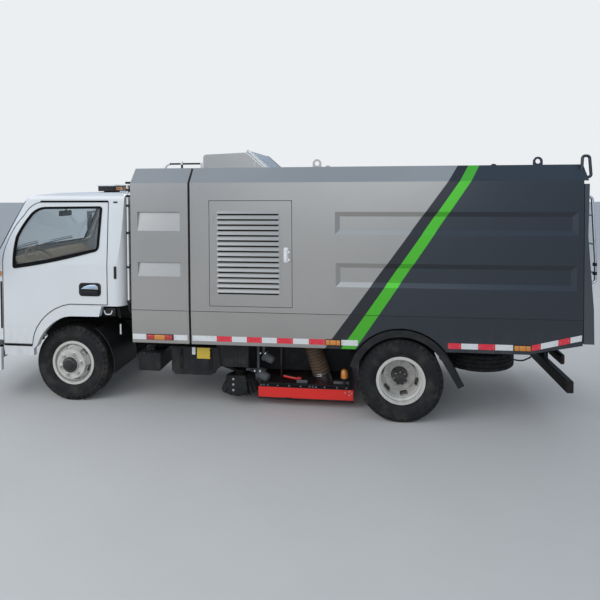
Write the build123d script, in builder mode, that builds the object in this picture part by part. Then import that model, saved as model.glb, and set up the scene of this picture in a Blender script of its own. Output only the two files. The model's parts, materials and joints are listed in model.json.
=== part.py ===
"""Compact suction street sweeper on a light cab-over truck chassis, in millimetres.

X points forward, Y to the truck's left and Z up. The origin is on the ground, under the middle
of the truck. Lengths in the tables are measured forward from the rear axle and up from the ground.
"""
import os
from math import cos, radians, sin

from build123d import *

os.makedirs("parts", exist_ok=True)

# Overall layout
OVERALL_LENGTH = 6090
WHEELBASE = 3308
FRONT_OVERHANG = 1047
REAR_AXLE_X = OVERALL_LENGTH / 2 - FRONT_OVERHANG - WHEELBASE
SIDES = (("left", 1), ("right", -1))

# Wheels
TYRE_RADIUS = 387.5
TYRE_HALF_WIDTH = 100
RIM_HALF_WIDTH = 75
DISC_OFFSET = 116
DISC_THICKNESS = 9
HUB_RADIUS = 84
FRONT_WHEEL_Y = 735
REAR_OUTER_Y = 885
REAR_INNER_Y = REAR_OUTER_Y - 2 * DISC_OFFSET
KINGPIN_Y = 625

# Frame rails and running gear
RAIL_OUTER_Y = 375
RAIL_FLANGE = 60
RAIL_WALL = 8
RAIL_BOTTOM_Z = 545
RAIL_TOP_Z = 725
RAIL_REAR_X = -1480
RAIL_FRONT_X = 4130
CROSSMEMBER_X = (-1380, -870, -385, 1150, 1650, 3560, 3980)
CROSSMEMBER_HEIGHT = 110
CROSSMEMBER_LENGTH = 70
REAR_SPRING_Y = 446
FRONT_SPRING_Y = 340
SPRING_WIDTH = 64
SPRING_SEAT_Z = 441

# Body: the water cabinet in front and the tipping hopper behind share one section
BODY_HALF_WIDTH = 1000
BODY_TOP_Z = 2376
CHAMFER_Z = 2230
CHAMFER_INSET = 131
CREASE_Z = 1000
SKIRT_Z = 678
SKIRT_TUCK = 14
BODY_WALL = 42
BODY_FLOOR_Z = 820
CABINET_REAR_X = 2007
CABINET_FRONT_X = 2580
HOPPER_REAR_X = -1575
HOPPER_FRONT_X = 1985
PARTITION_X = 990
TIP_PIVOT = (-1420, 762)
TIP_LUG_Y = 250
LUG_THICKNESS = 24
TIP_PIN_HALF_LENGTH = 300
PIVOT_PIN_RADIUS = 20
RUNNING_CLEARANCE = 0.08

# Tipping cylinders, from an eye on the frame to an eye under the hopper
CYLINDER_Y = 190
BARREL_EYE = (-300, 640)
ROD_EYE = (760, 770)
EYE_RADIUS = 18
EYE_HALF_WIDTH = 16

# Rear mudguards
FENDER_RADIUS = 485
FENDER_LIP = 62
FENDER_OUTER_Y = 1012
FENDER_INNER_Y = 545

# Cab
CAB_REAR_X = 2690
CAB_HALF_WIDTH = 930
CAB_CORNER_X = 3960
CAB_CORNER_RADIUS = 230
CAB_CROWN = 75
CAB_TOP_Z = 2137
CAB_WALL = 45
COWL_Z = 1450
SCREEN_RAKE = 0.60
SHOULDER_Z = 1420
TUMBLEHOME = 58
GLASS_SINK = 14
GLASS_THICKNESS = 6
DOOR_GAP = 5
CAB_FLOOR_Z = 1010
FOOT_FLOOR_Z = 760

# Suction nozzle and side brushes
NOZZLE_HALF_WIDTH = 750
NOZZLE_TOP_Z = 200
NOZZLE_BOTTOM_Z = 100
SKIRT_RUBBER_Z = 76
BRUSH_CENTRE = (1600, 590)
BRUSH_PIVOT = (1840, 420)
BRUSH_PIN_RADIUS = 16
BRUSH_PLATE_RADIUS = 150
BRUSH_TIP_RADIUS = 205
BRUSH_PLATE_Z = 222
BRUSH_TIP_Z = 98


def side(y):
    """Plane seen from the truck's left: x forward from the rear axle, y up."""
    return Plane(origin=(REAR_AXLE_X, y, 0), x_dir=(1, 0, 0), z_dir=(0, -1, 0))


def deck(z):
    """Plane seen from above: x forward from the rear axle, y to the left."""
    return Plane(origin=(REAR_AXLE_X, 0, z), x_dir=(1, 0, 0), z_dir=(0, 0, 1))


def cross(x):
    """Plane seen along the truck: x to the left, y up."""
    return Plane(origin=(REAR_AXLE_X + x, 0, 0), x_dir=(0, 1, 0), z_dir=(1, 0, 0))


def hub_plane(x, y, outboard):
    """Plane through a wheel's axis: x out from the axis, y along it, away from the truck."""
    return Plane(origin=(REAR_AXLE_X + x, y, TYRE_RADIUS), x_dir=(0, 0, 1), z_dir=(-outboard, 0, 0))


def wheel_axis(x):
    """The axle line of a wheel pair."""
    return Axis((REAR_AXLE_X + x, 0, TYRE_RADIUS), (0, 1, 0))


def traced(rows):
    """Face inside a closed outline. A row is a corner, or a corner and a point that the arc to it passes."""
    with BuildSketch() as face:
        with BuildLine():
            here = rows[-1][:2]
            for row in rows:
                if len(row) == 4:
                    ThreePointArc(here, row[2:], row[:2])
                else:
                    Line(here, row)
                here = row[:2]
        make_face()
    return face.sketch


def save(piece, name):
    """Labels one finished piece and writes its STEP file."""
    piece.label = name
    export_step(piece, f"parts/{name}.step")


def mirrored(piece):
    """The same piece on the other side of the truck."""
    return piece.mirror(Plane.XZ)


# Wheels: columns are radius and distance outboard from the rim's centre
BEAD_RADIUS = 206.5
BEAD_EDGE = RIM_HALF_WIDTH - 6.5
TYRE_SHOULDER = (368, 86)
TYRE_BULGE = (300, TYRE_HALF_WIDTH)
TREAD_EDGE = (TYRE_RADIUS, 74)
RIM_SECTION = (
    (225, 75), (225, 69), (206, 69), (204, 34), (190, 22), (190, -22), (204, -34), (206, -69),
    (225, -69), (225, -75), (199, -75), (197, -38), (182, -26), (182, 26), (197, 38), (199, 75),
)
DISC_SECTION = (
    (186, 2), (186, 12), (174, 62), (150, DISC_OFFSET), (HUB_RADIUS, DISC_OFFSET),
    (HUB_RADIUS, DISC_OFFSET - DISC_THICKNESS), (144, DISC_OFFSET - DISC_THICKNESS), (165, 58), (177, 2),
)
HAND_HOLES = 6
HAND_HOLE = (76, 24)
HAND_HOLE_CIRCLE = 164
HAND_HOLE_ANGLE = 77
STUDS = 6
STUD_CIRCLE = 111
STUD_ANGLE = 47


def tyre(x, y):
    """One tyre as a closed carcass around an air space."""
    with BuildPart() as carcass:
        with BuildSketch(hub_plane(x, y, 1)):
            with BuildLine():
                for edge in (1, -1):
                    Line((BEAD_RADIUS, 46 * edge), (BEAD_RADIUS, BEAD_EDGE * edge))
                    Line((BEAD_RADIUS, BEAD_EDGE * edge), (230, BEAD_EDGE * edge))
                    Line((230, BEAD_EDGE * edge), (238, 82 * edge))
                    ThreePointArc(
                        (238, 82 * edge), (TYRE_BULGE[0], TYRE_BULGE[1] * edge),
                        (TYRE_SHOULDER[0], TYRE_SHOULDER[1] * edge),
                    )
                    Line((TYRE_SHOULDER[0], TYRE_SHOULDER[1] * edge), (TREAD_EDGE[0], TREAD_EDGE[1] * edge))
                    Line((BEAD_RADIUS, 46 * edge), (232, 58 * edge))
                    ThreePointArc((232, 58 * edge), (300, 88 * edge), (362, 66 * edge))
                Line((TREAD_EDGE[0], TREAD_EDGE[1]), (TREAD_EDGE[0], -TREAD_EDGE[1]))
                Line((362, 66), (362, -66))
            make_face()
        revolve(axis=wheel_axis(x))
    return carcass.part


def rim(x, y, outboard):
    """One steel wheel whose disc bulges towards outboard."""
    with BuildPart() as wheel:
        with BuildSketch(hub_plane(x, y, outboard)):
            Polygon(*RIM_SECTION, align=None)
            Polygon(*DISC_SECTION, align=None)
        revolve(axis=wheel_axis(x))
        with BuildSketch(side(y + outboard * DISC_OFFSET)):
            with Locations((x, TYRE_RADIUS)):
                with PolarLocations(HAND_HOLE_CIRCLE, HAND_HOLES, start_angle=HAND_HOLE_ANGLE):
                    SlotOverall(HAND_HOLE[0], HAND_HOLE[1], rotation=90)
        extrude(amount=outboard * DISC_OFFSET, mode=Mode.SUBTRACT)
    return wheel.part


SPINDLE_RADIUS = 32
SPINDLE_LENGTH = 100
DRUM_DEPTH = 150


def hub(x, y, outboard, nose):
    """Drum, hub and studs of one wheel, bored for the spindle, its disc at y + outboard * DISC_OFFSET."""
    face = DISC_OFFSET
    with BuildPart() as drum:
        with BuildSketch(hub_plane(x, y, outboard)):
            Polygon(
                (0, face - DRUM_DEPTH), (150, face - DRUM_DEPTH), (156, face - 60),
                (120, face - DISC_THICKNESS),
                (HUB_RADIUS, face - DISC_THICKNESS), (HUB_RADIUS, face + 14), (72, face + 20),
                (66, face + nose - 10), (56, face + nose), (0, face + nose), align=None,
            )
        revolve(axis=wheel_axis(x))
        with BuildSketch(side(y + outboard * (face - DISC_THICKNESS))):
            with Locations((x, TYRE_RADIUS)):
                with PolarLocations(STUD_CIRCLE, STUDS, start_angle=STUD_ANGLE):
                    RegularPolygon(17, 6)
        extrude(amount=-outboard * (DISC_THICKNESS + 24))
        with BuildSketch(side(y + outboard * (face - DRUM_DEPTH))):
            with Locations((x, TYRE_RADIUS)):
                Circle(SPINDLE_RADIUS + RUNNING_CLEARANCE)
        extrude(amount=-outboard * (SPINDLE_LENGTH + 6), mode=Mode.SUBTRACT)
    return drum.part


for name, outboard in SIDES:
    front = FRONT_WHEEL_Y * outboard
    save(tyre(WHEELBASE, front), f"front_tyre_{name}")
    with BuildPart() as front_rim:
        add(rim(WHEELBASE, front, outboard))
        add(hub(WHEELBASE, front, outboard, 44))
    save(front_rim.part, f"front_rim_{name}")

    outer = REAR_OUTER_Y * outboard
    inner = REAR_INNER_Y * outboard
    with BuildPart() as rear_tyres:
        add(tyre(0, outer))
        add(tyre(0, inner))
    save(rear_tyres.part, f"rear_tyres_{name}")
    with BuildPart() as rear_rims:
        add(rim(0, outer, -outboard))
        add(rim(0, inner, outboard))
        add(hub(0, inner, outboard, 120))
    save(rear_rims.part, f"rear_rims_{name}")

# Steering knuckles: two eyes on the kingpin, a plate between them and the wheel's spindle
KINGPIN_BOSS_RADIUS = 38
KINGPIN_RADIUS = 16
KNUCKLE_EYE_Z = (TYRE_RADIUS - 110, TYRE_RADIUS + 52)
KNUCKLE_EYE_HEIGHT = 58
KNUCKLE_PLATE_Y = (KINGPIN_Y + 43, KINGPIN_Y + 67)
SPINDLE_TIP_Y = FRONT_WHEEL_Y + DISC_OFFSET - DRUM_DEPTH + SPINDLE_LENGTH
for name, outboard in SIDES:
    with BuildPart() as knuckle:
        for height in KNUCKLE_EYE_Z:
            with BuildSketch(deck(height)):
                with Locations((WHEELBASE, KINGPIN_Y * outboard)):
                    Circle(KINGPIN_BOSS_RADIUS)
                with Locations((WHEELBASE, (KINGPIN_Y + KNUCKLE_PLATE_Y[1]) / 2 * outboard)):
                    Rectangle(66, KNUCKLE_PLATE_Y[1] - KINGPIN_Y)
            extrude(amount=KNUCKLE_EYE_HEIGHT)
        with BuildSketch(deck(KNUCKLE_EYE_Z[0])):
            with Locations((WHEELBASE, KINGPIN_Y * outboard)):
                Circle(KINGPIN_RADIUS)
            with Locations((WHEELBASE, sum(KNUCKLE_PLATE_Y) / 2 * outboard)):
                Rectangle(66, KNUCKLE_PLATE_Y[1] - KNUCKLE_PLATE_Y[0])
        extrude(amount=KNUCKLE_EYE_Z[1] + KNUCKLE_EYE_HEIGHT - KNUCKLE_EYE_Z[0])
        with BuildSketch(side(KNUCKLE_PLATE_Y[0] * outboard)):
            with Locations((WHEELBASE, TYRE_RADIUS)):
                Circle(SPINDLE_RADIUS)
        extrude(amount=-outboard * (SPINDLE_TIP_Y - KNUCKLE_PLATE_Y[0]))
    save(knuckle.part, f"knuckle_{name}")

# Frame: two channels with crossmembers
with BuildPart() as frame_rails:
    with BuildSketch(cross(RAIL_REAR_X)):
        for outboard in (1, -1):
            web = RAIL_OUTER_Y * outboard
            inside = (RAIL_OUTER_Y - RAIL_WALL) * outboard
            lip = (RAIL_OUTER_Y - RAIL_FLANGE) * outboard
            Polygon(
                (web, RAIL_BOTTOM_Z), (web, RAIL_TOP_Z), (lip, RAIL_TOP_Z),
                (lip, RAIL_TOP_Z - RAIL_WALL), (inside, RAIL_TOP_Z - RAIL_WALL),
                (inside, RAIL_BOTTOM_Z + RAIL_WALL), (lip, RAIL_BOTTOM_Z + RAIL_WALL),
                (lip, RAIL_BOTTOM_Z), align=None,
            )
    extrude(amount=RAIL_FRONT_X - RAIL_REAR_X)
save(frame_rails.part, "frame_rails")

with BuildPart() as crossmembers:
    for place in CROSSMEMBER_X:
        with BuildSketch(side(RAIL_OUTER_Y - RAIL_WALL)):
            with Locations((place, (RAIL_BOTTOM_Z + RAIL_TOP_Z) / 2)):
                Rectangle(CROSSMEMBER_LENGTH, CROSSMEMBER_HEIGHT)
                offset(amount=-RAIL_WALL, kind=Kind.INTERSECTION, mode=Mode.SUBTRACT)
        extrude(amount=2 * (RAIL_OUTER_Y - RAIL_WALL))
    # Lugs and pin of the hopper's pivot
    for near_y in (TIP_LUG_Y, LUG_THICKNESS - TIP_LUG_Y):
        with BuildSketch(side(near_y)):
            Polygon((-1415, 690), (-1345, 690), (-1380, 800), (-1455, 800), align=None)
        extrude(amount=LUG_THICKNESS)
    with BuildSketch(side(TIP_PIN_HALF_LENGTH)):
        with Locations(TIP_PIVOT):
            Circle(PIVOT_PIN_RADIUS)
    extrude(amount=2 * TIP_PIN_HALF_LENGTH)
    # Lugs and pins of the tipping cylinders' barrels
    for outboard in (1, -1):
        for across in (-1, 1):
            with BuildSketch(side(CYLINDER_Y * outboard + across * (EYE_HALF_WIDTH + 8) + 5)):
                Polygon(
                    (-352, 606), (-352, 674), (-300, 674), (-272, 655), (-272, 625), (-300, 606), align=None,
                )
            extrude(amount=10)
        with BuildSketch(side(CYLINDER_Y * outboard + EYE_HALF_WIDTH + 13)):
            with Locations(BARREL_EYE):
                Circle(EYE_RADIUS)
        extrude(amount=2 * (EYE_HALF_WIDTH + 13))
save(crossmembers.part, "crossmembers")

# Front axle: dropped beam with eyes for the kingpins
with BuildPart() as front_axle:
    with BuildSketch(cross(WHEELBASE - 34)):
        Polygon(
            (-588, 360), (-470, 380), (-380, 292), (380, 292), (470, 380), (588, 360), (588, 425),
            (455, 440), (365, 352), (-365, 352), (-455, 440), (-588, 425), align=None,
        )
    extrude(amount=68)
    for outboard in (1, -1):
        with BuildSketch(deck(TYRE_RADIUS - 48)):
            with Locations((WHEELBASE, KINGPIN_Y * outboard)):
                Circle(KINGPIN_BOSS_RADIUS)
        extrude(amount=96)
        with BuildSketch(deck(SPRING_SEAT_Z)):
            with Locations((WHEELBASE, FRONT_SPRING_Y * outboard)):
                Rectangle(68, SPRING_WIDTH)
        extrude(amount=-100)
        with BuildSketch(deck(TYRE_RADIUS - 60)):
            with Locations((WHEELBASE, KINGPIN_Y * outboard)):
                Circle(KINGPIN_RADIUS + RUNNING_CLEARANCE)
        extrude(amount=120, mode=Mode.SUBTRACT)
save(front_axle.part, "front_axle")

# Rear axle: banjo housing, tubes with spindles, spring seats and the propeller shaft
AXLE_TUBE_END_Y = REAR_INNER_Y + DISC_OFFSET - DRUM_DEPTH - 1
with BuildPart() as rear_axle:
    with BuildSketch(hub_plane(0, 0, 1)):
        with BuildLine() as outline:
            Polyline(
                (SPINDLE_RADIUS, -AXLE_TUBE_END_Y), (52, -AXLE_TUBE_END_Y), (52, -230), (150, -100),
                (150, 90), (52, 220), (52, AXLE_TUBE_END_Y), (SPINDLE_RADIUS, AXLE_TUBE_END_Y),
                (SPINDLE_RADIUS, AXLE_TUBE_END_Y + SPINDLE_LENGTH), (0, AXLE_TUBE_END_Y + SPINDLE_LENGTH),
                (0, -AXLE_TUBE_END_Y - SPINDLE_LENGTH), (SPINDLE_RADIUS, -AXLE_TUBE_END_Y - SPINDLE_LENGTH),
                close=True,
            )
        make_face()
    revolve(axis=wheel_axis(0))
    with BuildSketch(deck(SPRING_SEAT_Z)):
        with Locations((0, REAR_SPRING_Y), (0, -REAR_SPRING_Y)):
            Rectangle(100, SPRING_WIDTH)
    extrude(amount=-40)
    with BuildSketch(cross(100)):
        with Locations((0, TYRE_RADIUS)):
            Circle(72)
    extrude(amount=140)
    with BuildSketch(cross(240)):
        with Locations((0, TYRE_RADIUS)):
            Circle(48)
    with BuildSketch(cross(2300)):
        with Locations((0, 560)):
            Circle(48)
    loft()
save(rear_axle.part, "rear_axle")

# Leaf springs: columns are axle x, centre y, half length, height of the eyes, and the hangers' inner
# face, low and high edge
SPRINGS = (
    (0, REAR_SPRING_Y, 560, 575, RAIL_OUTER_Y, 552, 604),
    (WHEELBASE, FRONT_SPRING_Y, 540, 520, FRONT_SPRING_Y - SPRING_WIDTH / 2, 500, RAIL_BOTTOM_Z),
)
LEAF_THICKNESS = 14
with BuildPart() as leaf_springs:
    for axle, centre, half_length, eye_z, hanger_y, hanger_low, hanger_high in SPRINGS:
        outer = centre + SPRING_WIDTH / 2
        with BuildSketch(side(outer)):
            with BuildLine():
                ThreePointArc(
                    (axle - half_length, eye_z), (axle, SPRING_SEAT_Z + 36), (axle + half_length, eye_z),
                )
                Polyline(
                    (axle + half_length, eye_z), (axle + half_length, eye_z - LEAF_THICKNESS),
                    (axle + 130, SPRING_SEAT_Z), (axle - 130, SPRING_SEAT_Z),
                    (axle - half_length, eye_z - LEAF_THICKNESS), (axle - half_length, eye_z),
                )
            make_face()
        extrude(amount=SPRING_WIDTH)
        with BuildSketch(side(outer)):
            with Locations(*((axle + end * half_length, (hanger_low + hanger_high) / 2) for end in (-1, 1))):
                Rectangle(48, hanger_high - hanger_low)
        extrude(amount=outer - hanger_y)
    mirror(about=Plane.XZ)
save(leaf_springs.part, "leaf_springs")

# Main engine with gearbox under the cab, and the auxiliary engine under the hopper's front
with BuildPart() as engine:
    with BuildSketch(side(255)):
        Polygon(
            (2680, 600), (2680, 950), (2820, 950), (2860, 1075), (3400, 1075), (3420, 620), (3260, 470),
            (2900, 470), align=None,
        )
    extrude(amount=510)
    with BuildSketch(side(RAIL_OUTER_Y - RAIL_WALL)):
        with Locations((2950, 630), (3320, 630)):
            Rectangle(90, 50)
    extrude(amount=2 * (RAIL_OUTER_Y - RAIL_WALL))
    with BuildSketch(cross(2300.5)):
        with Locations((0, 570)):
            Rectangle(230, 230)
    with BuildSketch(cross(2690)):
        with Locations((0, 640)):
            Rectangle(400, 330)
    loft()
save(engine.part, "engine")

with BuildPart() as auxiliary_engine:
    with BuildSketch(side(290)):
        Polygon(
            (1060, 735), (1060, 1330), (1180, 1420), (1560, 1420), (1740, 1300), (1740, 735), align=None,
        )
    extrude(amount=580)
    fillet(auxiliary_engine.edges().filter_by(Axis.Z), 24)
    with BuildSketch(deck(735)):
        with Locations((1150, 200), (1150, -200), (1650, 200), (1650, -200)):
            Rectangle(CROSSMEMBER_LENGTH, 80)
    extrude(amount=-45)
save(auxiliary_engine.part, "auxiliary_engine")

# Tanks between front wheel and brush on the left, battery box and silencer
with BuildPart() as side_tanks:
    with BuildSketch(side(850)):
        Polygon(
            (1733, 423), (1835, 330), (2200, 328), (2239, 366), (2239, 605), (1760, 605),
            align=None,
        )
    extrude(amount=370)
    with BuildSketch(side(840)):
        Polygon((1460, 420), (1460, 640), (1780, 640), (1780, 420), align=None)
    extrude(amount=60)
save(side_tanks.part, "side_tanks")

with BuildPart() as battery_box:
    with BuildSketch(side(860)):
        Polygon((2351, 356), (2351, 530), (2580, 530), (2580, 356), align=None)
    extrude(amount=400)
    fillet(battery_box.edges().filter_by(Axis.Y), 12)
save(battery_box.part, "battery_box")

with BuildPart() as silencer:
    with BuildSketch(cross(1880)):
        with Locations((-640, 480)):
            Ellipse(150, 110)
    extrude(amount=620)
    with BuildSketch(cross(2500)):
        with Locations((-560, 500)):
            Circle(32)
    extrude(amount=260)
save(silencer.part, "silencer")

# Bumper and lamps
BUMPER_Z = (330, 560)
with BuildPart() as front_bumper:
    with BuildSketch(deck(BUMPER_Z[0])):
        with BuildLine():
            crown = WHEELBASE + FRONT_OVERHANG
            ThreePointArc((crown - 50, 760), (crown, 0), (crown - 50, -760))
            ThreePointArc((crown - 50, -760), (crown - 125, -905), (crown - 270, -940))
            Line((crown - 270, -940), (crown - 345, -940))
            Line((crown - 345, -940), (crown - 345, -905))
            Line((crown - 345, -905), (crown - 280, -905))
            ThreePointArc((crown - 280, -905), (crown - 165, -870), (crown - 110, -740))
            ThreePointArc((crown - 110, -740), (crown - 62, 0), (crown - 110, 740))
            ThreePointArc((crown - 110, 740), (crown - 165, 870), (crown - 280, 905))
            Line((crown - 280, 905), (crown - 345, 905))
            Line((crown - 345, 905), (crown - 345, 940))
            Line((crown - 345, 940), (crown - 270, 940))
            ThreePointArc((crown - 270, 940), (crown - 125, 905), (crown - 50, 760))
        make_face()
    extrude(amount=BUMPER_Z[1] - BUMPER_Z[0])
    for outboard in (1, -1):
        with BuildSketch(deck(RAIL_BOTTOM_Z)):
            with Locations((4190, 340 * outboard)):
                Rectangle(210, 60)
        extrude(amount=-70)
    with BuildSketch(cross(4200)):
        with Locations((560, 425), (-560, 425)):
            RectangleRounded(230, 110, 30)
    extrude(amount=300, mode=Mode.SUBTRACT)
save(front_bumper.part, "front_bumper")

# Headlamps in the bumper, tail lamps on the arms beside the rails' ends
TAIL_LAMP = (560, 560, 330, 95)
with BuildPart() as lamps:
    with BuildSketch(cross(4245)):
        with Locations((560, 425), (-560, 425)):
            RectangleRounded(230, 110, 30)
    extrude(amount=40)
    for outboard in (1, -1):
        with BuildSketch(cross(-1528)):
            with Locations((TAIL_LAMP[0] * outboard, TAIL_LAMP[1])):
                RectangleRounded(TAIL_LAMP[2], TAIL_LAMP[3], 12)
        extrude(amount=36)
save(lamps.part, "lamps")

# Underrun bar on two hangers, with a towing eye and the plates that carry the tail lamps
TOW_EYE = (-1575, 369)
TOW_EYE_RADIUS = 20
TOW_EYE_WIDTH = 30
with BuildPart() as underrun_bar:
    with BuildSketch(side(900)):
        Polygon((-1537, 313), (-1537, 425), (-1475, 425), (-1475, 313), align=None)
    extrude(amount=1800)
    fillet(underrun_bar.edges().filter_by(Axis.Y), 10)
    with BuildSketch(side(TOW_EYE_WIDTH / 2)):
        with Locations(TOW_EYE):
            Circle(TOW_EYE_RADIUS + 18)
        with Locations((TOW_EYE[0] + 20, TOW_EYE[1])):
            Rectangle(44, 76)
        with Locations(TOW_EYE):
            Circle(TOW_EYE_RADIUS, mode=Mode.SUBTRACT)
    extrude(amount=TOW_EYE_WIDTH)
    for outboard in (1, -1):
        with BuildSketch(side(RAIL_OUTER_Y * outboard)):
            Polygon(
                (-1492, 420), (-1492, 600), (-1440, 700), (-1380, 700), (-1380, 640), (-1478, 500),
                (-1478, 420), align=None,
            )
        extrude(amount=-12 * outboard)
        with BuildSketch(cross(-1492)):
            with Locations((555 * outboard, TAIL_LAMP[1])):
                Rectangle(380, 60)
        extrude(amount=12)
save(underrun_bar.part, "underrun_bar")

# Spare wheel, slung flat under the frame's rear
SPARE_X = -870
SPARE_Z = 375
with BuildPart() as spare_wheel:
    with BuildSketch(Plane(origin=(REAR_AXLE_X + SPARE_X, 0, SPARE_Z), x_dir=(1, 0, 0), z_dir=(0, -1, 0))):
        Polygon(
            (225, -70), (240, -92), (300, -100), (366, -88), (385, -70), (385, 70), (366, 88),
            (300, 100), (240, 92), (225, 70), (190, 60), (190, 44), (60, 44), (60, 30), (176, 30),
            (176, -60), align=None,
        )
    revolve(axis=Axis((REAR_AXLE_X + SPARE_X, 0, 0), (0, 0, 1)))
save(spare_wheel.part, "spare_wheel")

# Mudguards: rear arches over the twin wheels, each with a lip and two stays, front flaps and splash
# curtains
ARCH_START, ARCH_TURN = 16.3, 150
ARCH_TAIL = 283
ARCH_SHEET = 10
STAY_PLACES = ((400, 618), (-356, 686))
FLAP_RADIUS = 478
FLAP_SHEET = 8
FLAP_ANGLES = (128, 188)
CURTAIN_X = (465, 1740)
CURTAIN_Y = (345, 353)
CURTAIN_LOW_Z = 235


def polar(centre, radius, angle):
    """Point at a radius and an angle in degrees about a centre in a side view."""
    return (centre[0] + radius * cos(radians(angle)), centre[1] + radius * sin(radians(angle)))


def arch_band(near_y, depth, width):
    """Arc with a straight tail around the rear wheels, depth thick radially and width wide."""
    hub_point = (0, TYRE_RADIUS)
    foot = polar((0, 0), ARCH_TAIL, ARCH_TURN + 90)
    with BuildPart() as band:
        with BuildSketch(side(near_y)):
            with BuildLine():
                starts = []
                ends = []
                for radius in (FENDER_RADIUS, FENDER_RADIUS - depth):
                    knee = polar(hub_point, radius, ARCH_TURN)
                    starts.append(polar(hub_point, radius, ARCH_START))
                    ends.append((knee[0] + foot[0], knee[1] + foot[1]))
                    CenterArc(hub_point, radius, ARCH_START, ARCH_TURN - ARCH_START)
                    Line(knee, ends[-1])
                Line(*starts)
                Line(*ends)
            make_face()
        extrude(amount=width)
    return band.part


with BuildPart() as mudguards:
    add(arch_band(FENDER_OUTER_Y, FENDER_LIP, ARCH_SHEET))
    add(arch_band(FENDER_OUTER_Y - ARCH_SHEET, ARCH_SHEET, FENDER_OUTER_Y - ARCH_SHEET - FENDER_INNER_Y))
    with BuildSketch(side(FENDER_OUTER_Y - ARCH_SHEET)):
        with Locations(*STAY_PLACES):
            Circle(14)
    extrude(amount=FENDER_OUTER_Y - ARCH_SHEET - RAIL_OUTER_Y)
    with BuildSketch(side(880)):
        with BuildLine():
            front_hub = (WHEELBASE, TYRE_RADIUS)
            for radius in (FLAP_RADIUS, FLAP_RADIUS + FLAP_SHEET):
                CenterArc(front_hub, radius, FLAP_ANGLES[0], FLAP_ANGLES[1] - FLAP_ANGLES[0])
            for angle in FLAP_ANGLES:
                Line(polar(front_hub, FLAP_RADIUS, angle), polar(front_hub, FLAP_RADIUS + FLAP_SHEET, angle))
        make_face()
    extrude(amount=880 - RAIL_OUTER_Y)
    # Splash curtain hung from the rail, between the rear wheel and the brush
    with BuildSketch(side(CURTAIN_Y[1])):
        with Locations((sum(CURTAIN_X) / 2, (CURTAIN_LOW_Z + RAIL_BOTTOM_Z) / 2)):
            Rectangle(CURTAIN_X[1] - CURTAIN_X[0], RAIL_BOTTOM_Z - CURTAIN_LOW_Z)
    extrude(amount=CURTAIN_Y[1] - CURTAIN_Y[0])
    mirror(about=Plane.XZ)
save(mudguards.part, "mudguards")


SHOULDER_Y = BODY_HALF_WIDTH - CHAMFER_INSET
SIDE_INNER_Y = BODY_HALF_WIDTH - BODY_WALL
CEILING_Y = SHOULDER_Y - 16
CEILING_Z = BODY_TOP_Z - BODY_WALL


def skirt_inner_y(height):
    """Half width inside the hopper's side walls at a height below the crease."""
    return SIDE_INNER_Y - SKIRT_TUCK * (CREASE_Z - height) / (CREASE_Z - SKIRT_Z)


# Water cabinet behind the cab, fixed to the frame
with BuildPart() as water_cabinet:
    with BuildSketch(cross(CABINET_REAR_X)):
        Polygon(
            (BODY_HALF_WIDTH - SKIRT_TUCK, SKIRT_Z), (BODY_HALF_WIDTH, CREASE_Z),
            (BODY_HALF_WIDTH, CHAMFER_Z), (SHOULDER_Y, BODY_TOP_Z), (-SHOULDER_Y, BODY_TOP_Z),
            (-BODY_HALF_WIDTH, CHAMFER_Z), (-BODY_HALF_WIDTH, CREASE_Z),
            (SKIRT_TUCK - BODY_HALF_WIDTH, SKIRT_Z), align=None,
        )
        with Locations((0, BODY_FLOOR_Z / 2)):
            Rectangle(2 * (BODY_HALF_WIDTH - 60), BODY_FLOOR_Z, mode=Mode.SUBTRACT)
    extrude(amount=CABINET_FRONT_X - CABINET_REAR_X)
    # Two pressed recesses a side, sharp at the top and fading downward
    for top, bottom in ((1953, 1770), (1467, 1330)):
        for outboard in (1, -1):
            with BuildSketch(cross(2085)):
                Polygon(
                    (BODY_HALF_WIDTH * outboard, top), ((BODY_HALF_WIDTH - 26) * outboard, top),
                    (BODY_HALF_WIDTH * outboard, bottom), align=None,
                )
            extrude(amount=425, mode=Mode.SUBTRACT)
    # Feet on the rails
    with BuildSketch(cross(CABINET_REAR_X + 30)):
        with Locations((345, (RAIL_TOP_Z + BODY_FLOOR_Z) / 2), (-345, (RAIL_TOP_Z + BODY_FLOOR_Z) / 2)):
            Rectangle(50, BODY_FLOOR_Z - RAIL_TOP_Z)
    extrude(amount=CABINET_FRONT_X - CABINET_REAR_X - 60)
save(water_cabinet.part, "water_cabinet")

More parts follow.
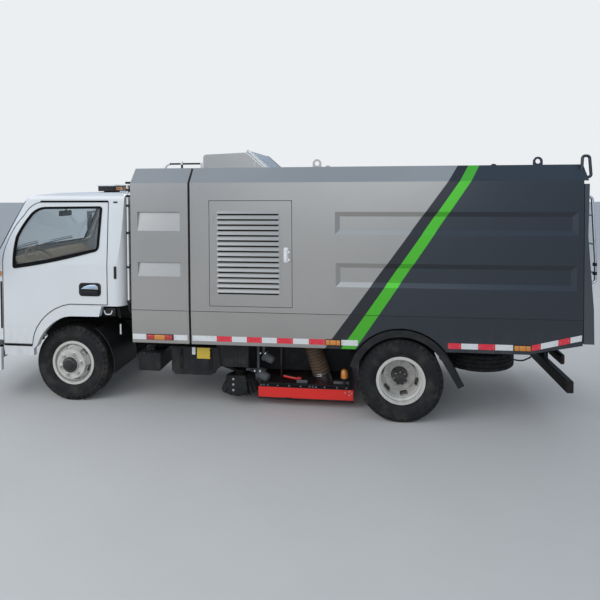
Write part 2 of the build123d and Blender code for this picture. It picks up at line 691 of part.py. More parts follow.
# Hopper: side walls with the wheel arch, pressed panels and the access door's opening
PRESS_DEPTH = 20
PRESS_EDGE = 44
PRESSED = ((-1530, 600, 1745, 1955), (-1520, 595, 1258, 1480))
ACCESS_DOOR = (1000, 1800, 1052, 2062)
with BuildPart() as hopper_sides:
    with BuildSketch(cross(HOPPER_REAR_X)):
        Polygon(
            (BODY_HALF_WIDTH - SKIRT_TUCK, SKIRT_Z), (BODY_HALF_WIDTH, CREASE_Z),
            (BODY_HALF_WIDTH, CHAMFER_Z), (SIDE_INNER_Y, CHAMFER_Z), (SIDE_INNER_Y, CREASE_Z),
            (SIDE_INNER_Y - SKIRT_TUCK, SKIRT_Z), align=None,
        )
    extrude(amount=HOPPER_FRONT_X - HOPPER_REAR_X)
    with BuildSketch(side(BODY_HALF_WIDTH + 1)):
        with Locations((0, TYRE_RADIUS)):
            Circle(FENDER_RADIUS + 12)
        Polygon((-1141, SKIRT_Z - 10), (-1141, SKIRT_Z + 8), (-1600, 778), (-1600, SKIRT_Z - 10), align=None)
    extrude(amount=BODY_WALL + SKIRT_TUCK + 2, mode=Mode.SUBTRACT)
    for rear, front, low, high in PRESSED:
        with BuildSketch(side(BODY_HALF_WIDTH)):
            with Locations(((rear + front) / 2, (low + high) / 2)):
                Rectangle(front - rear, high - low)
        with BuildSketch(side(BODY_HALF_WIDTH - PRESS_DEPTH)):
            with Locations(((rear + front) / 2, (low + high) / 2)):
                Rectangle(front - rear - 2 * PRESS_EDGE, high - low - 2 * PRESS_EDGE)
        loft(mode=Mode.SUBTRACT)
    with BuildSketch(side(BODY_HALF_WIDTH)):
        rear, front, low, high = ACCESS_DOOR
        with Locations(((rear + front) / 2, (low + high) / 2)):
            Rectangle(front - rear, high - low)
    extrude(amount=BODY_WALL, mode=Mode.SUBTRACT)
    mirror(about=Plane.XZ)
save(hopper_sides.part, "hopper_sides")

# Hopper roof: crown plate, sloped edge plates, rear header with a grab rail, and four lifting eyes
EYE_X = (780, -1250)
EYE_Y = 800
EYE_Z = BODY_TOP_Z + 34
EYE_BORE_RADIUS = 22
EYE_OUTER_RADIUS = 42
EYE_PLATE = 14
HEADER_DEPTH = 40
HOPPER_LENGTH = HOPPER_FRONT_X - HOPPER_REAR_X
with BuildPart() as roof_crown:
    with BuildSketch(cross(HOPPER_REAR_X)):
        Polygon(
            (SHOULDER_Y, BODY_TOP_Z), (CEILING_Y, CEILING_Z), (-CEILING_Y, CEILING_Z),
            (-SHOULDER_Y, BODY_TOP_Z), align=None,
        )
    extrude(amount=HOPPER_LENGTH)
with BuildPart() as roof_edge:
    with BuildSketch(cross(HOPPER_REAR_X)):
        Polygon(
            (BODY_HALF_WIDTH, CHAMFER_Z), (SHOULDER_Y, BODY_TOP_Z), (CEILING_Y, CEILING_Z),
            (SIDE_INNER_Y, CHAMFER_Z), align=None,
        )
    extrude(amount=HOPPER_LENGTH)
with BuildPart() as roof_header:
    with BuildSketch(cross(HOPPER_REAR_X)):
        Polygon(
            (BODY_HALF_WIDTH, CHAMFER_Z), (SHOULDER_Y, BODY_TOP_Z), (-SHOULDER_Y, BODY_TOP_Z),
            (-BODY_HALF_WIDTH, CHAMFER_Z), align=None,
        )
    extrude(amount=-HEADER_DEPTH)
    with BuildLine() as rail_path:
        FilletPolyline(
            (REAR_AXLE_X - 1592, 900, 2325), (REAR_AXLE_X - 1598, 900, 2450), (REAR_AXLE_X - 1656, 900, 2450),
            (REAR_AXLE_X - 1672, 900, 2262), (REAR_AXLE_X - 1600, 900, 2262), radius=24,
        )
    with BuildSketch(Plane(origin=rail_path.line @ 0, z_dir=rail_path.line % 0)):
        Circle(13)
    sweep()
with BuildPart() as lifting_eye:
    with BuildSketch(side(EYE_Y + EYE_PLATE / 2)):
        with Locations(*((place, EYE_Z) for place in EYE_X)):
            Circle(EYE_OUTER_RADIUS)
            Rectangle(2 * EYE_OUTER_RADIUS, EYE_Z - BODY_TOP_Z, align=(Align.CENTER, Align.MAX))
            Circle(EYE_BORE_RADIUS, mode=Mode.SUBTRACT)
        with Locations(*((place, BODY_TOP_Z) for place in EYE_X)):
            Rectangle(
                2 * EYE_OUTER_RADIUS, EYE_OUTER_RADIUS, align=(Align.CENTER, Align.MAX), mode=Mode.SUBTRACT,
            )
    extrude(amount=EYE_PLATE)
    mirror(about=Plane.XZ)
save(
    Compound([
        roof_crown.part.solid(), roof_edge.part.solid(), mirrored(roof_edge.part).solid(),
        roof_header.part.solid(), *lifting_eye.part.solids(),
    ]),
    "hopper_roof",
)

# Hopper floor on two runners, with hinge lugs, the cylinders' brackets and the suction inlet
FLOOR_PLATE = 38
FLOOR_HALF_WIDTH = skirt_inner_y(BODY_FLOOR_Z)
INLET = (900, 550)
with BuildPart() as hopper_floor:
    with BuildSketch(deck(BODY_FLOOR_Z)):
        Polygon(
            (HOPPER_REAR_X, FLOOR_HALF_WIDTH), (PARTITION_X, FLOOR_HALF_WIDTH),
            (PARTITION_X, -FLOOR_HALF_WIDTH), (HOPPER_REAR_X, -FLOOR_HALF_WIDTH), align=None,
        )
    extrude(amount=FLOOR_PLATE)
    # Wheel boxes over the mudguards
    with BuildSketch(side(BODY_HALF_WIDTH)):
        with Locations((0, TYRE_RADIUS)):
            Circle(FENDER_RADIUS + 12)
    extrude(amount=2 * BODY_HALF_WIDTH, mode=Mode.SUBTRACT)
    with BuildSketch(side(FLOOR_HALF_WIDTH)):
        with BuildLine():
            spring_line = BODY_FLOOR_Z - TYRE_RADIUS
            inner_radius = FENDER_RADIUS + 12
            outer_radius = inner_radius + FLOOR_PLATE
            inner_reach = (inner_radius ** 2 - spring_line ** 2) ** 0.5
            outer_reach = (outer_radius ** 2 - spring_line ** 2) ** 0.5
            ThreePointArc(
                (-inner_reach, BODY_FLOOR_Z), (0, TYRE_RADIUS + inner_radius), (inner_reach, BODY_FLOOR_Z),
            )
            Line((inner_reach, BODY_FLOOR_Z), (outer_reach, BODY_FLOOR_Z))
            ThreePointArc(
                (outer_reach, BODY_FLOOR_Z), (0, TYRE_RADIUS + outer_radius), (-outer_reach, BODY_FLOOR_Z),
            )
            Line((-outer_reach, BODY_FLOOR_Z), (-inner_reach, BODY_FLOOR_Z))
        make_face()
    extrude(amount=2 * FLOOR_HALF_WIDTH)
    for outboard in (1, -1):
        with BuildSketch(cross(-1400)):
            with Locations((345 * outboard, (RAIL_TOP_Z + 6 + BODY_FLOOR_Z) / 2)):
                Rectangle(50, BODY_FLOOR_Z - RAIL_TOP_Z - 6)
        extrude(amount=HOPPER_FRONT_X + 1400 - 20)
        with BuildSketch(side(276 * outboard + LUG_THICKNESS / 2)):
            Polygon((-1340, 826), (-1380, 735), (-1455, 735), (-1480, 826), align=None)
            with Locations(TIP_PIVOT):
                Circle(PIVOT_PIN_RADIUS + RUNNING_CLEARANCE, mode=Mode.SUBTRACT)
        extrude(amount=LUG_THICKNESS)
        for plate in (-1, 1):
            with BuildSketch(side(CYLINDER_Y * outboard + plate * 30 + 5)):
                Polygon((700, 826), (735, 742), (785, 742), (820, 826), align=None)
            extrude(amount=10)
    with BuildSketch(deck(BODY_FLOOR_Z)):
        with Locations(INLET):
            Circle(88, mode=Mode.ADD)
            Circle(78, mode=Mode.SUBTRACT)
    extrude(amount=-70)
    with BuildSketch(deck(BODY_FLOOR_Z - 1)):
        with Locations(INLET):
            Circle(78)
    extrude(amount=FLOOR_PLATE + 2, mode=Mode.SUBTRACT)
save(hopper_floor.part, "hopper_floor")

with BuildPart() as hopper_bulkheads:
    for place in (PARTITION_X - BODY_WALL, HOPPER_FRONT_X - BODY_WALL):
        with BuildSketch(cross(place)):
            low = BODY_FLOOR_Z + FLOOR_PLATE if place < HOPPER_FRONT_X - BODY_WALL else BODY_FLOOR_Z
            Polygon(
                (skirt_inner_y(low), low), (SIDE_INNER_Y, CREASE_Z), (SIDE_INNER_Y, CHAMFER_Z),
                (CEILING_Y, CEILING_Z), (-CEILING_Y, CEILING_Z), (-SIDE_INNER_Y, CHAMFER_Z),
                (-SIDE_INNER_Y, CREASE_Z), (-skirt_inner_y(low), low), align=None,
            )
        extrude(amount=BODY_WALL)
save(hopper_bulkheads.part, "hopper_bulkheads")

# Fan outlet on the roof, open towards the rear under a sloping rim on each side
OUTLET_HALF_WIDTH = 580
OUTLET_RIM = 22
OUTLET_OUTLINE = (
    (1308, BODY_TOP_Z), (1515, 2540), (1945, 2524), (1980, 2490, 1969, 2514), (1980, BODY_TOP_Z),
)
OUTLET_MOUTH = ((1290, 2390), (1290, 2600), (1530, 2600), (1580, 2480), (1470, 2390))
OUTLET_SLOPE = ((1286, BODY_TOP_Z), (1500, 2567), (1511, 2567), (1528, 2538), (1340, BODY_TOP_Z))
with BuildPart() as air_outlet:
    with BuildSketch(side(OUTLET_HALF_WIDTH)):
        add(traced(OUTLET_OUTLINE))
    extrude(amount=2 * OUTLET_HALF_WIDTH)
    with BuildSketch(side(OUTLET_HALF_WIDTH - OUTLET_RIM)):
        Polygon(*OUTLET_MOUTH, align=None)
    extrude(amount=2 * (OUTLET_HALF_WIDTH - OUTLET_RIM), mode=Mode.SUBTRACT)
    for near_y in (OUTLET_HALF_WIDTH, OUTLET_RIM - OUTLET_HALF_WIDTH):
        with BuildSketch(side(near_y)):
            Polygon(*OUTLET_SLOPE, align=None)
        extrude(amount=OUTLET_RIM)
save(air_outlet.part, "air_outlet")

# Rear door hung from the header, and its ladder
DOOR_AXIS = (-1640, 2215)
DOOR_LOW_Z = 790
DOOR_TOP_Z = 2202
with BuildPart() as rear_door:
    with BuildSketch(side(BODY_HALF_WIDTH - 2)):
        Polygon(
            (HOPPER_REAR_X - 6, DOOR_LOW_Z), (HOPPER_REAR_X - 6, DOOR_TOP_Z), (-1622, DOOR_TOP_Z),
            (-1612, 1744), (-1663, 1095), (-1669, DOOR_LOW_Z), align=None,
        )
    extrude(amount=2 * (BODY_HALF_WIDTH - 2))
save(rear_door.part, "rear_door")

STILE_RADIUS = 13
LADDER_REAR_X = OVERALL_LENGTH / 2 + REAR_AXLE_X - STILE_RADIUS
LADDER_RUNGS = ((LADDER_REAR_X, 1400), (LADDER_REAR_X - 12, 1660), (LADDER_REAR_X - 26, 1920))
with BuildPart() as ladder:
    for across in (590, 880):
        with BuildLine() as stile_path:
            FilletPolyline(
                (REAR_AXLE_X - 1620, across, 2085), (REAR_AXLE_X - 1690, across, 2085),
                (REAR_AXLE_X - LADDER_REAR_X, across, 1500), (REAR_AXLE_X - LADDER_REAR_X, across, 1315),
                (REAR_AXLE_X - 1647, across, 1315), radius=30,
            )
        with BuildSketch(Plane(origin=stile_path.line @ 0, z_dir=stile_path.line % 0)):
            Circle(STILE_RADIUS)
        sweep()
    for reach, height in LADDER_RUNGS:
        with BuildSketch(side(880)):
            with Locations((-reach, height)):
                Circle(11)
        extrude(amount=290)
save(ladder.part, "ladder")

# Access doors with pressed louvres
LOUVRES = 16
LOUVRE_PITCH = 50
LOUVRE_LOW_Z = 1190
LOUVRE_X = (1120, 1720)
LOUVRE_LIP = 10
LOUVRE_MOUTH = 16
with BuildPart() as access_door:
    rear, front, low, high = ACCESS_DOOR
    with BuildSketch(side(BODY_HALF_WIDTH)):
        with Locations(((rear + front) / 2, (low + high) / 2)):
            RectangleRounded(front - rear - 2 * DOOR_GAP, high - low - 2 * DOOR_GAP, 8)
    extrude(amount=BODY_WALL)
    with BuildSketch(side(BODY_HALF_WIDTH - BODY_WALL)):
        with Locations(((rear + front) / 2, (low + high) / 2)):
            Rectangle(front - rear - 90, high - low - 90)
    extrude(amount=-(BODY_WALL - 6), mode=Mode.SUBTRACT)
    for row in range(LOUVRES):
        base = LOUVRE_LOW_Z + row * LOUVRE_PITCH
        with BuildSketch(cross(LOUVRE_X[0])):
            Polygon(
                (BODY_HALF_WIDTH - 3, base + 20), (BODY_HALF_WIDTH, base + 20),
                (BODY_HALF_WIDTH + LOUVRE_LIP, base), (BODY_HALF_WIDTH + LOUVRE_LIP, base - 4),
                (BODY_HALF_WIDTH - 3, base - 4), align=None,
            )
        extrude(amount=LOUVRE_X[1] - LOUVRE_X[0])
        # The mouth opens below the lip, through the sheet
        with BuildSketch(cross(LOUVRE_X[0] + 8)):
            Polygon(
                (BODY_HALF_WIDTH - 8, base - 4 - LOUVRE_MOUTH), (BODY_HALF_WIDTH - 8, base + 12),
                (BODY_HALF_WIDTH + 2, base + 12), (BODY_HALF_WIDTH + LOUVRE_LIP - 2, base - 1),
                (BODY_HALF_WIDTH + LOUVRE_LIP - 2, base - 4 - LOUVRE_MOUTH), align=None,
            )
        extrude(amount=LOUVRE_X[1] - LOUVRE_X[0] - 16, mode=Mode.SUBTRACT)
save(access_door.part, "access_door_left")
save(mirrored(access_door.part), "access_door_right")

# Tipping cylinders: barrels on the frame, rods to the hopper's brackets
REACH = (ROD_EYE[0] - BARREL_EYE[0], ROD_EYE[1] - BARREL_EYE[1])
REACH_LENGTH = (REACH[0] ** 2 + REACH[1] ** 2) ** 0.5
LEAN = (REACH[0] / REACH_LENGTH, REACH[1] / REACH_LENGTH)
BARREL_START = 50
BARREL_LENGTH = 880
BARREL_RADIUS = 42
ROD_RADIUS = 22
ROD_START = 100


def cylinder_plane(y, along):
    """Plane square to the cylinder at the distance along from its barrel's eye."""
    return Plane(
        origin=(REAR_AXLE_X + BARREL_EYE[0] + LEAN[0] * along, y, BARREL_EYE[1] + LEAN[1] * along),
        x_dir=(0, 1, 0), z_dir=(LEAN[0], 0, LEAN[1]),
    )


with BuildPart() as cylinder_barrels:
    for outboard in (1, -1):
        with BuildSketch(cylinder_plane(CYLINDER_Y * outboard, BARREL_START)):
            Circle(BARREL_RADIUS)
        extrude(amount=BARREL_LENGTH)
        with BuildSketch(cylinder_plane(CYLINDER_Y * outboard, 0)):
            Rectangle(2 * EYE_HALF_WIDTH, 56)
        extrude(amount=BARREL_START + 2)
        with BuildSketch(side(CYLINDER_Y * outboard + EYE_HALF_WIDTH)):
            with Locations(BARREL_EYE):
                Circle(32)
        extrude(amount=2 * EYE_HALF_WIDTH)
        with BuildSketch(side(CYLINDER_Y * outboard + EYE_HALF_WIDTH)):
            with Locations(BARREL_EYE):
                Circle(EYE_RADIUS + RUNNING_CLEARANCE)
        extrude(amount=2 * EYE_HALF_WIDTH, mode=Mode.SUBTRACT)
        with BuildSketch(cylinder_plane(CYLINDER_Y * outboard, ROD_START - 10)):
            Circle(ROD_RADIUS + RUNNING_CLEARANCE)
        extrude(amount=BARREL_LENGTH, mode=Mode.SUBTRACT)
save(cylinder_barrels.part, "cylinder_barrels")

with BuildPart() as cylinder_rods:
    for outboard in (1, -1):
        with BuildSketch(cylinder_plane(CYLINDER_Y * outboard, ROD_START)):
            Circle(ROD_RADIUS)
        extrude(amount=REACH_LENGTH - ROD_START)
        with BuildSketch(side(CYLINDER_Y * outboard + EYE_HALF_WIDTH)):
            with Locations(ROD_EYE):
                Circle(30)
        extrude(amount=2 * EYE_HALF_WIDTH)
save(cylinder_rods.part, "cylinder_rods")

# Suction nozzle: a shallow hood, open below, with a neck that leans with its hose
NOZZLE_FRONT_HALF_WIDTH = 740
HOOD_PLAN = (
    (440, NOZZLE_HALF_WIDTH), (1042, NOZZLE_HALF_WIDTH), (1384, NOZZLE_FRONT_HALF_WIDTH),
    (1384, -NOZZLE_FRONT_HALF_WIDTH), (1042, -NOZZLE_HALF_WIDTH), (440, -NOZZLE_HALF_WIDTH),
)
HOOD_WALL = 10
GUIDE = (1200, 420)
GUIDE_RADIUS = 14
HOSE_FOOT = (760, INLET[1], NOZZLE_TOP_Z + 78)
HOSE_HEAD = (INLET[0], INLET[1], BODY_FLOOR_Z - 108)
HOSE_RUN = Vector(*HOSE_HEAD) - Vector(*HOSE_FOOT)
HOSE_RINGS = 14
HOSE_INNER_RADIUS, HOSE_VALLEY_RADIUS, HOSE_CREST_RADIUS = 72, 80, 92
NECK_RADII = (86, 74)


def hose_plane(along):
    """Plane square to the suction hose at the distance along from its foot."""
    foot = Vector(REAR_AXLE_X + HOSE_FOOT[0], HOSE_FOOT[1], HOSE_FOOT[2])
    return Plane(origin=foot + HOSE_RUN.normalized() * along, x_dir=(0, 1, 0), z_dir=HOSE_RUN)


with BuildPart() as neck:
    with BuildSketch(hose_plane(-130)):
        Circle(NECK_RADII[0])
    extrude(amount=130)
    with BuildSketch(deck(NOZZLE_TOP_Z - HOOD_WALL)):
        with Locations((HOSE_FOOT[0], HOSE_FOOT[1])):
            Rectangle(400, 400)
    extrude(amount=-200, mode=Mode.SUBTRACT)
with BuildPart() as nozzle_hood:
    with BuildSketch(deck(NOZZLE_BOTTOM_Z)):
        Polygon(*HOOD_PLAN, align=None)
    extrude(amount=NOZZLE_TOP_Z - NOZZLE_BOTTOM_Z)
    with BuildSketch(deck(NOZZLE_BOTTOM_Z)):
        Polygon(*HOOD_PLAN, align=None)
        offset(amount=-HOOD_WALL, mode=Mode.REPLACE)
    extrude(amount=NOZZLE_TOP_Z - NOZZLE_BOTTOM_Z - HOOD_WALL, mode=Mode.SUBTRACT)
    add(neck.part)
    with BuildSketch(hose_plane(-135)):
        Circle(NECK_RADII[1])
    extrude(amount=140, mode=Mode.SUBTRACT)
    # Guide rods that slide in the brackets on the rails
    with BuildSketch(deck(NOZZLE_TOP_Z - 4)):
        with Locations(GUIDE, (GUIDE[0], -GUIDE[1])):
            Circle(GUIDE_RADIUS)
    extrude(amount=460)
save(nozzle_hood.part, "nozzle_hood")

with BuildPart() as nozzle_skirt:
    with BuildSketch(deck(SKIRT_RUBBER_Z)):
        Polygon(*HOOD_PLAN, align=None)
        offset(amount=-8, mode=Mode.SUBTRACT)
    extrude(amount=NOZZLE_BOTTOM_Z - SKIRT_RUBBER_Z)
save(nozzle_skirt.part, "nozzle_skirt")

# Corrugated suction hose from the nozzle up to the hopper's inlet
with BuildPart() as suction_hose:
    pitch = HOSE_RUN.length / HOSE_RINGS
    base = hose_plane(0)
    along_axis = Plane(origin=base.origin, x_dir=base.x_dir, z_dir=base.z_dir.cross(base.x_dir) * -1)
    with BuildSketch(along_axis):
        with BuildLine():
            points = [(HOSE_VALLEY_RADIUS, 0)]
            for ring in range(HOSE_RINGS):
                points.append((HOSE_CREST_RADIUS, (ring + 0.35) * pitch))
                points.append((HOSE_CREST_RADIUS, (ring + 0.65) * pitch))
                points.append((HOSE_VALLEY_RADIUS, (ring + 1) * pitch))
            points.append((HOSE_INNER_RADIUS, HOSE_RINGS * pitch))
            points.append((HOSE_INNER_RADIUS, 0))
            Polyline(*points, close=True)
        make_face()
    revolve(axis=Axis(base.origin, HOSE_RUN))
save(suction_hose.part, "suction_hose")

# Side brushes: an arm from the frame, a motor, a plate and splayed bristle tufts
ARM_Z = BRUSH_PLATE_Z + 66
ARM_THICKNESS = 30
ARM_END_RADII = (56, 40)
ARM_SIDES = ((1574, 553), (1818, 389), (1862, 451), (1626, 627))
MOTOR_RADIUS = 52
# Columns are the radius of the ring of roots, the radius of the tips and the number of tufts
TUFT_RINGS = ((128, BRUSH_TIP_RADIUS - 24, 18), (80, 130, 12))
with BuildPart() as brush_arm:
    with BuildSketch(deck(ARM_Z)):
        with Locations(BRUSH_CENTRE):
            Circle(ARM_END_RADII[0])
        with Locations(BRUSH_PIVOT):
            Circle(ARM_END_RADII[1])
        Polygon(*ARM_SIDES, align=None)
        with Locations(BRUSH_PIVOT):
            Circle(BRUSH_PIN_RADIUS + RUNNING_CLEARANCE, mode=Mode.SUBTRACT)
    extrude(amount=ARM_THICKNESS)
    with BuildSketch(deck(BRUSH_PLATE_Z + 20)):
        with Locations(BRUSH_CENTRE):
            Circle(MOTOR_RADIUS)
    extrude(amount=ARM_Z - BRUSH_PLATE_Z - 20)
save(brush_arm.part, "brush_arm_left")
save(mirrored(brush_arm.part), "brush_arm_right")

with BuildPart() as brush:
    with BuildSketch(deck(BRUSH_PLATE_Z)):
        with Locations(BRUSH_CENTRE):
            Circle(BRUSH_PLATE_RADIUS)
    extrude(amount=19)
    for ring_radius, tip_radius, count in TUFT_RINGS:
        for tuft in range(count):
            angle = radians(360 * tuft / count)
            root = Vector(
                REAR_AXLE_X + BRUSH_CENTRE[0] + ring_radius * cos(angle),
                BRUSH_CENTRE[1] + ring_radius * sin(angle), BRUSH_PLATE_Z + 4,
            )
            tip = Vector(
                REAR_AXLE_X + BRUSH_CENTRE[0] + tip_radius * cos(angle),
                BRUSH_CENTRE[1] + tip_radius * sin(angle), BRUSH_TIP_Z + 10,
            )
            run = tip - root
            with BuildSketch(Plane(origin=root, z_dir=run)):
                Circle(9)
            with BuildSketch(Plane(origin=tip, z_dir=run)):
                Circle(20)
            loft()
save(brush.part, "brush_left")
save(mirrored(brush.part), "brush_right")

# Brackets on the rails: brush posts, nozzle guides, cab pivots and outriggers
CAB_PIVOT = (4150, 695)
CAB_PIVOT_RADIUS = 15
# Columns are x, inner y, outer y, low z and high z
OUTRIGGERS = (
    (1860, 375, 480, 555, 600), (2160, 375, 480, 555, 600), (2400, 375, 460, 480, 600),
    (2530, 375, 460, 480, 600), (2000, -640, -375, 590, 620), (2380, -640, -375, 590, 620),
)
with BuildPart() as frame_brackets:
    for outboard in (1, -1):
        x, y = BRUSH_PIVOT
        post_low = ARM_Z + ARM_THICKNESS + 2
        with BuildSketch(deck(post_low)):
            with Locations((x, y * outboard)):
                Circle(36)
        extrude(amount=RAIL_BOTTOM_Z + 60 - post_low)
        with BuildSketch(deck(RAIL_BOTTOM_Z)):
            with Locations((x, (RAIL_OUTER_Y + y) / 2 * outboard)):
                Rectangle(80, y - RAIL_OUTER_Y)
        extrude(amount=60)
        with BuildSketch(deck(ARM_Z - 6)):
            with Locations((x, y * outboard)):
                Circle(BRUSH_PIN_RADIUS)
        extrude(amount=ARM_THICKNESS + 20)
        with BuildSketch(deck(ARM_Z - 2)):
            with Locations((x, y * outboard)):
                Circle(30)
        extrude(amount=-10)
        with BuildSketch(deck(560)):
            with Locations((GUIDE[0], GUIDE[1] * outboard)):
                Rectangle(60, 2 * (GUIDE[1] - RAIL_OUTER_Y))
                Circle(GUIDE_RADIUS + RUNNING_CLEARANCE, mode=Mode.SUBTRACT)
        extrude(amount=60)
        with BuildSketch(side(RAIL_OUTER_Y * outboard)):
            Polygon(
                (4000, 590), (4000, 680), (4110, 725), (4165, 725), (4176, 690), (4110, 590), align=None,
            )
        extrude(amount=-20 * outboard)
        with BuildSketch(side(RAIL_OUTER_Y * outboard)):
            with Locations(CAB_PIVOT):
                Circle(CAB_PIVOT_RADIUS)
        extrude(amount=-70 * outboard)
    for x, inner_y, outer_y, low, high in OUTRIGGERS:
        with BuildSketch(deck(low)):
            with Locations((x, (inner_y + outer_y) / 2)):
                Rectangle(50, outer_y - inner_y)
        extrude(amount=high - low)
    with BuildSketch(deck(SPARE_Z + 44)):
        with Locations((SPARE_X, 0)):
            Circle(24)
    extrude(amount=(RAIL_BOTTOM_Z + RAIL_TOP_Z - CROSSMEMBER_HEIGHT) / 2 - SPARE_Z - 44)
save(frame_brackets.part, "frame_brackets")

# Cab: one skin, hollowed and split into its panels. Outlines are x forward and z up, as for traced().
CAB_FRONT_EDGE_Z = 640
CAB_SILL_Z = 490
CAB_BELT_SPLIT_X = 3990
CAB_BACK_SPLIT_X = 2760
CAB_ROOF_SPLIT_Z = 2052
FLARE_OUTER = ((2921, 1011), (3255, 1009), (3605, 769, 3450, 936), (3658, 558, 3645, 667))
FLARE_INNER = ((3612, 600), (3325, 892, 3495, 785), (3221, 905, 3275, 902), (2950, 907))
DOOR_OUTLINE = (
    (2865, 1022), (2865, 2045), (3590, 2045), (3760, 1918, 3688, 2003), (3948, 1620, 3868, 1782),
    (3985, 1450, 3974, 1538), (3985, 605), (3668, 605), (3617, 784, 3654, 698), (3260, 1022, 3458, 949),
)
WINDOW_OUTLINE = (
    (2932, 1972), (2958, 1999, 2940, 1991), (3540, 1994), (3712, 1897, 3635, 1967), (3841, 1695, 3789, 1789),
    (3869, 1404, 3865, 1560), (3838, 1381, 3861, 1384), (3012, 1550, 3514, 1434), (2956, 1602, 2973, 1567),
)
SCREEN_OUTLINE = (
    (-862, 1478), (862, 1478), (793, CAB_ROOF_SPLIT_Z), (-793, CAB_ROOF_SPLIT_Z),
)
BACK_WINDOW = (1100, 430, 1730)
GRILLE = (1040, 230, 905)
GRILLE_SLOTS = 5


def cab_plan(inset, rear):
    """The cab seen from above, moved inward by inset, with round front corners and a bowed nose."""
    half = CAB_HALF_WIDTH - inset
    corner_y = CAB_HALF_WIDTH - CAB_CORNER_RADIUS
    turn = (CAB_CORNER_RADIUS - inset) * sin(radians(45))
    nose = CAB_CORNER_X + CAB_CORNER_RADIUS - inset
    corner = (CAB_CORNER_X + turn, corner_y + turn)
    with BuildSketch() as plan:
        with BuildLine():
            Line((rear, half), (CAB_CORNER_X, half))
            ThreePointArc((CAB_CORNER_X, half), corner, (nose, corner_y))
            ThreePointArc((nose, corner_y), (nose + CAB_CROWN, 0), (nose, -corner_y))
            ThreePointArc((nose, -corner_y), (corner[0], -corner[1]), (CAB_CORNER_X, -half))
            Line((CAB_CORNER_X, -half), (rear, -half))
            Line((rear, -half), (rear, half))
        make_face()
    return plan.sketch


def cab_form(inset):
    """The cab's outer form moved inward by inset, as one solid; only the skin has the arches."""
    half = CAB_HALF_WIDTH - inset
    top = CAB_TOP_Z - inset
    rear = CAB_REAR_X + inset
    with BuildPart() as rake:
        with BuildSketch(deck(COWL_Z)):
            add(cab_plan(inset, CAB_REAR_X - 1200))
        extrude(amount=1000, dir=(-SCREEN_RAKE, 0, 1))
        with BuildSketch(deck(0)):
            with Locations((3200, 0)):
                Rectangle(3400, 2400)
        extrude(amount=COWL_Z)
    with BuildPart() as form:
        with BuildSketch(side(half)) as silhouette:
            top_line = ((4500, COWL_Z), (3900, top - 127), (3800, top - 67), (3640, top - 19), (3420, top))
            if inset:
                add(traced(((rear, 300), (4500, 300), *top_line, (rear, top))))
            else:
                add(traced((
                    (rear, CAB_FLOOR_Z), *FLARE_OUTER[1:], (3658, CAB_SILL_Z), (3974, CAB_SILL_Z),
                    (CAB_BELT_SPLIT_X, 600), (CAB_BELT_SPLIT_X, CAB_FRONT_EDGE_Z),
                    (4500, CAB_FRONT_EDGE_Z), *top_line, (rear, top),
                )))
            fillet(silhouette.vertices().group_by(Axis.Y)[-1].sort_by(Axis.X)[0], 80)
        extrude(amount=2 * half)
        with BuildSketch(deck(0)) as plan:
            add(cab_plan(inset, rear))
            fillet(plan.vertices().group_by(Axis.X)[0], 100 - inset)
        extrude(amount=CAB_TOP_Z, mode=Mode.INTERSECT)
        with BuildSketch(cross(rear)) as section:
            Polygon(
                (-half, 300), (half, 300), (half, SHOULDER_Z), (half - TUMBLEHOME, top),
                (TUMBLEHOME - half, top), (-half, SHOULDER_Z), align=None,
            )
            fillet(section.vertices().group_by(Axis.Y)[-1], 70)
        extrude(amount=2000, mode=Mode.INTERSECT)
        add(rake.part, mode=Mode.INTERSECT)
    return form.part


def shell_between(outer, inner):
    """The wall between two insets of the cab's form."""
    with BuildPart() as wall:
        add(cab_form(outer))
        add(cab_form(inner), mode=Mode.SUBTRACT)
    return wall.part


def portion(piece, low, high):
    """What of a piece lies in a box given by its low and high corners in x, y and z."""
    with BuildPart() as cut:
        add(piece)
        with BuildSketch(deck(low[2])):
            with Locations(((low[0] + high[0]) / 2, (low[1] + high[1]) / 2)):
                Rectangle(high[0] - low[0], high[1] - low[1])
        extrude(amount=high[2] - low[2], mode=Mode.INTERSECT)
    return cut.part


def back_window_prism():
    """Opening of the rear window."""
    width, height, centre = BACK_WINDOW
    with BuildPart() as opening:
        with BuildSketch(cross(CAB_REAR_X - 20)):
            with Locations((0, centre)):
                RectangleRounded(width, height, 60)
        extrude(amount=100)
    return opening.part


def screen_prism():
    """Opening of the windscreen."""
    with BuildPart() as opening:
        with BuildSketch(cross(3600)) as outline:
            Polygon(*SCREEN_OUTLINE, align=None)
            fillet(outline.vertices(), 60)
        extrude(amount=900)
    return opening.part


def side_prism(points, gap, low, high):
    """Prism of a side outline shrunk by gap, between the heights low and high across the truck."""
    with BuildPart() as prism:
        with BuildSketch(side(high)):
            add(traced(points))
            if gap:
                offset(amount=-gap, kind=Kind.TANGENT, mode=Mode.REPLACE)
        extrude(amount=high - low)
    return prism.part


cab_skin = shell_between(0, CAB_WALL)
glass_skin = shell_between(GLASS_SINK, GLASS_SINK + GLASS_THICKNESS)
door_prism = side_prism(DOOR_OUTLINE, DOOR_GAP, 780, 960)
door_hole = side_prism(DOOR_OUTLINE, 0, 780, 960)
window_prism = side_prism(WINDOW_OUTLINE, 0, 780, 960)
FAR = 5000

with BuildPart() as cab_roof:
    add(portion(cab_skin, (2600, -FAR, CAB_ROOF_SPLIT_Z), (4500, FAR, 2300)))
save(cab_roof.part, "cab_roof")

with BuildPart() as cab_back:
    add(portion(cab_skin, (2600, -FAR, 900), (CAB_BACK_SPLIT_X, FAR, CAB_ROOF_SPLIT_Z)))
    add(back_window_prism(), mode=Mode.SUBTRACT)
save(cab_back.part, "cab_back")

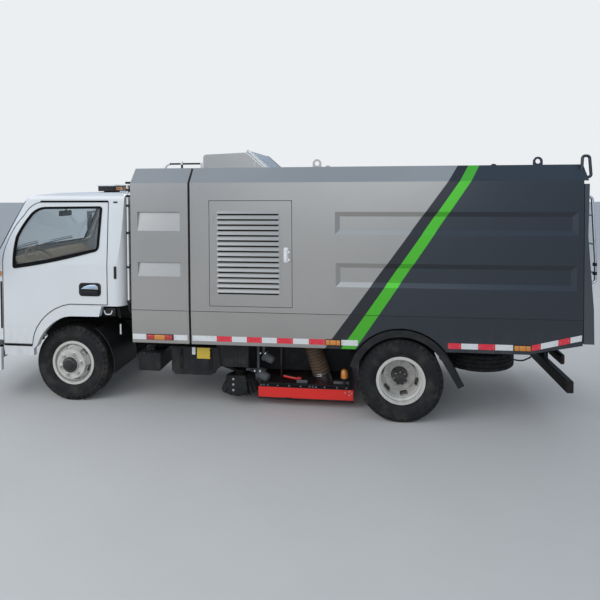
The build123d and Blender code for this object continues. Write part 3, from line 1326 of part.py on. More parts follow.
with BuildPart() as cab_front:
    add(portion(cab_skin, (CAB_BELT_SPLIT_X, -FAR, 400), (4500, FAR, COWL_Z)))
    with BuildSketch(cross(4100)):
        with Locations((0, GRILLE[2])):
            RectangleRounded(GRILLE[0], GRILLE[1], 30)
    extrude(amount=300, mode=Mode.SUBTRACT)
save(cab_front.part, "cab_front")

with BuildPart() as grille:
    add(cab_skin)
    with BuildSketch(cross(4100)):
        with Locations((0, GRILLE[2])):
            RectangleRounded(GRILLE[0], GRILLE[1], 30)
    extrude(amount=300, mode=Mode.INTERSECT)
    with BuildSketch(cross(4100)):
        with Locations((0, GRILLE[2])):
            with GridLocations(0, 38, 1, GRILLE_SLOTS):
                Rectangle(GRILLE[0] - 80, 20)
    extrude(amount=300, mode=Mode.SUBTRACT)
save(grille.part, "grille")

with BuildPart() as cab_sides:
    add(portion(cab_skin, (CAB_BACK_SPLIT_X, -FAR, 400), (4500, FAR, CAB_ROOF_SPLIT_Z)))
    with BuildSketch(deck(400)):
        with Locations((CAB_BELT_SPLIT_X + 500, 0)):
            Rectangle(1000, 2400)
    extrude(amount=COWL_Z - 400, mode=Mode.SUBTRACT)
    add(screen_prism(), mode=Mode.SUBTRACT)
    add(door_hole, mode=Mode.SUBTRACT)
    add(mirrored(door_hole), mode=Mode.SUBTRACT)
    for outboard in (1, -1):
        with BuildSketch(side(915 + 30 * outboard if outboard > 0 else -(CAB_HALF_WIDTH - CAB_WALL))):
            add(traced((*FLARE_OUTER, *FLARE_INNER)))
        extrude(amount=60)
save(cab_sides.part, "cab_sides")

with BuildPart() as cab_glass:
    add(glass_skin)
    add(screen_prism(), mode=Mode.INTERSECT)
with BuildPart() as back_glass:
    add(glass_skin)
    add(back_window_prism(), mode=Mode.INTERSECT)
with BuildPart() as cab_windows:
    add(cab_glass.part)
    add(back_glass.part)
save(cab_windows.part, "cab_windows")

with BuildPart() as door:
    add(cab_skin)
    add(door_prism, mode=Mode.INTERSECT)
    add(window_prism, mode=Mode.SUBTRACT)
save(door.part, "door_left")
save(mirrored(door.part), "door_right")

with BuildPart() as door_window:
    add(glass_skin)
    add(window_prism, mode=Mode.INTERSECT)
save(door_window.part, "door_window_left")
save(mirrored(door_window.part), "door_window_right")

# Cab floor with the engine's tunnel, step wells and pivot lugs
FLOOR_SIDE_Y = CAB_HALF_WIDTH - CAB_WALL - 7
TUNNEL = (300, 1100, 30)
with BuildPart() as cab_floor:
    with BuildSketch(side(CAB_HALF_WIDTH)):
        Polygon(
            (2700, CAB_FLOOR_Z), (3420, CAB_FLOOR_Z), (3700, FOOT_FLOOR_Z), (4300, FOOT_FLOOR_Z),
            (4300, FOOT_FLOOR_Z + 40), (3718, FOOT_FLOOR_Z + 40), (3438, CAB_FLOOR_Z + 40),
            (2700, CAB_FLOOR_Z + 40), align=None,
        )
    extrude(amount=2 * CAB_HALF_WIDTH)
    with BuildSketch(deck(CAB_FLOOR_Z)):
        with Locations(((2700 + 3520) / 2, 0)):
            Rectangle(820, 2 * (TUNNEL[0] + TUNNEL[2]))
    extrude(amount=TUNNEL[1] + TUNNEL[2] - CAB_FLOOR_Z)
    with BuildSketch(deck(900)):
        with Locations(((2700 + 3490) / 2, 0)):
            Rectangle(790, 2 * TUNNEL[0])
    extrude(amount=TUNNEL[1] - 900, mode=Mode.SUBTRACT)
    add(cab_form(CAB_WALL), mode=Mode.INTERSECT)
    with BuildSketch(deck(400)):
        with Locations((3500, 0)):
            Rectangle(1800, 2 * FLOOR_SIDE_Y)
    extrude(amount=1000, mode=Mode.INTERSECT)
    for outboard in (1, -1):
        tread_y = (600 + CAB_HALF_WIDTH - CAB_WALL) / 2 * outboard
        with BuildSketch(deck(560)):
            with Locations((3855, tread_y)):
                Rectangle(200, CAB_HALF_WIDTH - CAB_WALL - 600)
        extrude(amount=38)
        with BuildSketch(deck(560)):
            with Locations((3855, 612 * outboard)):
                Rectangle(200, 24)
        extrude(amount=FOOT_FLOOR_Z - 560)
        with BuildSketch(side(422 * outboard + 12)):
            Polygon((4060, 765), (4180, 765), (4184, 690), (4150, 662), (4116, 690), align=None)
            with Locations(CAB_PIVOT):
                Circle(CAB_PIVOT_RADIUS + RUNNING_CLEARANCE, mode=Mode.SUBTRACT)
        extrude(amount=24)
save(cab_floor.part, "cab_floor")

SEAT_Y = 600
with BuildPart() as seats:
    for outboard in (1, -1):
        with BuildSketch(side(SEAT_Y * outboard + 230)):
            Polygon(
                (3000, 1052), (3480, 1052), (3500, 1200), (3470, 1225), (3060, 1190), (3000, 1190), align=None,
            )
        extrude(amount=460)
        with BuildSketch(side(SEAT_Y * outboard + 225)):
            Polygon(
                (2960, 1150), (3060, 1190), (2950, 1640), (2935, 1860), (2845, 1860), (2840, 1640), align=None,
            )
        extrude(amount=450)
save(seats.part, "seats")

STEER_WHEEL = (3745, 1405)
STEER_LEAN = 40
with BuildPart() as dashboard:
    with BuildSketch(side(700)):
        Polygon(
            (4142, 1100), (3960, 1120), (3900, 1230), (3945, 1380), (4040, 1440), (4142, 1440), align=None,
        )
    extrude(amount=1400)
    column = Vector(cos(radians(STEER_LEAN + 5)), 0, -sin(radians(STEER_LEAN + 5)))
    hub_place = Vector(REAR_AXLE_X + STEER_WHEEL[0], SEAT_Y, STEER_WHEEL[1])
    with BuildSketch(Plane(origin=hub_place, z_dir=column)):
        Circle(34)
    extrude(amount=280)
    with BuildSketch(Plane(origin=hub_place, x_dir=(0, 1, 0), z_dir=column)):
        Circle(215)
        Circle(190, mode=Mode.SUBTRACT)
        for spoke in (0, 120, 240):
            with Locations(Location((0, 0, 0), (0, 0, 90 + spoke))):
                with Locations((100, 0)):
                    Rectangle(200, 30)
    extrude(amount=22)
save(dashboard.part, "dashboard")

with BuildPart() as mirrors:
    for outboard in (1, -1):
        with BuildSketch(deck(1480)):
            with Locations((4120, 1085 * outboard)):
                RectangleRounded(70, 190, 20)
        extrude(amount=380)
        with BuildLine() as arm_path:
            FilletPolyline(
                (REAR_AXLE_X + 4104, 880.5 * outboard, 1400), (REAR_AXLE_X + 4166, 958 * outboard, 1400),
                (REAR_AXLE_X + 4120, 1085 * outboard, 1410), (REAR_AXLE_X + 4120, 1085 * outboard, 1500),
                radius=20,
            )
        with BuildSketch(Plane(origin=arm_path.line @ 0, z_dir=arm_path.line % 0)):
            Circle(13)
        sweep()
save(mirrors.part, "mirrors")
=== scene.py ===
"""Looks of a compact suction street sweeper truck, dressed around its packed construction.

Lengths are metres. X points forward, Y to the truck's left, Z up, with the ground at zero. Stations
along the truck are given forward from the rear axle, as on a chassis drawing, and moved into the
frame by Layout.
"""
import json
import logging
import math
import random
from dataclasses import dataclass
from enum import Enum
from typing import Iterable, Optional, Sequence

import bmesh
import bpy
from mathutils import Matrix, Vector
from mathutils.bvhtree import BVHTree

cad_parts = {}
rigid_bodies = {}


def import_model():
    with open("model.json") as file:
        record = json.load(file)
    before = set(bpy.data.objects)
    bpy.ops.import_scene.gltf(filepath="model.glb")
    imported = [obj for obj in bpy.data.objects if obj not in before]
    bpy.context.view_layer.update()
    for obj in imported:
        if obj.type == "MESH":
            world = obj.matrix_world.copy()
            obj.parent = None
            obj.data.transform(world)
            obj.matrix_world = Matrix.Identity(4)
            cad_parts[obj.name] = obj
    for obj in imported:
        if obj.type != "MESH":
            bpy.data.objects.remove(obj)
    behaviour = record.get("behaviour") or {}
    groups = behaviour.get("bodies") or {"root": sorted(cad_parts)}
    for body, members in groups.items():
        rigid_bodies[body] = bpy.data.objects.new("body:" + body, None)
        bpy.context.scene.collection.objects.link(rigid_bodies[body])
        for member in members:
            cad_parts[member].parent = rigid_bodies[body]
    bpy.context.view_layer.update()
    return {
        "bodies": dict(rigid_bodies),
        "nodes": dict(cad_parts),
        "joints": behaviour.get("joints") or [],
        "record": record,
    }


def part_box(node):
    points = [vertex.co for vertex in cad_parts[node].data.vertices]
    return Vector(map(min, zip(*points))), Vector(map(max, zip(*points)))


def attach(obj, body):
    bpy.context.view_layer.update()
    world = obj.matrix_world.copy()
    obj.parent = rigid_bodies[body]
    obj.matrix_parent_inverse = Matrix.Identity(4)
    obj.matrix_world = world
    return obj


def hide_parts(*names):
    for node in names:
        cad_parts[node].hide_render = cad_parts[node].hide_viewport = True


LOG = logging.getLogger("sweeper")
Point = Sequence[float]
Colour = tuple[float, float, float]
Profile = tuple[tuple[float, float], ...]
Strip = tuple[float, float, str]
DUST: Colour = (0.30, 0.26, 0.21)
SILVER: Colour = (0.62, 0.61, 0.57)
BODY_GREY: Colour = (0.40, 0.38, 0.355)
SLATE: Colour = (0.045, 0.052, 0.062)
SAFETY_RED: Colour = (0.78, 0.022, 0.014)
SIDES = (("left", 1), ("right", -1))


@dataclass(frozen=True)
class Layout:
    """Driving places of the truck, read from the frame."""

    rear_axle_x: float
    wheelbase: float
    tyre_radius: float

    @classmethod
    def from_frame(cls) -> "Layout":
        """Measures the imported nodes.

        Returns:
            The layout that every sub-assembly is placed by.
        """
        rear_low, rear_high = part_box("rear_tyres_left")
        front_low, front_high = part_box("front_tyre_left")
        rear_x = (rear_low.x + rear_high.x) / 2
        return cls(
            rear_axle_x=rear_x,
            wheelbase=(front_low.x + front_high.x) / 2 - rear_x,
            tyre_radius=(rear_high.z - rear_low.z) / 2,
        )

    def at(self, station: float, y: float, z: float) -> Vector:
        """Turns a station forward from the rear axle into a point of the frame."""
        return Vector((self.rear_axle_x + station, y, z))


class Axis(Enum):
    """Direction that a round or flat form faces."""

    X = (1.0, 0.0, 0.0)
    Y = (0.0, 1.0, 0.0)
    Z = (0.0, 0.0, 1.0)

    @property
    def vector(self) -> Vector:
        """The unit vector of the direction."""
        return Vector(self.value)


class NodeSheet:
    """Lays out the shader nodes of one material."""

    def __init__(self, name: str) -> None:
        """Starts a material with an empty principled shader.

        Args:
            name: The finish's plain name.
        """
        self.material = bpy.data.materials.new(name)
        self.material.use_nodes = True
        self.tree = self.material.node_tree
        self.shader = self.tree.nodes["Principled BSDF"]
        self._place: Optional[bpy.types.NodeSocket] = None

    def node(self, kind: str, **settings: object) -> bpy.types.Node:
        """Adds a node.

        Args:
            kind: Blender's node type.
            settings: Properties of the node.

        Returns:
            The new node.
        """
        made = self.tree.nodes.new(kind)
        for key, value in settings.items():
            setattr(made, key, value)
        return made

    def put(self, socket: bpy.types.NodeSocket, value: object) -> None:
        """Links a socket to another socket, or gives it a plain value.

        Args:
            socket: The socket.
            value: A socket or a plain value.
        """
        if isinstance(value, bpy.types.NodeSocket):
            self.tree.links.new(value, socket)
        elif isinstance(value, tuple) and len(value) == 3 and socket.type == "RGBA":
            socket.default_value = (*value, 1.0)
        else:
            socket.default_value = value

    def fed(self, node: bpy.types.Node, **sockets: object) -> bpy.types.NodeSocket:
        """Fills a node's sockets; an underscore in a name stands for a space.

        Args:
            node: The node.
            sockets: What each of its inputs gets.

        Returns:
            The node's first output.
        """
        for key, value in sockets.items():
            self.put(node.inputs[key.replace("_", " ")], value)
        return node.outputs[0]

    def shade(self, **sockets: object) -> None:
        """Fills sockets of the principled shader."""
        self.fed(self.shader, **sockets)

    @property
    def place(self) -> bpy.types.NodeSocket:
        """The object coordinates, shared by the material's patterns.

        Returns:
            The coordinates' socket.
        """
        if self._place is None:
            self._place = self.node("ShaderNodeTexCoord").outputs["Object"]
        return self._place

    def parts(self, vector: bpy.types.NodeSocket) -> tuple:
        """The three parts of a vector as sockets.

        Args:
            vector: The vector.

        Returns:
            The x, y and z sockets.
        """
        split = self.node("ShaderNodeSeparateXYZ")
        self.put(split.inputs[0], vector)
        return tuple(split.outputs)

    def math(self, operation: str, a: object, b: object = 0.0, clamp: bool = False) -> bpy.types.NodeSocket:
        """One arithmetic step on two values or sockets.

        Args:
            operation: The step, by its name in Blender.
            a: First value or socket.
            b: Second value or socket.
            clamp: Whether the result stays between zero and one.

        Returns:
            The socket of the result.
        """
        step = self.node("ShaderNodeMath", operation=operation, use_clamp=clamp)
        self.put(step.inputs[0], a)
        self.put(step.inputs[1], b)
        return step.outputs[0]

    def noise(self, scale: float, detail: float = 3.0, stretch: Point = (1, 1, 1), rough: float = 0.5
              ) -> bpy.types.NodeSocket:
        """Cloudy noise from zero to one on the object coordinates, stretched where it has a direction.

        Args:
            scale: How fine the pattern is.
            detail: Layers of the pattern.
            stretch: Scale along each axis.
            rough: Strength of its fine layers.

        Returns:
            The socket of the result.
        """
        place = self.fed(self.node("ShaderNodeMapping"), Vector=self.place, Scale=stretch)
        return self.fed(self.node("ShaderNodeTexNoise"), Vector=place, Scale=scale, Detail=detail,
                        Roughness=rough)

    def ramp(self, value: object, low: float, high: float, out: Point = (0.0, 1.0)) -> bpy.types.NodeSocket:
        """Maps a value smoothly from one range to another, clamped."""
        made = self.node("ShaderNodeMapRange", interpolation_type="SMOOTHSTEP")
        return self.fed(made, Value=value, From_Min=low, From_Max=high, To_Min=out[0], To_Max=out[1])

    def mix(self, factor: object, a: object, b: object) -> bpy.types.NodeSocket:
        """Mixes two colours.

        Args:
            factor: Share of the second colour.
            a: First colour.
            b: Second colour.

        Returns:
            The socket of the result.
        """
        made = self.node("ShaderNodeMix", data_type="RGBA")
        for index, value in ((0, factor), (6, a), (7, b)):
            self.put(made.inputs[index], value)
        return made.outputs[2]

    def bump(self, height: object, strength: float, distance: float,
             **under: object) -> bpy.types.NodeSocket:
        """Turns a height into a normal, on top of another Normal if one is given."""
        return self.fed(self.node("ShaderNodeBump"), Strength=strength, Distance=distance, Height=height,
                        **under)


def dimmed(colour: Colour, share: float) -> Colour:
    """A colour at a share of its brightness."""
    return tuple(share * part for part in colour)




@dataclass(frozen=True)
class Paint:
    """Sprayed vehicle paint with a clear coat, fine orange peel and road dust low down."""

    name: str
    colour: Colour
    roughness: float = 0.28
    coat: float = 0.6
    dust_height: float = 0.95
    dust: float = 0.35
    metallic: float = 0.0
    shine: float = 0.5

    def tint(self, sheet: NodeSheet) -> object:
        """The clean paint's colour; a livery overrides it."""
        cloud = sheet.noise(0.9, 2.0)
        return sheet.mix(sheet.ramp(cloud, 0.35, 0.65), self.colour, dimmed(self.colour, 0.93))

    def material(self) -> bpy.types.Material:
        """Builds the node material.

        Returns:
            The material.
        """
        sheet = NodeSheet(self.name)
        low = sheet.ramp(sheet.parts(sheet.place)[2], 0.35, self.dust_height, (1.0, 0.0))
        streaks = sheet.noise(14.0, 6.0, (1.0, 1.0, 0.35), 0.65)
        film = sheet.math("MULTIPLY", low, sheet.ramp(streaks, 0.30, 0.75))
        film = sheet.math("MULTIPLY", film, self.dust, clamp=True)
        sheet.shade(
            Base_Color=sheet.mix(film, self.tint(sheet), DUST),
            Roughness=sheet.math("ADD", self.roughness, sheet.math("MULTIPLY", film, 0.5), clamp=True),
            Metallic=self.metallic,
            Specular_IOR_Level=self.shine,
            Coat_Weight=self.coat,
            Coat_Roughness=0.12,
            Normal=sheet.bump(sheet.noise(260.0, 2.0), 0.06, 0.001, Normal=sheet.bump(
                sheet.noise(2.2, 1.0), 0.10, 0.02)),
        )
        return sheet.material


@dataclass(frozen=True)
class SlashLine:
    """A straight edge of the livery on the body's side, through two points of station and height."""

    low: tuple[float, float]
    high: tuple[float, float]

    @property
    def slope(self) -> float:
        """Change of station for each metre of height."""
        return (self.high[0] - self.low[0]) / (self.high[1] - self.low[1])


@dataclass(frozen=True)
class LiveryPaint(Paint):
    """Grey body paint that changes to dark slate behind a slanted dark and green band."""

    origin_x: float = 0.0
    dark: Colour = (0.035, 0.036, 0.042)
    green: Colour = (0.09, 0.52, 0.035)
    grey_edge: SlashLine = SlashLine((0.63, 0.774), (-0.424, 2.235))
    green_front: SlashLine = SlashLine((0.54, 0.69), (-0.52, 2.23))
    green_rear: SlashLine = SlashLine((0.41, 0.69), (-0.62, 2.23))

    def behind(self, sheet: NodeSheet, edge: SlashLine) -> bpy.types.NodeSocket:
        """One behind a slanted edge, zero in front of it.

        Args:
            sheet: The material's node sheet.
            edge: The slanted edge.

        Returns:
            The mask's socket.
        """
        x, _, z = sheet.parts(sheet.place)
        rise = sheet.math("MULTIPLY", sheet.math("SUBTRACT", z, edge.low[1]), edge.slope)
        line = sheet.math("ADD", rise, self.origin_x + edge.low[0])
        return sheet.ramp(sheet.math("SUBTRACT", line, x), -0.0015, 0.0015)

    def tint(self, sheet: NodeSheet) -> object:
        """Grey, dark band, green band and slate, from front to rear.

        Args:
            sheet: The material's node sheet.

        Returns:
            The colour, or the socket that gives it.
        """
        base = super().tint(sheet)
        banded = sheet.mix(self.behind(sheet, self.grey_edge), base, self.dark)
        banded = sheet.mix(self.behind(sheet, self.green_front), banded, self.green)
        return sheet.mix(self.behind(sheet, self.green_rear), banded, SLATE)


@dataclass(frozen=True)
class WheelPaint(Paint):
    """Silver wheel enamel, with the hub at its middle left black and greasy."""

    axle_x: float = 0.0
    axle_z: float = 0.3875
    hub_radius: float = 0.0785
    hub_colour: Colour = (0.018, 0.018, 0.018)
    brake_dust: Colour = (0.16, 0.13, 0.10)

    def tint(self, sheet: NodeSheet) -> object:
        """Silver with brown brake dust round the studs, and the black hub.

        Args:
            sheet: The material's node sheet.

        Returns:
            The colour, or the socket that gives it.
        """
        x, _, z = sheet.parts(sheet.place)
        across = sheet.math("SUBTRACT", x, self.axle_x)
        high = sheet.math("SUBTRACT", z, self.axle_z)
        square = sheet.math("ADD", sheet.math("MULTIPLY", across, across),
                            sheet.math("MULTIPLY", high, high))
        radius = sheet.math("SQRT", square)
        near = sheet.ramp(radius, 0.09, 0.19, (0.42, 0.02))
        dusty = sheet.mix(
            sheet.math("MULTIPLY", near, sheet.ramp(sheet.noise(22.0, 5.0), 0.3, 0.7)),
            super().tint(sheet), self.brake_dust,
        )
        return sheet.mix(sheet.ramp(radius, self.hub_radius, self.hub_radius + 0.001, (1.0, 0.0)), dusty,
                         self.hub_colour)


@dataclass(frozen=True)
class ShieldPaint(Paint):
    """Red paint whose upward faces are painted dark: swept dirt, and painted shade where the body above
    shades them.
    """

    # Dark colour for swept dirt and for painted shade on faces under the body.
    dirt_and_shade: Colour = (0.030, 0.018, 0.016)
    red_top: float = 9.0

    def tint(self, sheet: NodeSheet) -> object:
        """Red on upright faces; dark on level ones and above the paint's upper edge, for dirt and painted
        shade.

        Args:
            sheet: The material's node sheet.

        Returns:
            The colour, or the socket that gives it.
        """
        # Level faces and everything above red_top take the dark colour: swept dirt and painted shade under
        # the body.
        facing = sheet.node("ShaderNodeTexCoord").outputs["Normal"]
        level = sheet.ramp(sheet.parts(facing)[2], 0.45, 0.75)
        above = sheet.ramp(sheet.parts(sheet.place)[2], self.red_top, self.red_top + 0.001)
        return sheet.mix(sheet.math("MAXIMUM", level, above), super().tint(sheet), self.dirt_and_shade)


@dataclass(frozen=True)
class Moulded:
    """Plastic or rubber with a fine grain and dust that settles in it."""

    name: str
    colour: Colour
    roughness: float = 0.55
    grain: float = 900.0
    depth: float = 0.25
    dust: float = 0.25
    shine: float = 0.25

    def material(self) -> bpy.types.Material:
        """Builds the node material.

        Returns:
            The material.
        """
        sheet = NodeSheet(self.name)
        patch = sheet.ramp(sheet.noise(9.0, 5.0, rough=0.6), 0.42, 0.72)
        film = sheet.math("MULTIPLY", patch, self.dust)
        sheet.shade(
            Base_Color=sheet.mix(film, self.colour, dimmed(DUST, 0.5)),
            Roughness=sheet.math("ADD", self.roughness, sheet.math("MULTIPLY", film, 0.6), clamp=True),
            Specular_IOR_Level=self.shine,
            Normal=sheet.bump(sheet.noise(self.grain, 2.0), self.depth, 0.0006),
        )
        return sheet.material


@dataclass(frozen=True)
class Metal:
    """Bare, plated or thinly painted metal with rubbed patches."""

    name: str
    colour: Colour
    roughness: float = 0.35
    metallic: float = 1.0
    rub: float = 0.2
    grime: float = 0.3

    def material(self) -> bpy.types.Material:
        """Builds the node material.

        Returns:
            The material.
        """
        sheet = NodeSheet(self.name)
        patch = sheet.ramp(sheet.noise(11.0, 6.0, rough=0.62), 0.46, 0.74)
        film = sheet.math("MULTIPLY", patch, self.grime)
        fine = sheet.noise(240.0, 2.0, (1, 1, 6))
        rubbed = sheet.math("MULTIPLY", sheet.math("SUBTRACT", fine, 0.5), self.rub)
        sheet.shade(
            Base_Color=sheet.mix(film, self.colour, dimmed(DUST, 0.55)),
            Metallic=self.metallic,
            Roughness=sheet.math("ADD", self.roughness, rubbed, clamp=True),
            Normal=sheet.bump(fine, 0.12, 0.0005),
        )
        return sheet.material


@dataclass(frozen=True)
class Glazing:
    """Clear tinted glass."""

    name: str
    colour: Colour
    roughness: float = 0.02

    def material(self) -> bpy.types.Material:
        """Builds the node material.

        Returns:
            The material.
        """
        sheet = NodeSheet(self.name)
        sheet.shade(
            Base_Color=self.colour,
            Roughness=self.roughness,
            IOR=1.45,
            Transmission_Weight=1.0,
            Normal=sheet.bump(sheet.noise(1.7, 1.0), 0.02, 0.01),
        )
        return sheet.material


@dataclass(frozen=True)
class Lens:
    """Coloured lamp lens with fine ribs over a bright reflector."""

    name: str
    colour: Colour
    rib: float = 160.0

    def material(self) -> bpy.types.Material:
        """Builds the node material.

        Returns:
            The material.
        """
        sheet = NodeSheet(self.name)
        ribs = sheet.node("ShaderNodeTexWave", wave_type="BANDS", bands_direction="X")
        sheet.fed(ribs, Vector=sheet.place, Scale=self.rib)
        sheet.shade(
            Base_Color=sheet.mix(ribs.outputs["Fac"], self.colour, dimmed(self.colour, 0.55)),
            Roughness=0.12,
            Coat_Weight=0.8,
            Specular_IOR_Level=0.7,
            Normal=sheet.bump(ribs.outputs["Fac"], 0.35, 0.001),
        )
        return sheet.material


@dataclass(frozen=True)
class Sheeting:
    """Reflective sheeting with a fine honeycomb of cells."""

    name: str
    colour: Colour

    def material(self) -> bpy.types.Material:
        """Builds the node material.

        Returns:
            The material.
        """
        sheet = NodeSheet(self.name)
        cells = sheet.node("ShaderNodeTexVoronoi", feature="DISTANCE_TO_EDGE")
        sheet.fed(cells, Vector=sheet.place, Scale=260.0)
        wall = sheet.ramp(cells.outputs["Distance"], 0.02, 0.10)
        soiled = sheet.mix(sheet.ramp(sheet.noise(16.0, 5.0), 0.5, 0.8, (0.0, 0.3)), self.colour, DUST)
        sheet.shade(
            Base_Color=sheet.mix(wall, dimmed(self.colour, 0.8), soiled),
            Roughness=0.3,
            Coat_Weight=0.5,
            Normal=sheet.bump(wall, 0.15, 0.0004),
        )
        return sheet.material


class Palette:
    """Every finish of the truck, built once and looked up by name."""

    def __init__(self, layout: Layout) -> None:
        """Builds the materials.

        Args:
            layout: Places the livery's slanted bands.
        """
        body = {"roughness": 0.34, "coat": 0.10, "metallic": 0.62}
        red = {"roughness": 0.4, "coat": 0.2, "dust_height": 0.3, "dust": 0.3}
        wheel = {"roughness": 0.4, "coat": 0.2}
        black = {"roughness": 0.6, "coat": 0.0, "dust_height": 1.2, "dust": 0.06, "shine": 0.2}
        front = layout.rear_axle_x + layout.wheelbase
        finishes = (
            Paint("cab_paint", (0.66, 0.68, 0.69), coat=0.45),
            Paint("cabinet_paint", BODY_GREY, **body),
            LiveryPaint("hopper_paint", BODY_GREY, origin_x=layout.rear_axle_x, **body),
            Paint("slate_paint", SLATE),
            ShieldPaint("red_paint", SAFETY_RED, **red),
            ShieldPaint("hood_paint", SAFETY_RED, red_top=0.2005, **red),
            Paint("chassis_paint", (0.007, 0.006, 0.006), **black),
            WheelPaint("rear_wheel_paint", SILVER, axle_x=layout.rear_axle_x, **wheel),
            WheelPaint("front_wheel_paint", SILVER, axle_x=front, **wheel),
            Moulded("tyre_rubber", (0.013, 0.013, 0.014), roughness=0.74, dust=0.20),
            Moulded("skirt_rubber", (0.011, 0.011, 0.011), roughness=0.62, dust=0.12),
            Moulded("seal_rubber", (0.004, 0.004, 0.004), roughness=0.65, dust=0.0, shine=0.1),
            Moulded("black_plastic", (0.013, 0.013, 0.014), roughness=0.5, dust=0.12),
            Moulded("tan_plastic", (0.36, 0.29, 0.20), roughness=0.6, grain=500.0, dust=0.05),
            Moulded("grey_plastic", (0.14, 0.145, 0.15), roughness=0.6, dust=0.1),
            Moulded("hose_rubber", (0.12, 0.075, 0.045), roughness=0.55, dust=0.4),
            Moulded("bristle_plastic", (0.02, 0.02, 0.022), roughness=0.6),
            Moulded("seat_fabric", (0.035, 0.045, 0.065), roughness=0.9, grain=600.0, depth=0.5, dust=0.05),
            Metal("cast_iron", (0.030, 0.027, 0.025), roughness=0.65, metallic=0.3),
            Metal("bright_steel", (0.62, 0.62, 0.63), roughness=0.32),
            Metal("chrome", (0.80, 0.80, 0.82), roughness=0.08, grime=0.05, rub=0.05),
            Glazing("window_glass", (0.94, 0.98, 0.985)),
            Lens("amber_lens", (0.85, 0.30, 0.02)),
            Lens("red_lens", (0.60, 0.015, 0.015)),
            Lens("clear_lens", (0.75, 0.78, 0.80)),
            Sheeting("white_tape", (0.74, 0.76, 0.76)),
            Sheeting("red_tape", (0.78, 0.022, 0.045)),
            Sheeting("yellow_tape", (0.72, 0.43, 0.02)),
            Paint("white_gloss", (0.78, 0.79, 0.79), roughness=0.35, coat=0.3),
            Paint("yellow_plate", (0.72, 0.50, 0.03), roughness=0.45, coat=0.1),
        )
        self._materials = {finish.name: finish.material() for finish in finishes}

    def __getitem__(self, name: str) -> bpy.types.Material:
        """The material of a finish by its name."""
        return self._materials[name]


# Finish of each record slot's nodes
SLOT_FINISH = {
    "tyre": "tyre_rubber", "rim": "rear_wheel_paint", "chassis": "chassis_paint", "cab_paint": "cab_paint",
    "body_paint": "cabinet_paint", "slate_paint": "slate_paint", "red_paint": "red_paint",
    "black_plastic": "black_plastic", "grey_plastic": "grey_plastic", "lamp": "amber_lens",
    "glass": "window_glass", "iron": "cast_iron", "skirt_rubber": "skirt_rubber", "hose": "hose_rubber",
    "bristle": "bristle_plastic", "seat": "seat_fabric", "bright": "bright_steel",
}
NODE_FINISH = {
    "hopper_sides": "hopper_paint", "hopper_roof": "hopper_paint", "front_rim_left": "front_wheel_paint",
    "front_rim_right": "front_wheel_paint", "nozzle_hood": "hood_paint", "dashboard": "tan_plastic",
    "brush_arm_left": "chassis_paint", "brush_arm_right": "chassis_paint",
}


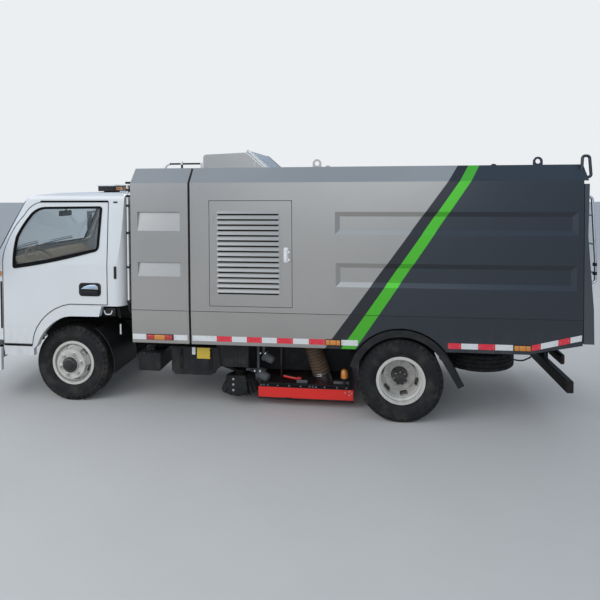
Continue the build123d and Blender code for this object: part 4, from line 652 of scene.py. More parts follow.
class Studio:
    """Camera at the photograph's place, soft light and a pale floor.

    The skies are those seen straight or through glass, those that light, and those mirrored.
    """

    focal_pixels = 515.70
    frame_pixels = 600.0
    sensor_mm = 36.0
    principal_row = 197.34
    station, side, height = 0.3505, 5.7615, 2.2039
    yaw, pitch, roll = 0.119744, -0.023827, -0.005481
    skies = (((0.84, 0.86, 0.88), 1.0), ((0.78, 0.87, 1.0), 0.66), ((0.55, 0.75, 1.0), 0.82))
    lamps = (
        ("key_lamp", (7.5, 6.5, 6.0), 6.0, 330.0), ("fill_lamp", (0.5, 9.5, 4.5), 6.0, 150.0),
        ("back_lamp", (1.0, -7.0, 7.0), 5.0, 300.0),
    )
    aim = (1.3, 0, 1.2)
    floor_half = 60.0

    def __init__(self, layout: Layout) -> None:
        """Sets the stage.

        Args:
            layout: Places the camera beside the truck.
        """
        self.layout = layout

    def camera(self) -> bpy.types.Object:
        """Builds the camera from its measured place and angles.

        Returns:
            The camera.
        """
        ahead = Vector((
            math.sin(self.yaw) * math.cos(self.pitch), -math.cos(self.yaw) * math.cos(self.pitch),
            math.sin(self.pitch),
        ))
        right = ahead.cross(Vector((0, 0, 1))).normalized()
        up = right.cross(ahead)
        turned_right = right * math.cos(self.roll) + up * math.sin(self.roll)
        turned_up = up * math.cos(self.roll) - right * math.sin(self.roll)
        data = bpy.data.cameras.new("view_camera")
        data.sensor_width = self.sensor_mm
        data.lens = self.focal_pixels / self.frame_pixels * self.sensor_mm
        data.shift_y = (self.principal_row - self.frame_pixels / 2) / self.frame_pixels
        camera = bpy.data.objects.new("view_camera", data)
        rotation = Matrix((turned_right, turned_up, -ahead)).transposed().to_4x4()
        spot = self.layout.at(self.station, self.side, self.height)
        camera.matrix_world = Matrix.Translation(spot) @ rotation
        bpy.context.scene.collection.objects.link(camera)
        bpy.context.scene.camera = camera
        return camera

    def lamp(self, name: str, place: Vector, size: float, power: float) -> None:
        """Hangs one square soft lamp that faces the truck.

        Args:
            name: The lamp's name.
            place: Where it hangs.
            size: Length of its side.
            power: Its power in watts.
        """
        data = bpy.data.lights.new(name, "AREA")
        data.size = size
        data.energy = power
        lamp = bpy.data.objects.new(name, data)
        direction = self.layout.at(*self.aim) - place
        turn = direction.to_track_quat("-Z", "Y").to_matrix().to_4x4()
        lamp.matrix_world = Matrix.Translation(place) @ turn
        bpy.context.scene.collection.objects.link(lamp)

    def background(self, tree: bpy.types.NodeTree, colour: Colour, strength: float) -> bpy.types.NodeSocket:
        """A plain sky of one colour and strength.

        Args:
            tree: The node tree.
            colour: Its colour.
            strength: Its strength.

        Returns:
            Its shader.
        """
        sky = tree.nodes.new("ShaderNodeBackground")
        sky.inputs["Color"].default_value = (*colour, 1.0)
        sky.inputs["Strength"].default_value = strength
        return sky.outputs[0]

    def joined(self, tree: bpy.types.NodeTree, node: bpy.types.Node, *sources: bpy.types.NodeSocket
               ) -> bpy.types.NodeSocket:
        """Links sources to a node's inputs in order, and gives its output.

        Args:
            tree: The node tree.
            node: The node.
            sources: Where its inputs come from.

        Returns:
            The node's output.
        """
        for socket, source in zip(node.inputs, sources):
            tree.links.new(source, socket)
        return node.outputs[0]

    def world(self) -> None:
        """Pale surroundings: plain where seen, a soft bluish sky as light and in mirrored surfaces."""
        world = bpy.data.worlds.new("studio_world")
        world.use_nodes = True
        tree = world.node_tree
        ray = tree.nodes.new("ShaderNodeLightPath").outputs
        seen, light, mirrored = (self.background(tree, *sky) for sky in self.skies)
        either = tree.nodes.new("ShaderNodeMath")
        either.operation = "MAXIMUM"
        straight = self.joined(tree, either, ray["Is Camera Ray"], ray["Is Transmission Ray"])
        mixes = [tree.nodes.new("ShaderNodeMixShader") for _ in range(2)]
        sky = self.joined(tree, mixes[0], ray["Is Glossy Ray"], light, mirrored)
        whole = self.joined(tree, mixes[1], straight, sky, seen)
        tree.links.new(whole, tree.nodes["World Output"].inputs["Surface"])
        bpy.context.scene.world = world

    def floor(self) -> None:
        """Lays a wide pale floor at the ground."""
        shape = bmesh.new()
        bmesh.ops.create_grid(shape, x_segments=1, y_segments=1, size=self.floor_half)
        mesh = bpy.data.meshes.new("studio_floor")
        shape.to_mesh(mesh)
        shape.free()
        sheet = NodeSheet("floor_finish")
        sheet.shade(
            Base_Color=sheet.mix(sheet.noise(1.4, 5.0), (0.56, 0.55, 0.53), (0.62, 0.61, 0.59)),
            Roughness=0.8,
        )
        mesh.materials.append(sheet.material)
        floor = bpy.data.objects.new("studio_floor", mesh)
        bpy.context.scene.collection.objects.link(floor)

    def build(self) -> None:
        """Builds the whole stage."""
        self.camera()
        self.world()
        self.floor()
        for name, place, size, power in self.lamps:
            self.lamp(name, self.layout.at(*place), size, power)
        bpy.context.scene.view_settings.view_transform = "Standard"
        LOG.info("studio ready")


SHARP_DEGREES = 30.0


class Form:
    """A solid form under construction; its methods return it, so that steps chain."""

    def __init__(self) -> None:
        """Starts an empty form."""
        self.bm = bmesh.new()

    @classmethod
    def block(cls, low: Point, high: Point) -> "Form":
        """A box between two opposite corners.

        Args:
            low: One corner.
            high: The opposite corner.

        Returns:
            The box.
        """
        form = cls()
        bmesh.ops.create_cube(form.bm, size=1.0)
        low, high = Vector(low), Vector(high)
        return form.stretch([abs(part) for part in high - low]).move((low + high) / 2)

    @classmethod
    def drum(cls, centre: Point, axis: Point, radius: float, depth: float, sides: int = 24,
             far_radius: Optional[float] = None) -> "Form":
        """A round or tapered bar.

        Args:
            centre: Middle of the near face.
            axis: Direction of its length.
            radius: Radius at the near face.
            depth: Length.
            sides: Faces round it.
            far_radius: Radius at the far face, where it tapers.

        Returns:
            The bar.
        """
        form = cls()
        bmesh.ops.create_cone(
            form.bm, cap_ends=True, segments=sides, radius1=radius,
            radius2=radius if far_radius is None else far_radius, depth=depth,
        )
        turn = Vector(axis).to_track_quat("Z", "Y").to_matrix().to_4x4()
        form.place(Matrix.Translation(Vector(centre) + Vector(axis).normalized() * depth / 2) @ turn)
        return form

    @classmethod
    def bar(cls, start: Point, end: Point, radius: float, sides: int = 12) -> "Form":
        """A straight round bar between two points."""
        run = Vector(end) - Vector(start)
        return cls.drum(start, run, radius, run.length, sides)

    @classmethod
    def lathe(cls, profile: Iterable[tuple[float, float]], centre: Point, axis: Point, sides: int = 48,
              closed: bool = True) -> "Form":
        """A turned form.

        Args:
            profile: Points of radius and distance along the axis.
            centre: Where the distance along the axis is zero.
            axis: The turning axis.
            sides: Steps of the turn.
            closed: Whether the last point joins the first.

        Returns:
            The form, its seam and poles closed.
        """
        form = cls()
        along = Vector(axis).normalized()
        out = along.orthogonal().normalized()
        verts = [form.bm.verts.new(Vector(centre) + out * r + along * a) for r, a in profile]
        ends = verts[1:] + verts[:1] if closed else verts[1:]
        edges = [form.bm.edges.new(pair) for pair in zip(verts, ends)]
        bmesh.ops.spin(
            form.bm, geom=verts + edges, cent=centre, axis=along, dvec=(0, 0, 0), angle=math.tau,
            steps=sides, use_merge=True, use_duplicate=False,
        )
        return form.welded()

    @classmethod
    def plate(cls, outline: Iterable[Point], lift: Point) -> "Form":
        """A flat outline made solid by the vector lift.

        Args:
            outline: Points of the outline.
            lift: Vector of the thickness.

        Returns:
            The plate.
        """
        form = cls()
        form.bm.faces.new([form.bm.verts.new(point) for point in outline])
        return form.raised(lift)

    @classmethod
    def frame(cls, outline: Iterable[Point], width: float, lift: Point, grow: float = 0.0) -> "Form":
        """A band along the inside of a closed outline.

        Args:
            outline: Points of the outline, in a plane.
            width: Width of the band.
            lift: Vector of the band's thickness.
            grow: How far outside the outline the band starts.

        Returns:
            The band.
        """
        form = cls()
        face = form.bm.faces.new([form.bm.verts.new(point) for point in outline])
        face.normal_update()
        if grow:
            ring = bmesh.ops.inset_individual(form.bm, faces=[face], thickness=-grow, use_even_offset=True)
            bmesh.ops.delete(form.bm, geom=ring["faces"], context="FACES")
        bmesh.ops.inset_individual(form.bm, faces=[face], thickness=width, use_even_offset=True)
        bmesh.ops.delete(form.bm, geom=[face], context="FACES")
        return form.raised(lift)

    @classmethod
    def pipe(cls, points: Sequence[Point], radius: float, bend: float = 0.03, sides: int = 3) -> "Form":
        """A bent pipe or rod of straight runs.

        Args:
            points: Its corners, from end to end.
            radius: Radius of the pipe.
            bend: Distance from a corner over which it turns.
            sides: Resolution of its roundness.

        Returns:
            The pipe with closed ends.
        """
        corners = [Vector(point) for point in points]
        stops = [corners[0]]
        for before, corner, after in zip(corners, corners[1:], corners[2:]):
            stops.append(corner + (before - corner).normalized() * min(bend, (before - corner).length / 2.2))
            stops.append(corner + (after - corner).normalized() * min(bend, (after - corner).length / 2.2))
        stops.append(corners[-1])
        curve = bpy.data.curves.new("pipe_run", "CURVE")
        curve.dimensions = "3D"
        curve.bevel_depth = radius
        curve.bevel_resolution = sides
        curve.resolution_u = 6
        curve.use_fill_caps = True
        spline = curve.splines.new("NURBS")
        spline.points.add(len(stops) - 1)
        for point, stop in zip(spline.points, stops):
            point.co = (*stop, 1.0)
        spline.order_u = 3
        spline.use_endpoint_u = True
        carrier = bpy.data.objects.new("pipe_run", curve)
        mesh = bpy.data.meshes.new_from_object(carrier)
        form = cls()
        form.bm.from_mesh(mesh)
        bpy.data.objects.remove(carrier)
        bpy.data.meshes.remove(mesh)
        bpy.data.curves.remove(curve)
        return form.welded()

    @classmethod
    def ball(cls, centre: Point, radius: float, sides: int = 16) -> "Form":
        """A round ball.

        Args:
            centre: Its middle.
            radius: Radius.
            sides: Steps round it.

        Returns:
            The ball.
        """
        form = cls()
        bmesh.ops.create_uvsphere(form.bm, u_segments=sides, v_segments=sides // 2, radius=radius)
        return form.move(centre)

    def place(self, matrix: Matrix) -> "Form":
        """Moves the whole form by a matrix."""
        bmesh.ops.transform(self.bm, matrix=matrix, verts=self.bm.verts)
        return self

    def move(self, offset: Point) -> "Form":
        """Moves the whole form."""
        return self.place(Matrix.Translation(offset))

    def stretch(self, scale: Point) -> "Form":
        """Scales the form about the origin."""
        return self.place(Matrix.Diagonal((*scale, 1.0)))

    def turn(self, degrees: float, axis: Point, centre: Point) -> "Form":
        """Turns the form about an axis through a point."""
        there = Matrix.Translation(centre)
        return self.place(there @ Matrix.Rotation(math.radians(degrees), 4, Vector(axis)) @ there.inverted())

    def raised(self, lift: Point) -> "Form":
        """Makes flat faces solid by the vector lift.

        Args:
            lift: Vector of the thickness.

        Returns:
            The form.
        """
        grown = bmesh.ops.extrude_face_region(self.bm, geom=self.bm.faces[:], use_keep_orig=True)["geom"]
        bmesh.ops.translate(self.bm, vec=lift, verts=[v for v in grown if isinstance(v, bmesh.types.BMVert)])
        return self.outward()

    def bevelled(self, edges: Sequence[bmesh.types.BMEdge], width: float, segments: int) -> "Form":
        """Rounds some edges.

        Args:
            edges: The edges.
            width: Width of the round.
            segments: Faces across the round.

        Returns:
            The form.
        """
        bmesh.ops.bevel(
            self.bm, geom=edges, offset=width, offset_type="OFFSET", segments=segments, profile=0.5,
            affect="EDGES", material=-1, clamp_overlap=True,
        )
        return self

    def soften(self, width: float, segments: int = 2) -> "Form":
        """Bevels every edge that turns by more than the sharp angle."""
        return self.bevelled([edge for edge in self.bm.edges if len(edge.link_faces) == 2 and
                              edge.calc_face_angle(0.0) > math.radians(SHARP_DEGREES)], width, segments)

    def corners(self, width: float, along: Axis, segments: int = 4) -> "Form":
        """Rounds only the edges that run along one axis."""
        return self.bevelled([edge for edge in self.bm.edges if abs(
            (edge.verts[0].co - edge.verts[1].co).normalized().dot(along.vector)) > 0.99], width, segments)

    def sink(self, facing: Point, margin: float, depth: float) -> "Form":
        """Insets the faces that look one way and pushes them in.

        Args:
            facing: Direction that the faces look.
            margin: Width of the inset.
            depth: Its depth.

        Returns:
            The form.
        """
        look = Vector(facing).normalized()
        faces = [face for face in self.bm.faces if face.normal.dot(look) > 0.98]
        bmesh.ops.inset_region(self.bm, faces=faces, thickness=margin, depth=-depth, use_even_offset=True)
        return self

    def divided(self, longest: float) -> "Form":
        """Cuts long edges until none is longer than a length.

        Args:
            longest: The longest edge allowed.

        Returns:
            The form.
        """
        for _ in range(7):
            edges = [edge for edge in self.bm.edges if edge.calc_length() > longest]
            if not edges:
                break
            bmesh.ops.subdivide_edges(self.bm, edges=edges, cuts=1, use_grid_fill=True)
        return self

    def welded(self) -> "Form":
        """Merges doubled vertices and turns the faces outward."""
        bmesh.ops.remove_doubles(self.bm, verts=self.bm.verts, dist=1e-5)
        return self.outward()

    def outward(self) -> "Form":
        """Turns every face outward."""
        bmesh.ops.recalc_face_normals(self.bm, faces=self.bm.faces)
        return self

    def join(self, other: "Form") -> "Form":
        """Takes another form in.

        Args:
            other: The form that is taken in.

        Returns:
            The form.
        """
        passing = bpy.data.meshes.new("passing")
        other.bm.to_mesh(passing)
        self.bm.from_mesh(passing)
        bpy.data.meshes.remove(passing)
        other.bm.free()
        return self

    def mirrored(self) -> "Form":
        """The form on the truck's other side.

        Returns:
            The form.
        """
        self.stretch((1, -1, 1))
        bmesh.ops.reverse_faces(self.bm, faces=self.bm.faces)
        return self

    def sided(self, out: int) -> "Form":
        """The form as it is on the left, where out is 1, or mirrored for the right."""
        return self if out > 0 else self.mirrored()


class Piece:
    """A named piece of the visual model, which collects forms and rides on a body."""

    def __init__(self, name: str, body: str, *finishes: bpy.types.Material) -> None:
        """Starts an empty piece.

        Args:
            name: The piece's name.
            body: The body that carries it.
            finishes: Its materials, picked by their place in this list.
        """
        self.name = name
        self.body = body
        self.mesh = bpy.data.meshes.new(name)
        for finish in finishes:
            self.mesh.materials.append(finish)
        self.whole = Form()

    def add(self, form: Form, finish: int = 0) -> "Piece":
        """Adds a form in one of the piece's finishes.

        Args:
            form: The form.
            finish: Place of the finish in the piece's list.

        Returns:
            The piece.
        """
        for face in form.bm.faces:
            face.material_index = finish
        self.whole.join(form)
        return self

    def build(self, replaces: Sequence[str] = (), crease: float = 32.0) -> bpy.types.Object:
        """Finishes the piece.

        Args:
            replaces: CAD nodes that it stands for.
            crease: Angle in degrees past which an edge stays sharp.

        Returns:
            The piece's object.
        """
        self.whole.bm.to_mesh(self.mesh)
        self.whole.bm.free()
        self.mesh.shade_smooth()
        self.mesh.set_sharp_from_angle(angle=math.radians(crease))
        made = bpy.data.objects.new(self.name, self.mesh)
        bpy.context.scene.collection.objects.link(made)
        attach(made, self.body)
        if replaces:
            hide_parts(*replaces)
        LOG.info("%s: %d faces on %s", self.name, len(self.mesh.polygons), self.body)
        return made


class Skin:
    """The outer surface of some CAD nodes, onto which trim is laid."""

    reach = 9.0

    def __init__(self, nodes: dict, *names: str) -> None:
        """Collects the surface.

        Args:
            nodes: The frame's CAD objects by name.
            names: The nodes that make up the surface.
        """
        points: list[Vector] = []
        faces: list[tuple[int, ...]] = []
        for name in names:
            mesh = nodes[name].data
            first = len(points)
            points.extend(vert.co.copy() for vert in mesh.vertices)
            faces.extend(tuple(first + index for index in face.vertices) for face in mesh.polygons)
        self.tree = BVHTree.FromPolygons(points, faces)

    def lay(self, form: Form, axis: int, sign: int) -> Form:
        """Lays a form on the surface along an axis.

        Args:
            form: Its coordinate along the axis is its height above the surface.
            axis: 0, 1 or 2.
            sign: 1 where the surface faces along the axis, or -1.

        Returns:
            The laid form.
        """
        look = Vector((0, 0, 0))
        look[axis] = -sign
        for vert in form.bm.verts:
            start = vert.co.copy()
            start[axis] = sign * self.reach
            hit = self.tree.ray_cast(start, look)[0]
            if hit is not None:
                vert.co[axis] += hit[axis]
        form.bm.normal_update()
        return form


@dataclass
class SubAssembly:
    """What every group of pieces shares: the layout, the finishes and the CAD nodes."""

    layout: Layout
    palette: Palette
    nodes: dict

    def at(self, station: float, y: float, z: float) -> Vector:
        """A point by its station forward from the rear axle."""
        return self.layout.at(station, y, z)

    def side_outline(self, points: Iterable[tuple[float, float]], y: float = 0.0) -> list[Vector]:
        """Points of a side view as an outline at one y."""
        return [self.at(station, y, z) for station, z in points]

    def block(self, stations: Sequence[float], ys: Sequence[float], heights: Sequence[float]) -> Form:
        """A box between two stations, two ys and two heights."""
        return Form.block(*(self.at(*corner) for corner in zip(stations, ys, heights)))

    def bar(self, start: Point, end: Point, radius: float, sides: int = 12) -> Form:
        """A straight bar between two places of station, y and height."""
        return Form.bar(self.at(*start), self.at(*end), radius, sides)

    def pipe(self, places: Iterable[Point], radius: float, bend: float = 0.03) -> Form:
        """A bent pipe through places of station, y and height."""
        return Form.pipe([self.at(*place) for place in places], radius, bend)

    def piece(self, name: str, body: str, *finishes: str) -> Piece:
        """A piece on a body, in finishes given by name."""
        return Piece(name, body, *(self.palette[finish] for finish in finishes))


@dataclass
class Tyres(SubAssembly):
    """Treaded tyres for every wheel: four ribs, lugged shoulders and ringed sidewalls."""

    steps: int = 120
    groove_depth: float = 0.011
    zigzag: float = 0.0035
    zigzag_half: float = 0.06
    lug_depth: float = 0.007
    lug_edge: float = 0.0015
    shoulder: tuple[float, float] = (0.0735, 0.352)
    front_y: float = 0.735
    rear_ys: tuple[float, float] = (0.885, 0.653)
    spare: tuple[float, float] = (-0.870, 0.375)
    side_wall: Profile = (
        (0.2065, 0.0685), (0.222, 0.0705), (0.2285, 0.069), (0.232, 0.074), (0.236, 0.0815), (0.244, 0.084),
        (0.247, 0.0875), (0.26, 0.0925), (0.263, 0.0952), (0.276, 0.0968), (0.279, 0.099), (0.3, 0.1),
        (0.32, 0.099), (0.323, 0.097), (0.338, 0.0955), (0.341, 0.0965), (0.347, 0.095), (0.35, 0.0925),
        (0.36, 0.0895), (0.37, 0.086), (0.379, 0.082), (0.385, 0.077),
    )
    lining: Profile = ((0.362, 0.066), (0.3, 0.088), (0.232, 0.058), (0.2065, 0.046))
    ribs: tuple[float, ...] = (0.047, 0.0395, 0.0045)
    spare_disc: Profile = (
        (0.225, -0.07), (0.218, -0.072), (0.206, -0.06), (0.2, -0.02), (0.185, 0.01), (0.175, 0.028),
        (0.065, 0.03), (0.06, 0.04), (0.18, 0.044), (0.2, 0.06), (0.22, 0.072), (0.225, 0.07),
    )

    def section(self) -> list[tuple[float, float]]:
        """The closed section: one sidewall, the grooved tread, the other sidewall and the lining.

        Returns:
            Points of radius and distance along the axis.
        """
        top = self.layout.tyre_radius
        floor = top - self.groove_depth
        first, second, middle = self.ribs
        tread = [
            (top - 0.001, 0.073), (top - 0.0003, first), (floor, first - 0.001), (floor, second + 0.001),
            (top, second), (top, middle), (floor, middle - 0.001),
        ]
        outer = list(self.side_wall) + tread
        whole = outer + [(r, -a) for r, a in reversed(outer)]
        return whole + [(r, -a) for r, a in reversed(self.lining)] + list(self.lining)

    def carcass(self, centre: Vector, axis: Axis) -> Form:
        """One tyre.

        Args:
            centre: Middle of the tyre.
            axis: Its turning axis.

        Returns:
            The treaded tyre.
        """
        form = Form.lathe(self.section(), centre, axis.vector, self.steps)
        along = axis.vector
        out = along.orthogonal().normalized()
        side = along.cross(out)

        def spread(point: Vector) -> tuple[float, float, float]:
            """A point's distance along the axis, its radius, and how many steps it lies round the tyre.

            Args:
                point: The point.

            Returns:
                The three measures.
            """
            across = (point - centre).dot(along)
            flat = point - centre - along * across
            turned = math.atan2(flat.dot(side), flat.dot(out)) % math.tau
            return across, flat.length, turned / math.tau * self.steps

        notches = []
        for face in form.bm.faces:
            across, radius, step = spread(face.calc_center_median())
            if abs(across) > self.shoulder[0] and radius > self.shoulder[1] and int(step) % 3 == 0:
                notches.append(face)
        for vert in form.bm.verts:
            across, radius, step = spread(vert.co)
            on_top = radius > self.layout.tyre_radius - self.groove_depth - 0.001
            if on_top and abs(across) < self.zigzag_half:
                vert.co += along * (self.zigzag if round(step) % 4 < 2 else -self.zigzag)
        bmesh.ops.inset_region(form.bm, faces=notches, thickness=self.lug_edge, depth=-self.lug_depth)
        return form

    def build(self) -> None:
        """Builds the tyres of all wheels and the spare."""
        height = self.layout.tyre_radius
        for name, out in SIDES:
            piece = self.piece(f"front_tread_{name}", f"wheel_front_{name}", "tyre_rubber")
            piece.add(self.carcass(self.at(self.layout.wheelbase, self.front_y * out, height), Axis.Y))
            piece.build((f"front_tyre_{name}",))
            piece = self.piece(f"rear_treads_{name}", f"wheel_rear_{name}", "tyre_rubber")
            for y in self.rear_ys:
                piece.add(self.carcass(self.at(0, y * out, height), Axis.Y))
            piece.build((f"rear_tyres_{name}",))
        centre = self.at(self.spare[0], 0, self.spare[1])
        piece = self.piece("spare_tyre", "chassis", "tyre_rubber", "rear_wheel_paint")
        disc = Form.lathe(self.spare_disc, centre, Axis.Z.vector, 64)
        piece.add(self.carcass(centre, Axis.Z)).add(disc, 1)
        piece.build(("spare_wheel",))


@dataclass
class WheelFittings(SubAssembly):
    """Nuts, stud ends, hub caps and valves that dress the steel wheels."""

    studs: int = 6
    stud_circle: float = 0.111
    stud_degrees: float = 47.0
    disc_front_y: float = 0.851
    disc_rear_y: float = 0.769
    valve_circle: float = 0.176
    valve_degrees: float = 200.0
    flange_bolts: int = 8
    flange_circle: float = 0.058
    nut_seat: Profile = ((0.0, 0.0), (0.0185, 0.0), (0.0185, 0.003), (0.015, 0.005), (0.0, 0.005))
    cap: Profile = ((0.0, 0.056), (0.03, 0.056), (0.046, 0.053), (0.052, 0.046), (0.0525, 0.036),
                    (0.0, 0.036))
    ring: Profile = ((0.066, 0.014), (0.079, 0.014), (0.079, 0.021), (0.074, 0.024), (0.066, 0.024))
    flange: Profile = (
        (0.0, 0.128), (0.048, 0.128), (0.055, 0.124), (0.056, 0.118),
        (0.066, 0.116), (0.0665, 0.104), (0.0, 0.104),
    )

    def round_axle(self, station: float, y: float, radius: float, degrees: float) -> Vector:
        """A point on a circle round a wheel's axle.

        Args:
            station: Station forward from the rear axle.
            y: Place across the truck.
            radius: Radius.
            degrees: Angle round the axle.

        Returns:
            The point.
        """
        angle = math.radians(degrees)
        return self.at(station + radius * math.cos(angle), y,
                       self.layout.tyre_radius + radius * math.sin(angle))

    def nut(self, centre: Vector, out: int) -> Form:
        """A flanged wheel nut with the end of its stud.

        Args:
            centre: Middle of its seat.
            out: 1 on the left side, -1 on the right.

        Returns:
            The nut with its seat and stud.
        """
        axis = (0, out, 0)
        form = Form.lathe(self.nut_seat, centre, axis, 20, False)
        for lift, radius, depth, sides in ((0.004, 0.015, 0.019, 6), (0.022, 0.008, 0.011, 12)):
            part = Form.drum(centre + Vector((0, lift * out, 0)), axis, radius, depth, sides)
            form.join(part.soften(0.0015, 1))
        return form

    def nuts(self, station: float, y: float, out: int) -> Form:
        """The ring of nuts on one wheel disc.

        Args:
            station: Station forward from the rear axle.
            y: Place across the truck.
            out: 1 on the left side, -1 on the right.

        Returns:
            The ring.
        """
        ring = Form()
        for index in range(self.studs):
            degrees = self.stud_degrees + 360 * index / self.studs
            ring.join(self.nut(self.round_axle(station, y, self.stud_circle, degrees), out))
        return ring

    def front(self, name: str, out: int) -> None:
        """A front wheel's nuts, hub cap with its ring, and valve.

        Args:
            name: Which side, left or right.
            out: 1 on the left side, -1 on the right.
        """
        station, y, axis = self.layout.wheelbase, self.disc_front_y * out, (0, out, 0)
        middle = self.at(station, y, self.layout.tyre_radius)
        piece = self.piece(f"front_hub_{name}", f"wheel_front_{name}", "cast_iron", "bright_steel",
                           "black_plastic")
        piece.add(self.nuts(station, y, out), 1).add(Form.lathe(self.cap, middle, axis, 36, False))
        piece.add(Form.lathe(self.ring, middle, axis, 40))
        spot = self.round_axle(station, (self.disc_front_y - 0.06) * out, self.valve_circle,
                               self.valve_degrees)
        for start, end, radius, finish in ((0.0, 0.05, 0.0045, 2), (0.046, 0.06, 0.006, 1)):
            stem = Form.bar(spot + Vector((0, start * out, 0)), spot + Vector((0, end * out, 0)), radius, 10)
            piece.add(stem, finish)
        piece.build()

    def rear(self, name: str, out: int) -> None:
        """A rear wheel's nuts and the half shaft's flange with its bolts.

        Args:
            name: Which side, left or right.
            out: 1 on the left side, -1 on the right.
        """
        y, axis = self.disc_rear_y * out, (0, out, 0)
        piece = self.piece(f"rear_hub_{name}", f"wheel_rear_{name}", "cast_iron", "bright_steel",
                           "black_plastic")
        piece.add(self.nuts(0, y, out), 1)
        piece.add(Form.lathe(self.flange, self.at(0, y, self.layout.tyre_radius), axis, 40, False))
        for index in range(self.flange_bolts):
            degrees = 360 / self.flange_bolts * index
            spot = self.round_axle(0, (self.disc_rear_y + 0.112) * out, self.flange_circle, degrees)
            piece.add(Form.drum(spot, axis, 0.006, 0.01, 6), 1)
        piece.build()

    def build(self) -> None:
        """Builds the fittings of the four wheels."""
        for name, out in SIDES:
            self.front(name, out)
            self.rear(name, out)


@dataclass
class SideMarking(SubAssembly):
    """Reflective strips with their rivets, and side lamps, along the body's lower edge."""

    half_width: float = 1.0
    crease_z: float = 1.0
    skirt_z: float = 0.678
    tuck: float = 0.014
    strip_z: tuple[float, float] = (0.711, 0.763)
    sheet: float = 0.0012
    knee: float = -1.141
    tail: float = -1.575
    rise: float = 0.1085
    finishes: tuple[str, ...] = (
        "white_tape", "red_tape", "amber_lens", "black_plastic", "bright_steel", "red_lens",
    )
    cabinet: tuple[Strip, ...] = (
        (2.576, 2.44, "white_tape"), (2.436, 2.165, "lamp"), (2.161, 2.024, "white_tape"),
    )
    hopper_front: tuple[Strip, ...] = (
        (1.975, 1.736, "white_tape"), (1.734, 1.588, "red_tape"), (1.586, 1.442, "white_tape"),
        (1.44, 1.297, "red_tape"), (1.295, 1.153, "white_tape"), (1.151, 1.0, "red_tape"),
        (0.998, 0.849, "white_tape"), (0.847, 0.698, "red_tape"), (0.694, 0.549, "amber_lamp"),
        (0.545, 0.392, "white_tape"),
    )
    hopper_rear: tuple[Strip, ...] = (
        (-0.42, -0.535, "red_tape"), (-0.537, -0.684, "white_tape"), (-0.686, -0.832, "red_tape"),
        (-0.834, -0.987, "white_tape"), (-0.991, -1.141, "amber_lamp"), (-1.145, -1.222, "red_tape"),
        (-1.224, -1.37, "white_tape"), (-1.372, -1.47, "red_tape"), (-1.472, -1.566, "white_tape"),
    )

    def wall_y(self, height: float) -> float:
        """Half width of the tucked skirt at a height."""
        below = max(0.0, self.crease_z - height)
        return self.half_width - self.tuck * below / (self.crease_z - self.skirt_z)

    def lifted(self, station: float) -> float:
        """How far the strip has risen at a station behind the knee of the body's lower edge."""
        return max(0.0, self.knee - station) * self.rise / (self.knee - self.tail)

    def strip(self, front: float, rear: float, out: int, low: float, high: float, proud: float) -> Form:
        """A flat rectangle on the skirt.

        Args:
            front: Station of its front end.
            rear: Station of its rear end.
            out: 1 on the left side, -1 on the right.
            low: Height of its lower edge.
            high: Height of its upper edge.
            proud: How far it stands out.

        Returns:
            The strip.
        """
        corners = []
        for station, height in ((front, low), (rear, low), (rear, high), (front, high)):
            z = height + self.lifted(station)
            corners.append(self.at(station, self.wall_y(z) * out, z))
        return Form.plate(corners, (0, proud * out, 0))

    def rivets(self, front: float, rear: float, out: int) -> Form:
        """Two rivet heads near the ends of a strip.

        Args:
            front: Station of its front end.
            rear: Station of its rear end.
            out: 1 on the left side, -1 on the right.

        Returns:
            The rivet heads.
        """
        heads = Form()
        for station in (front - 0.014, rear + 0.014):
            z = sum(self.strip_z) / 2 + self.lifted(station)
            spot = self.at(station, self.wall_y(z) * out, z)
            heads.join(Form.drum(spot, (0, out, 0), 0.0045, 0.0022, 10, 0.003))
        return heads

    def lamp(self, front: float, rear: float, out: int) -> tuple[Form, Form, Form]:
        """A side lamp: its middle lens, the lenses at its ends, and its dark base.

        Args:
            front: Station of its front end.
            rear: Station of its rear end.
            out: 1 on the left side, -1 on the right.

        Returns:
            The middle lens, the end lenses and the base.
        """
        low, high = self.strip_z
        third = (front - rear) / 3.4
        spans = ((front - 0.006, front - third), (front - third - 0.002, rear + third + 0.002),
                 (rear + third, rear + 0.006))
        first, middle, last = (
            self.strip(*span, out, low + 0.003, high - 0.003, 0.016).soften(0.004, 3) for span in spans)
        base = self.strip(front, rear, out, low - 0.002, high + 0.002, 0.005).soften(0.0015, 1)
        return middle, first.join(last), base

    def build(self) -> None:
        """Builds the markings on both sides."""
        rows = (("cabinet_marking", "chassis", self.cabinet), ("front_marking", "hopper", self.hopper_front),
                ("rear_marking", "hopper", self.hopper_rear))
        for side, out in SIDES:
            for name, body, row in rows:
                piece = self.piece(f"{name}_{side}", body, *self.finishes)
                for front, rear, kind in row:
                    if kind.endswith("lamp"):
                        lens, ends, base = self.lamp(front, rear, out)
                        piece.add(lens, 2).add(ends, 5 if kind == "lamp" else 2).add(base, 3)
                    else:
                        strip = self.strip(front, rear, out, *self.strip_z, self.sheet)
                        piece.add(strip, self.finishes.index(kind)).add(self.rivets(front, rear, out), 4)
                piece.build()


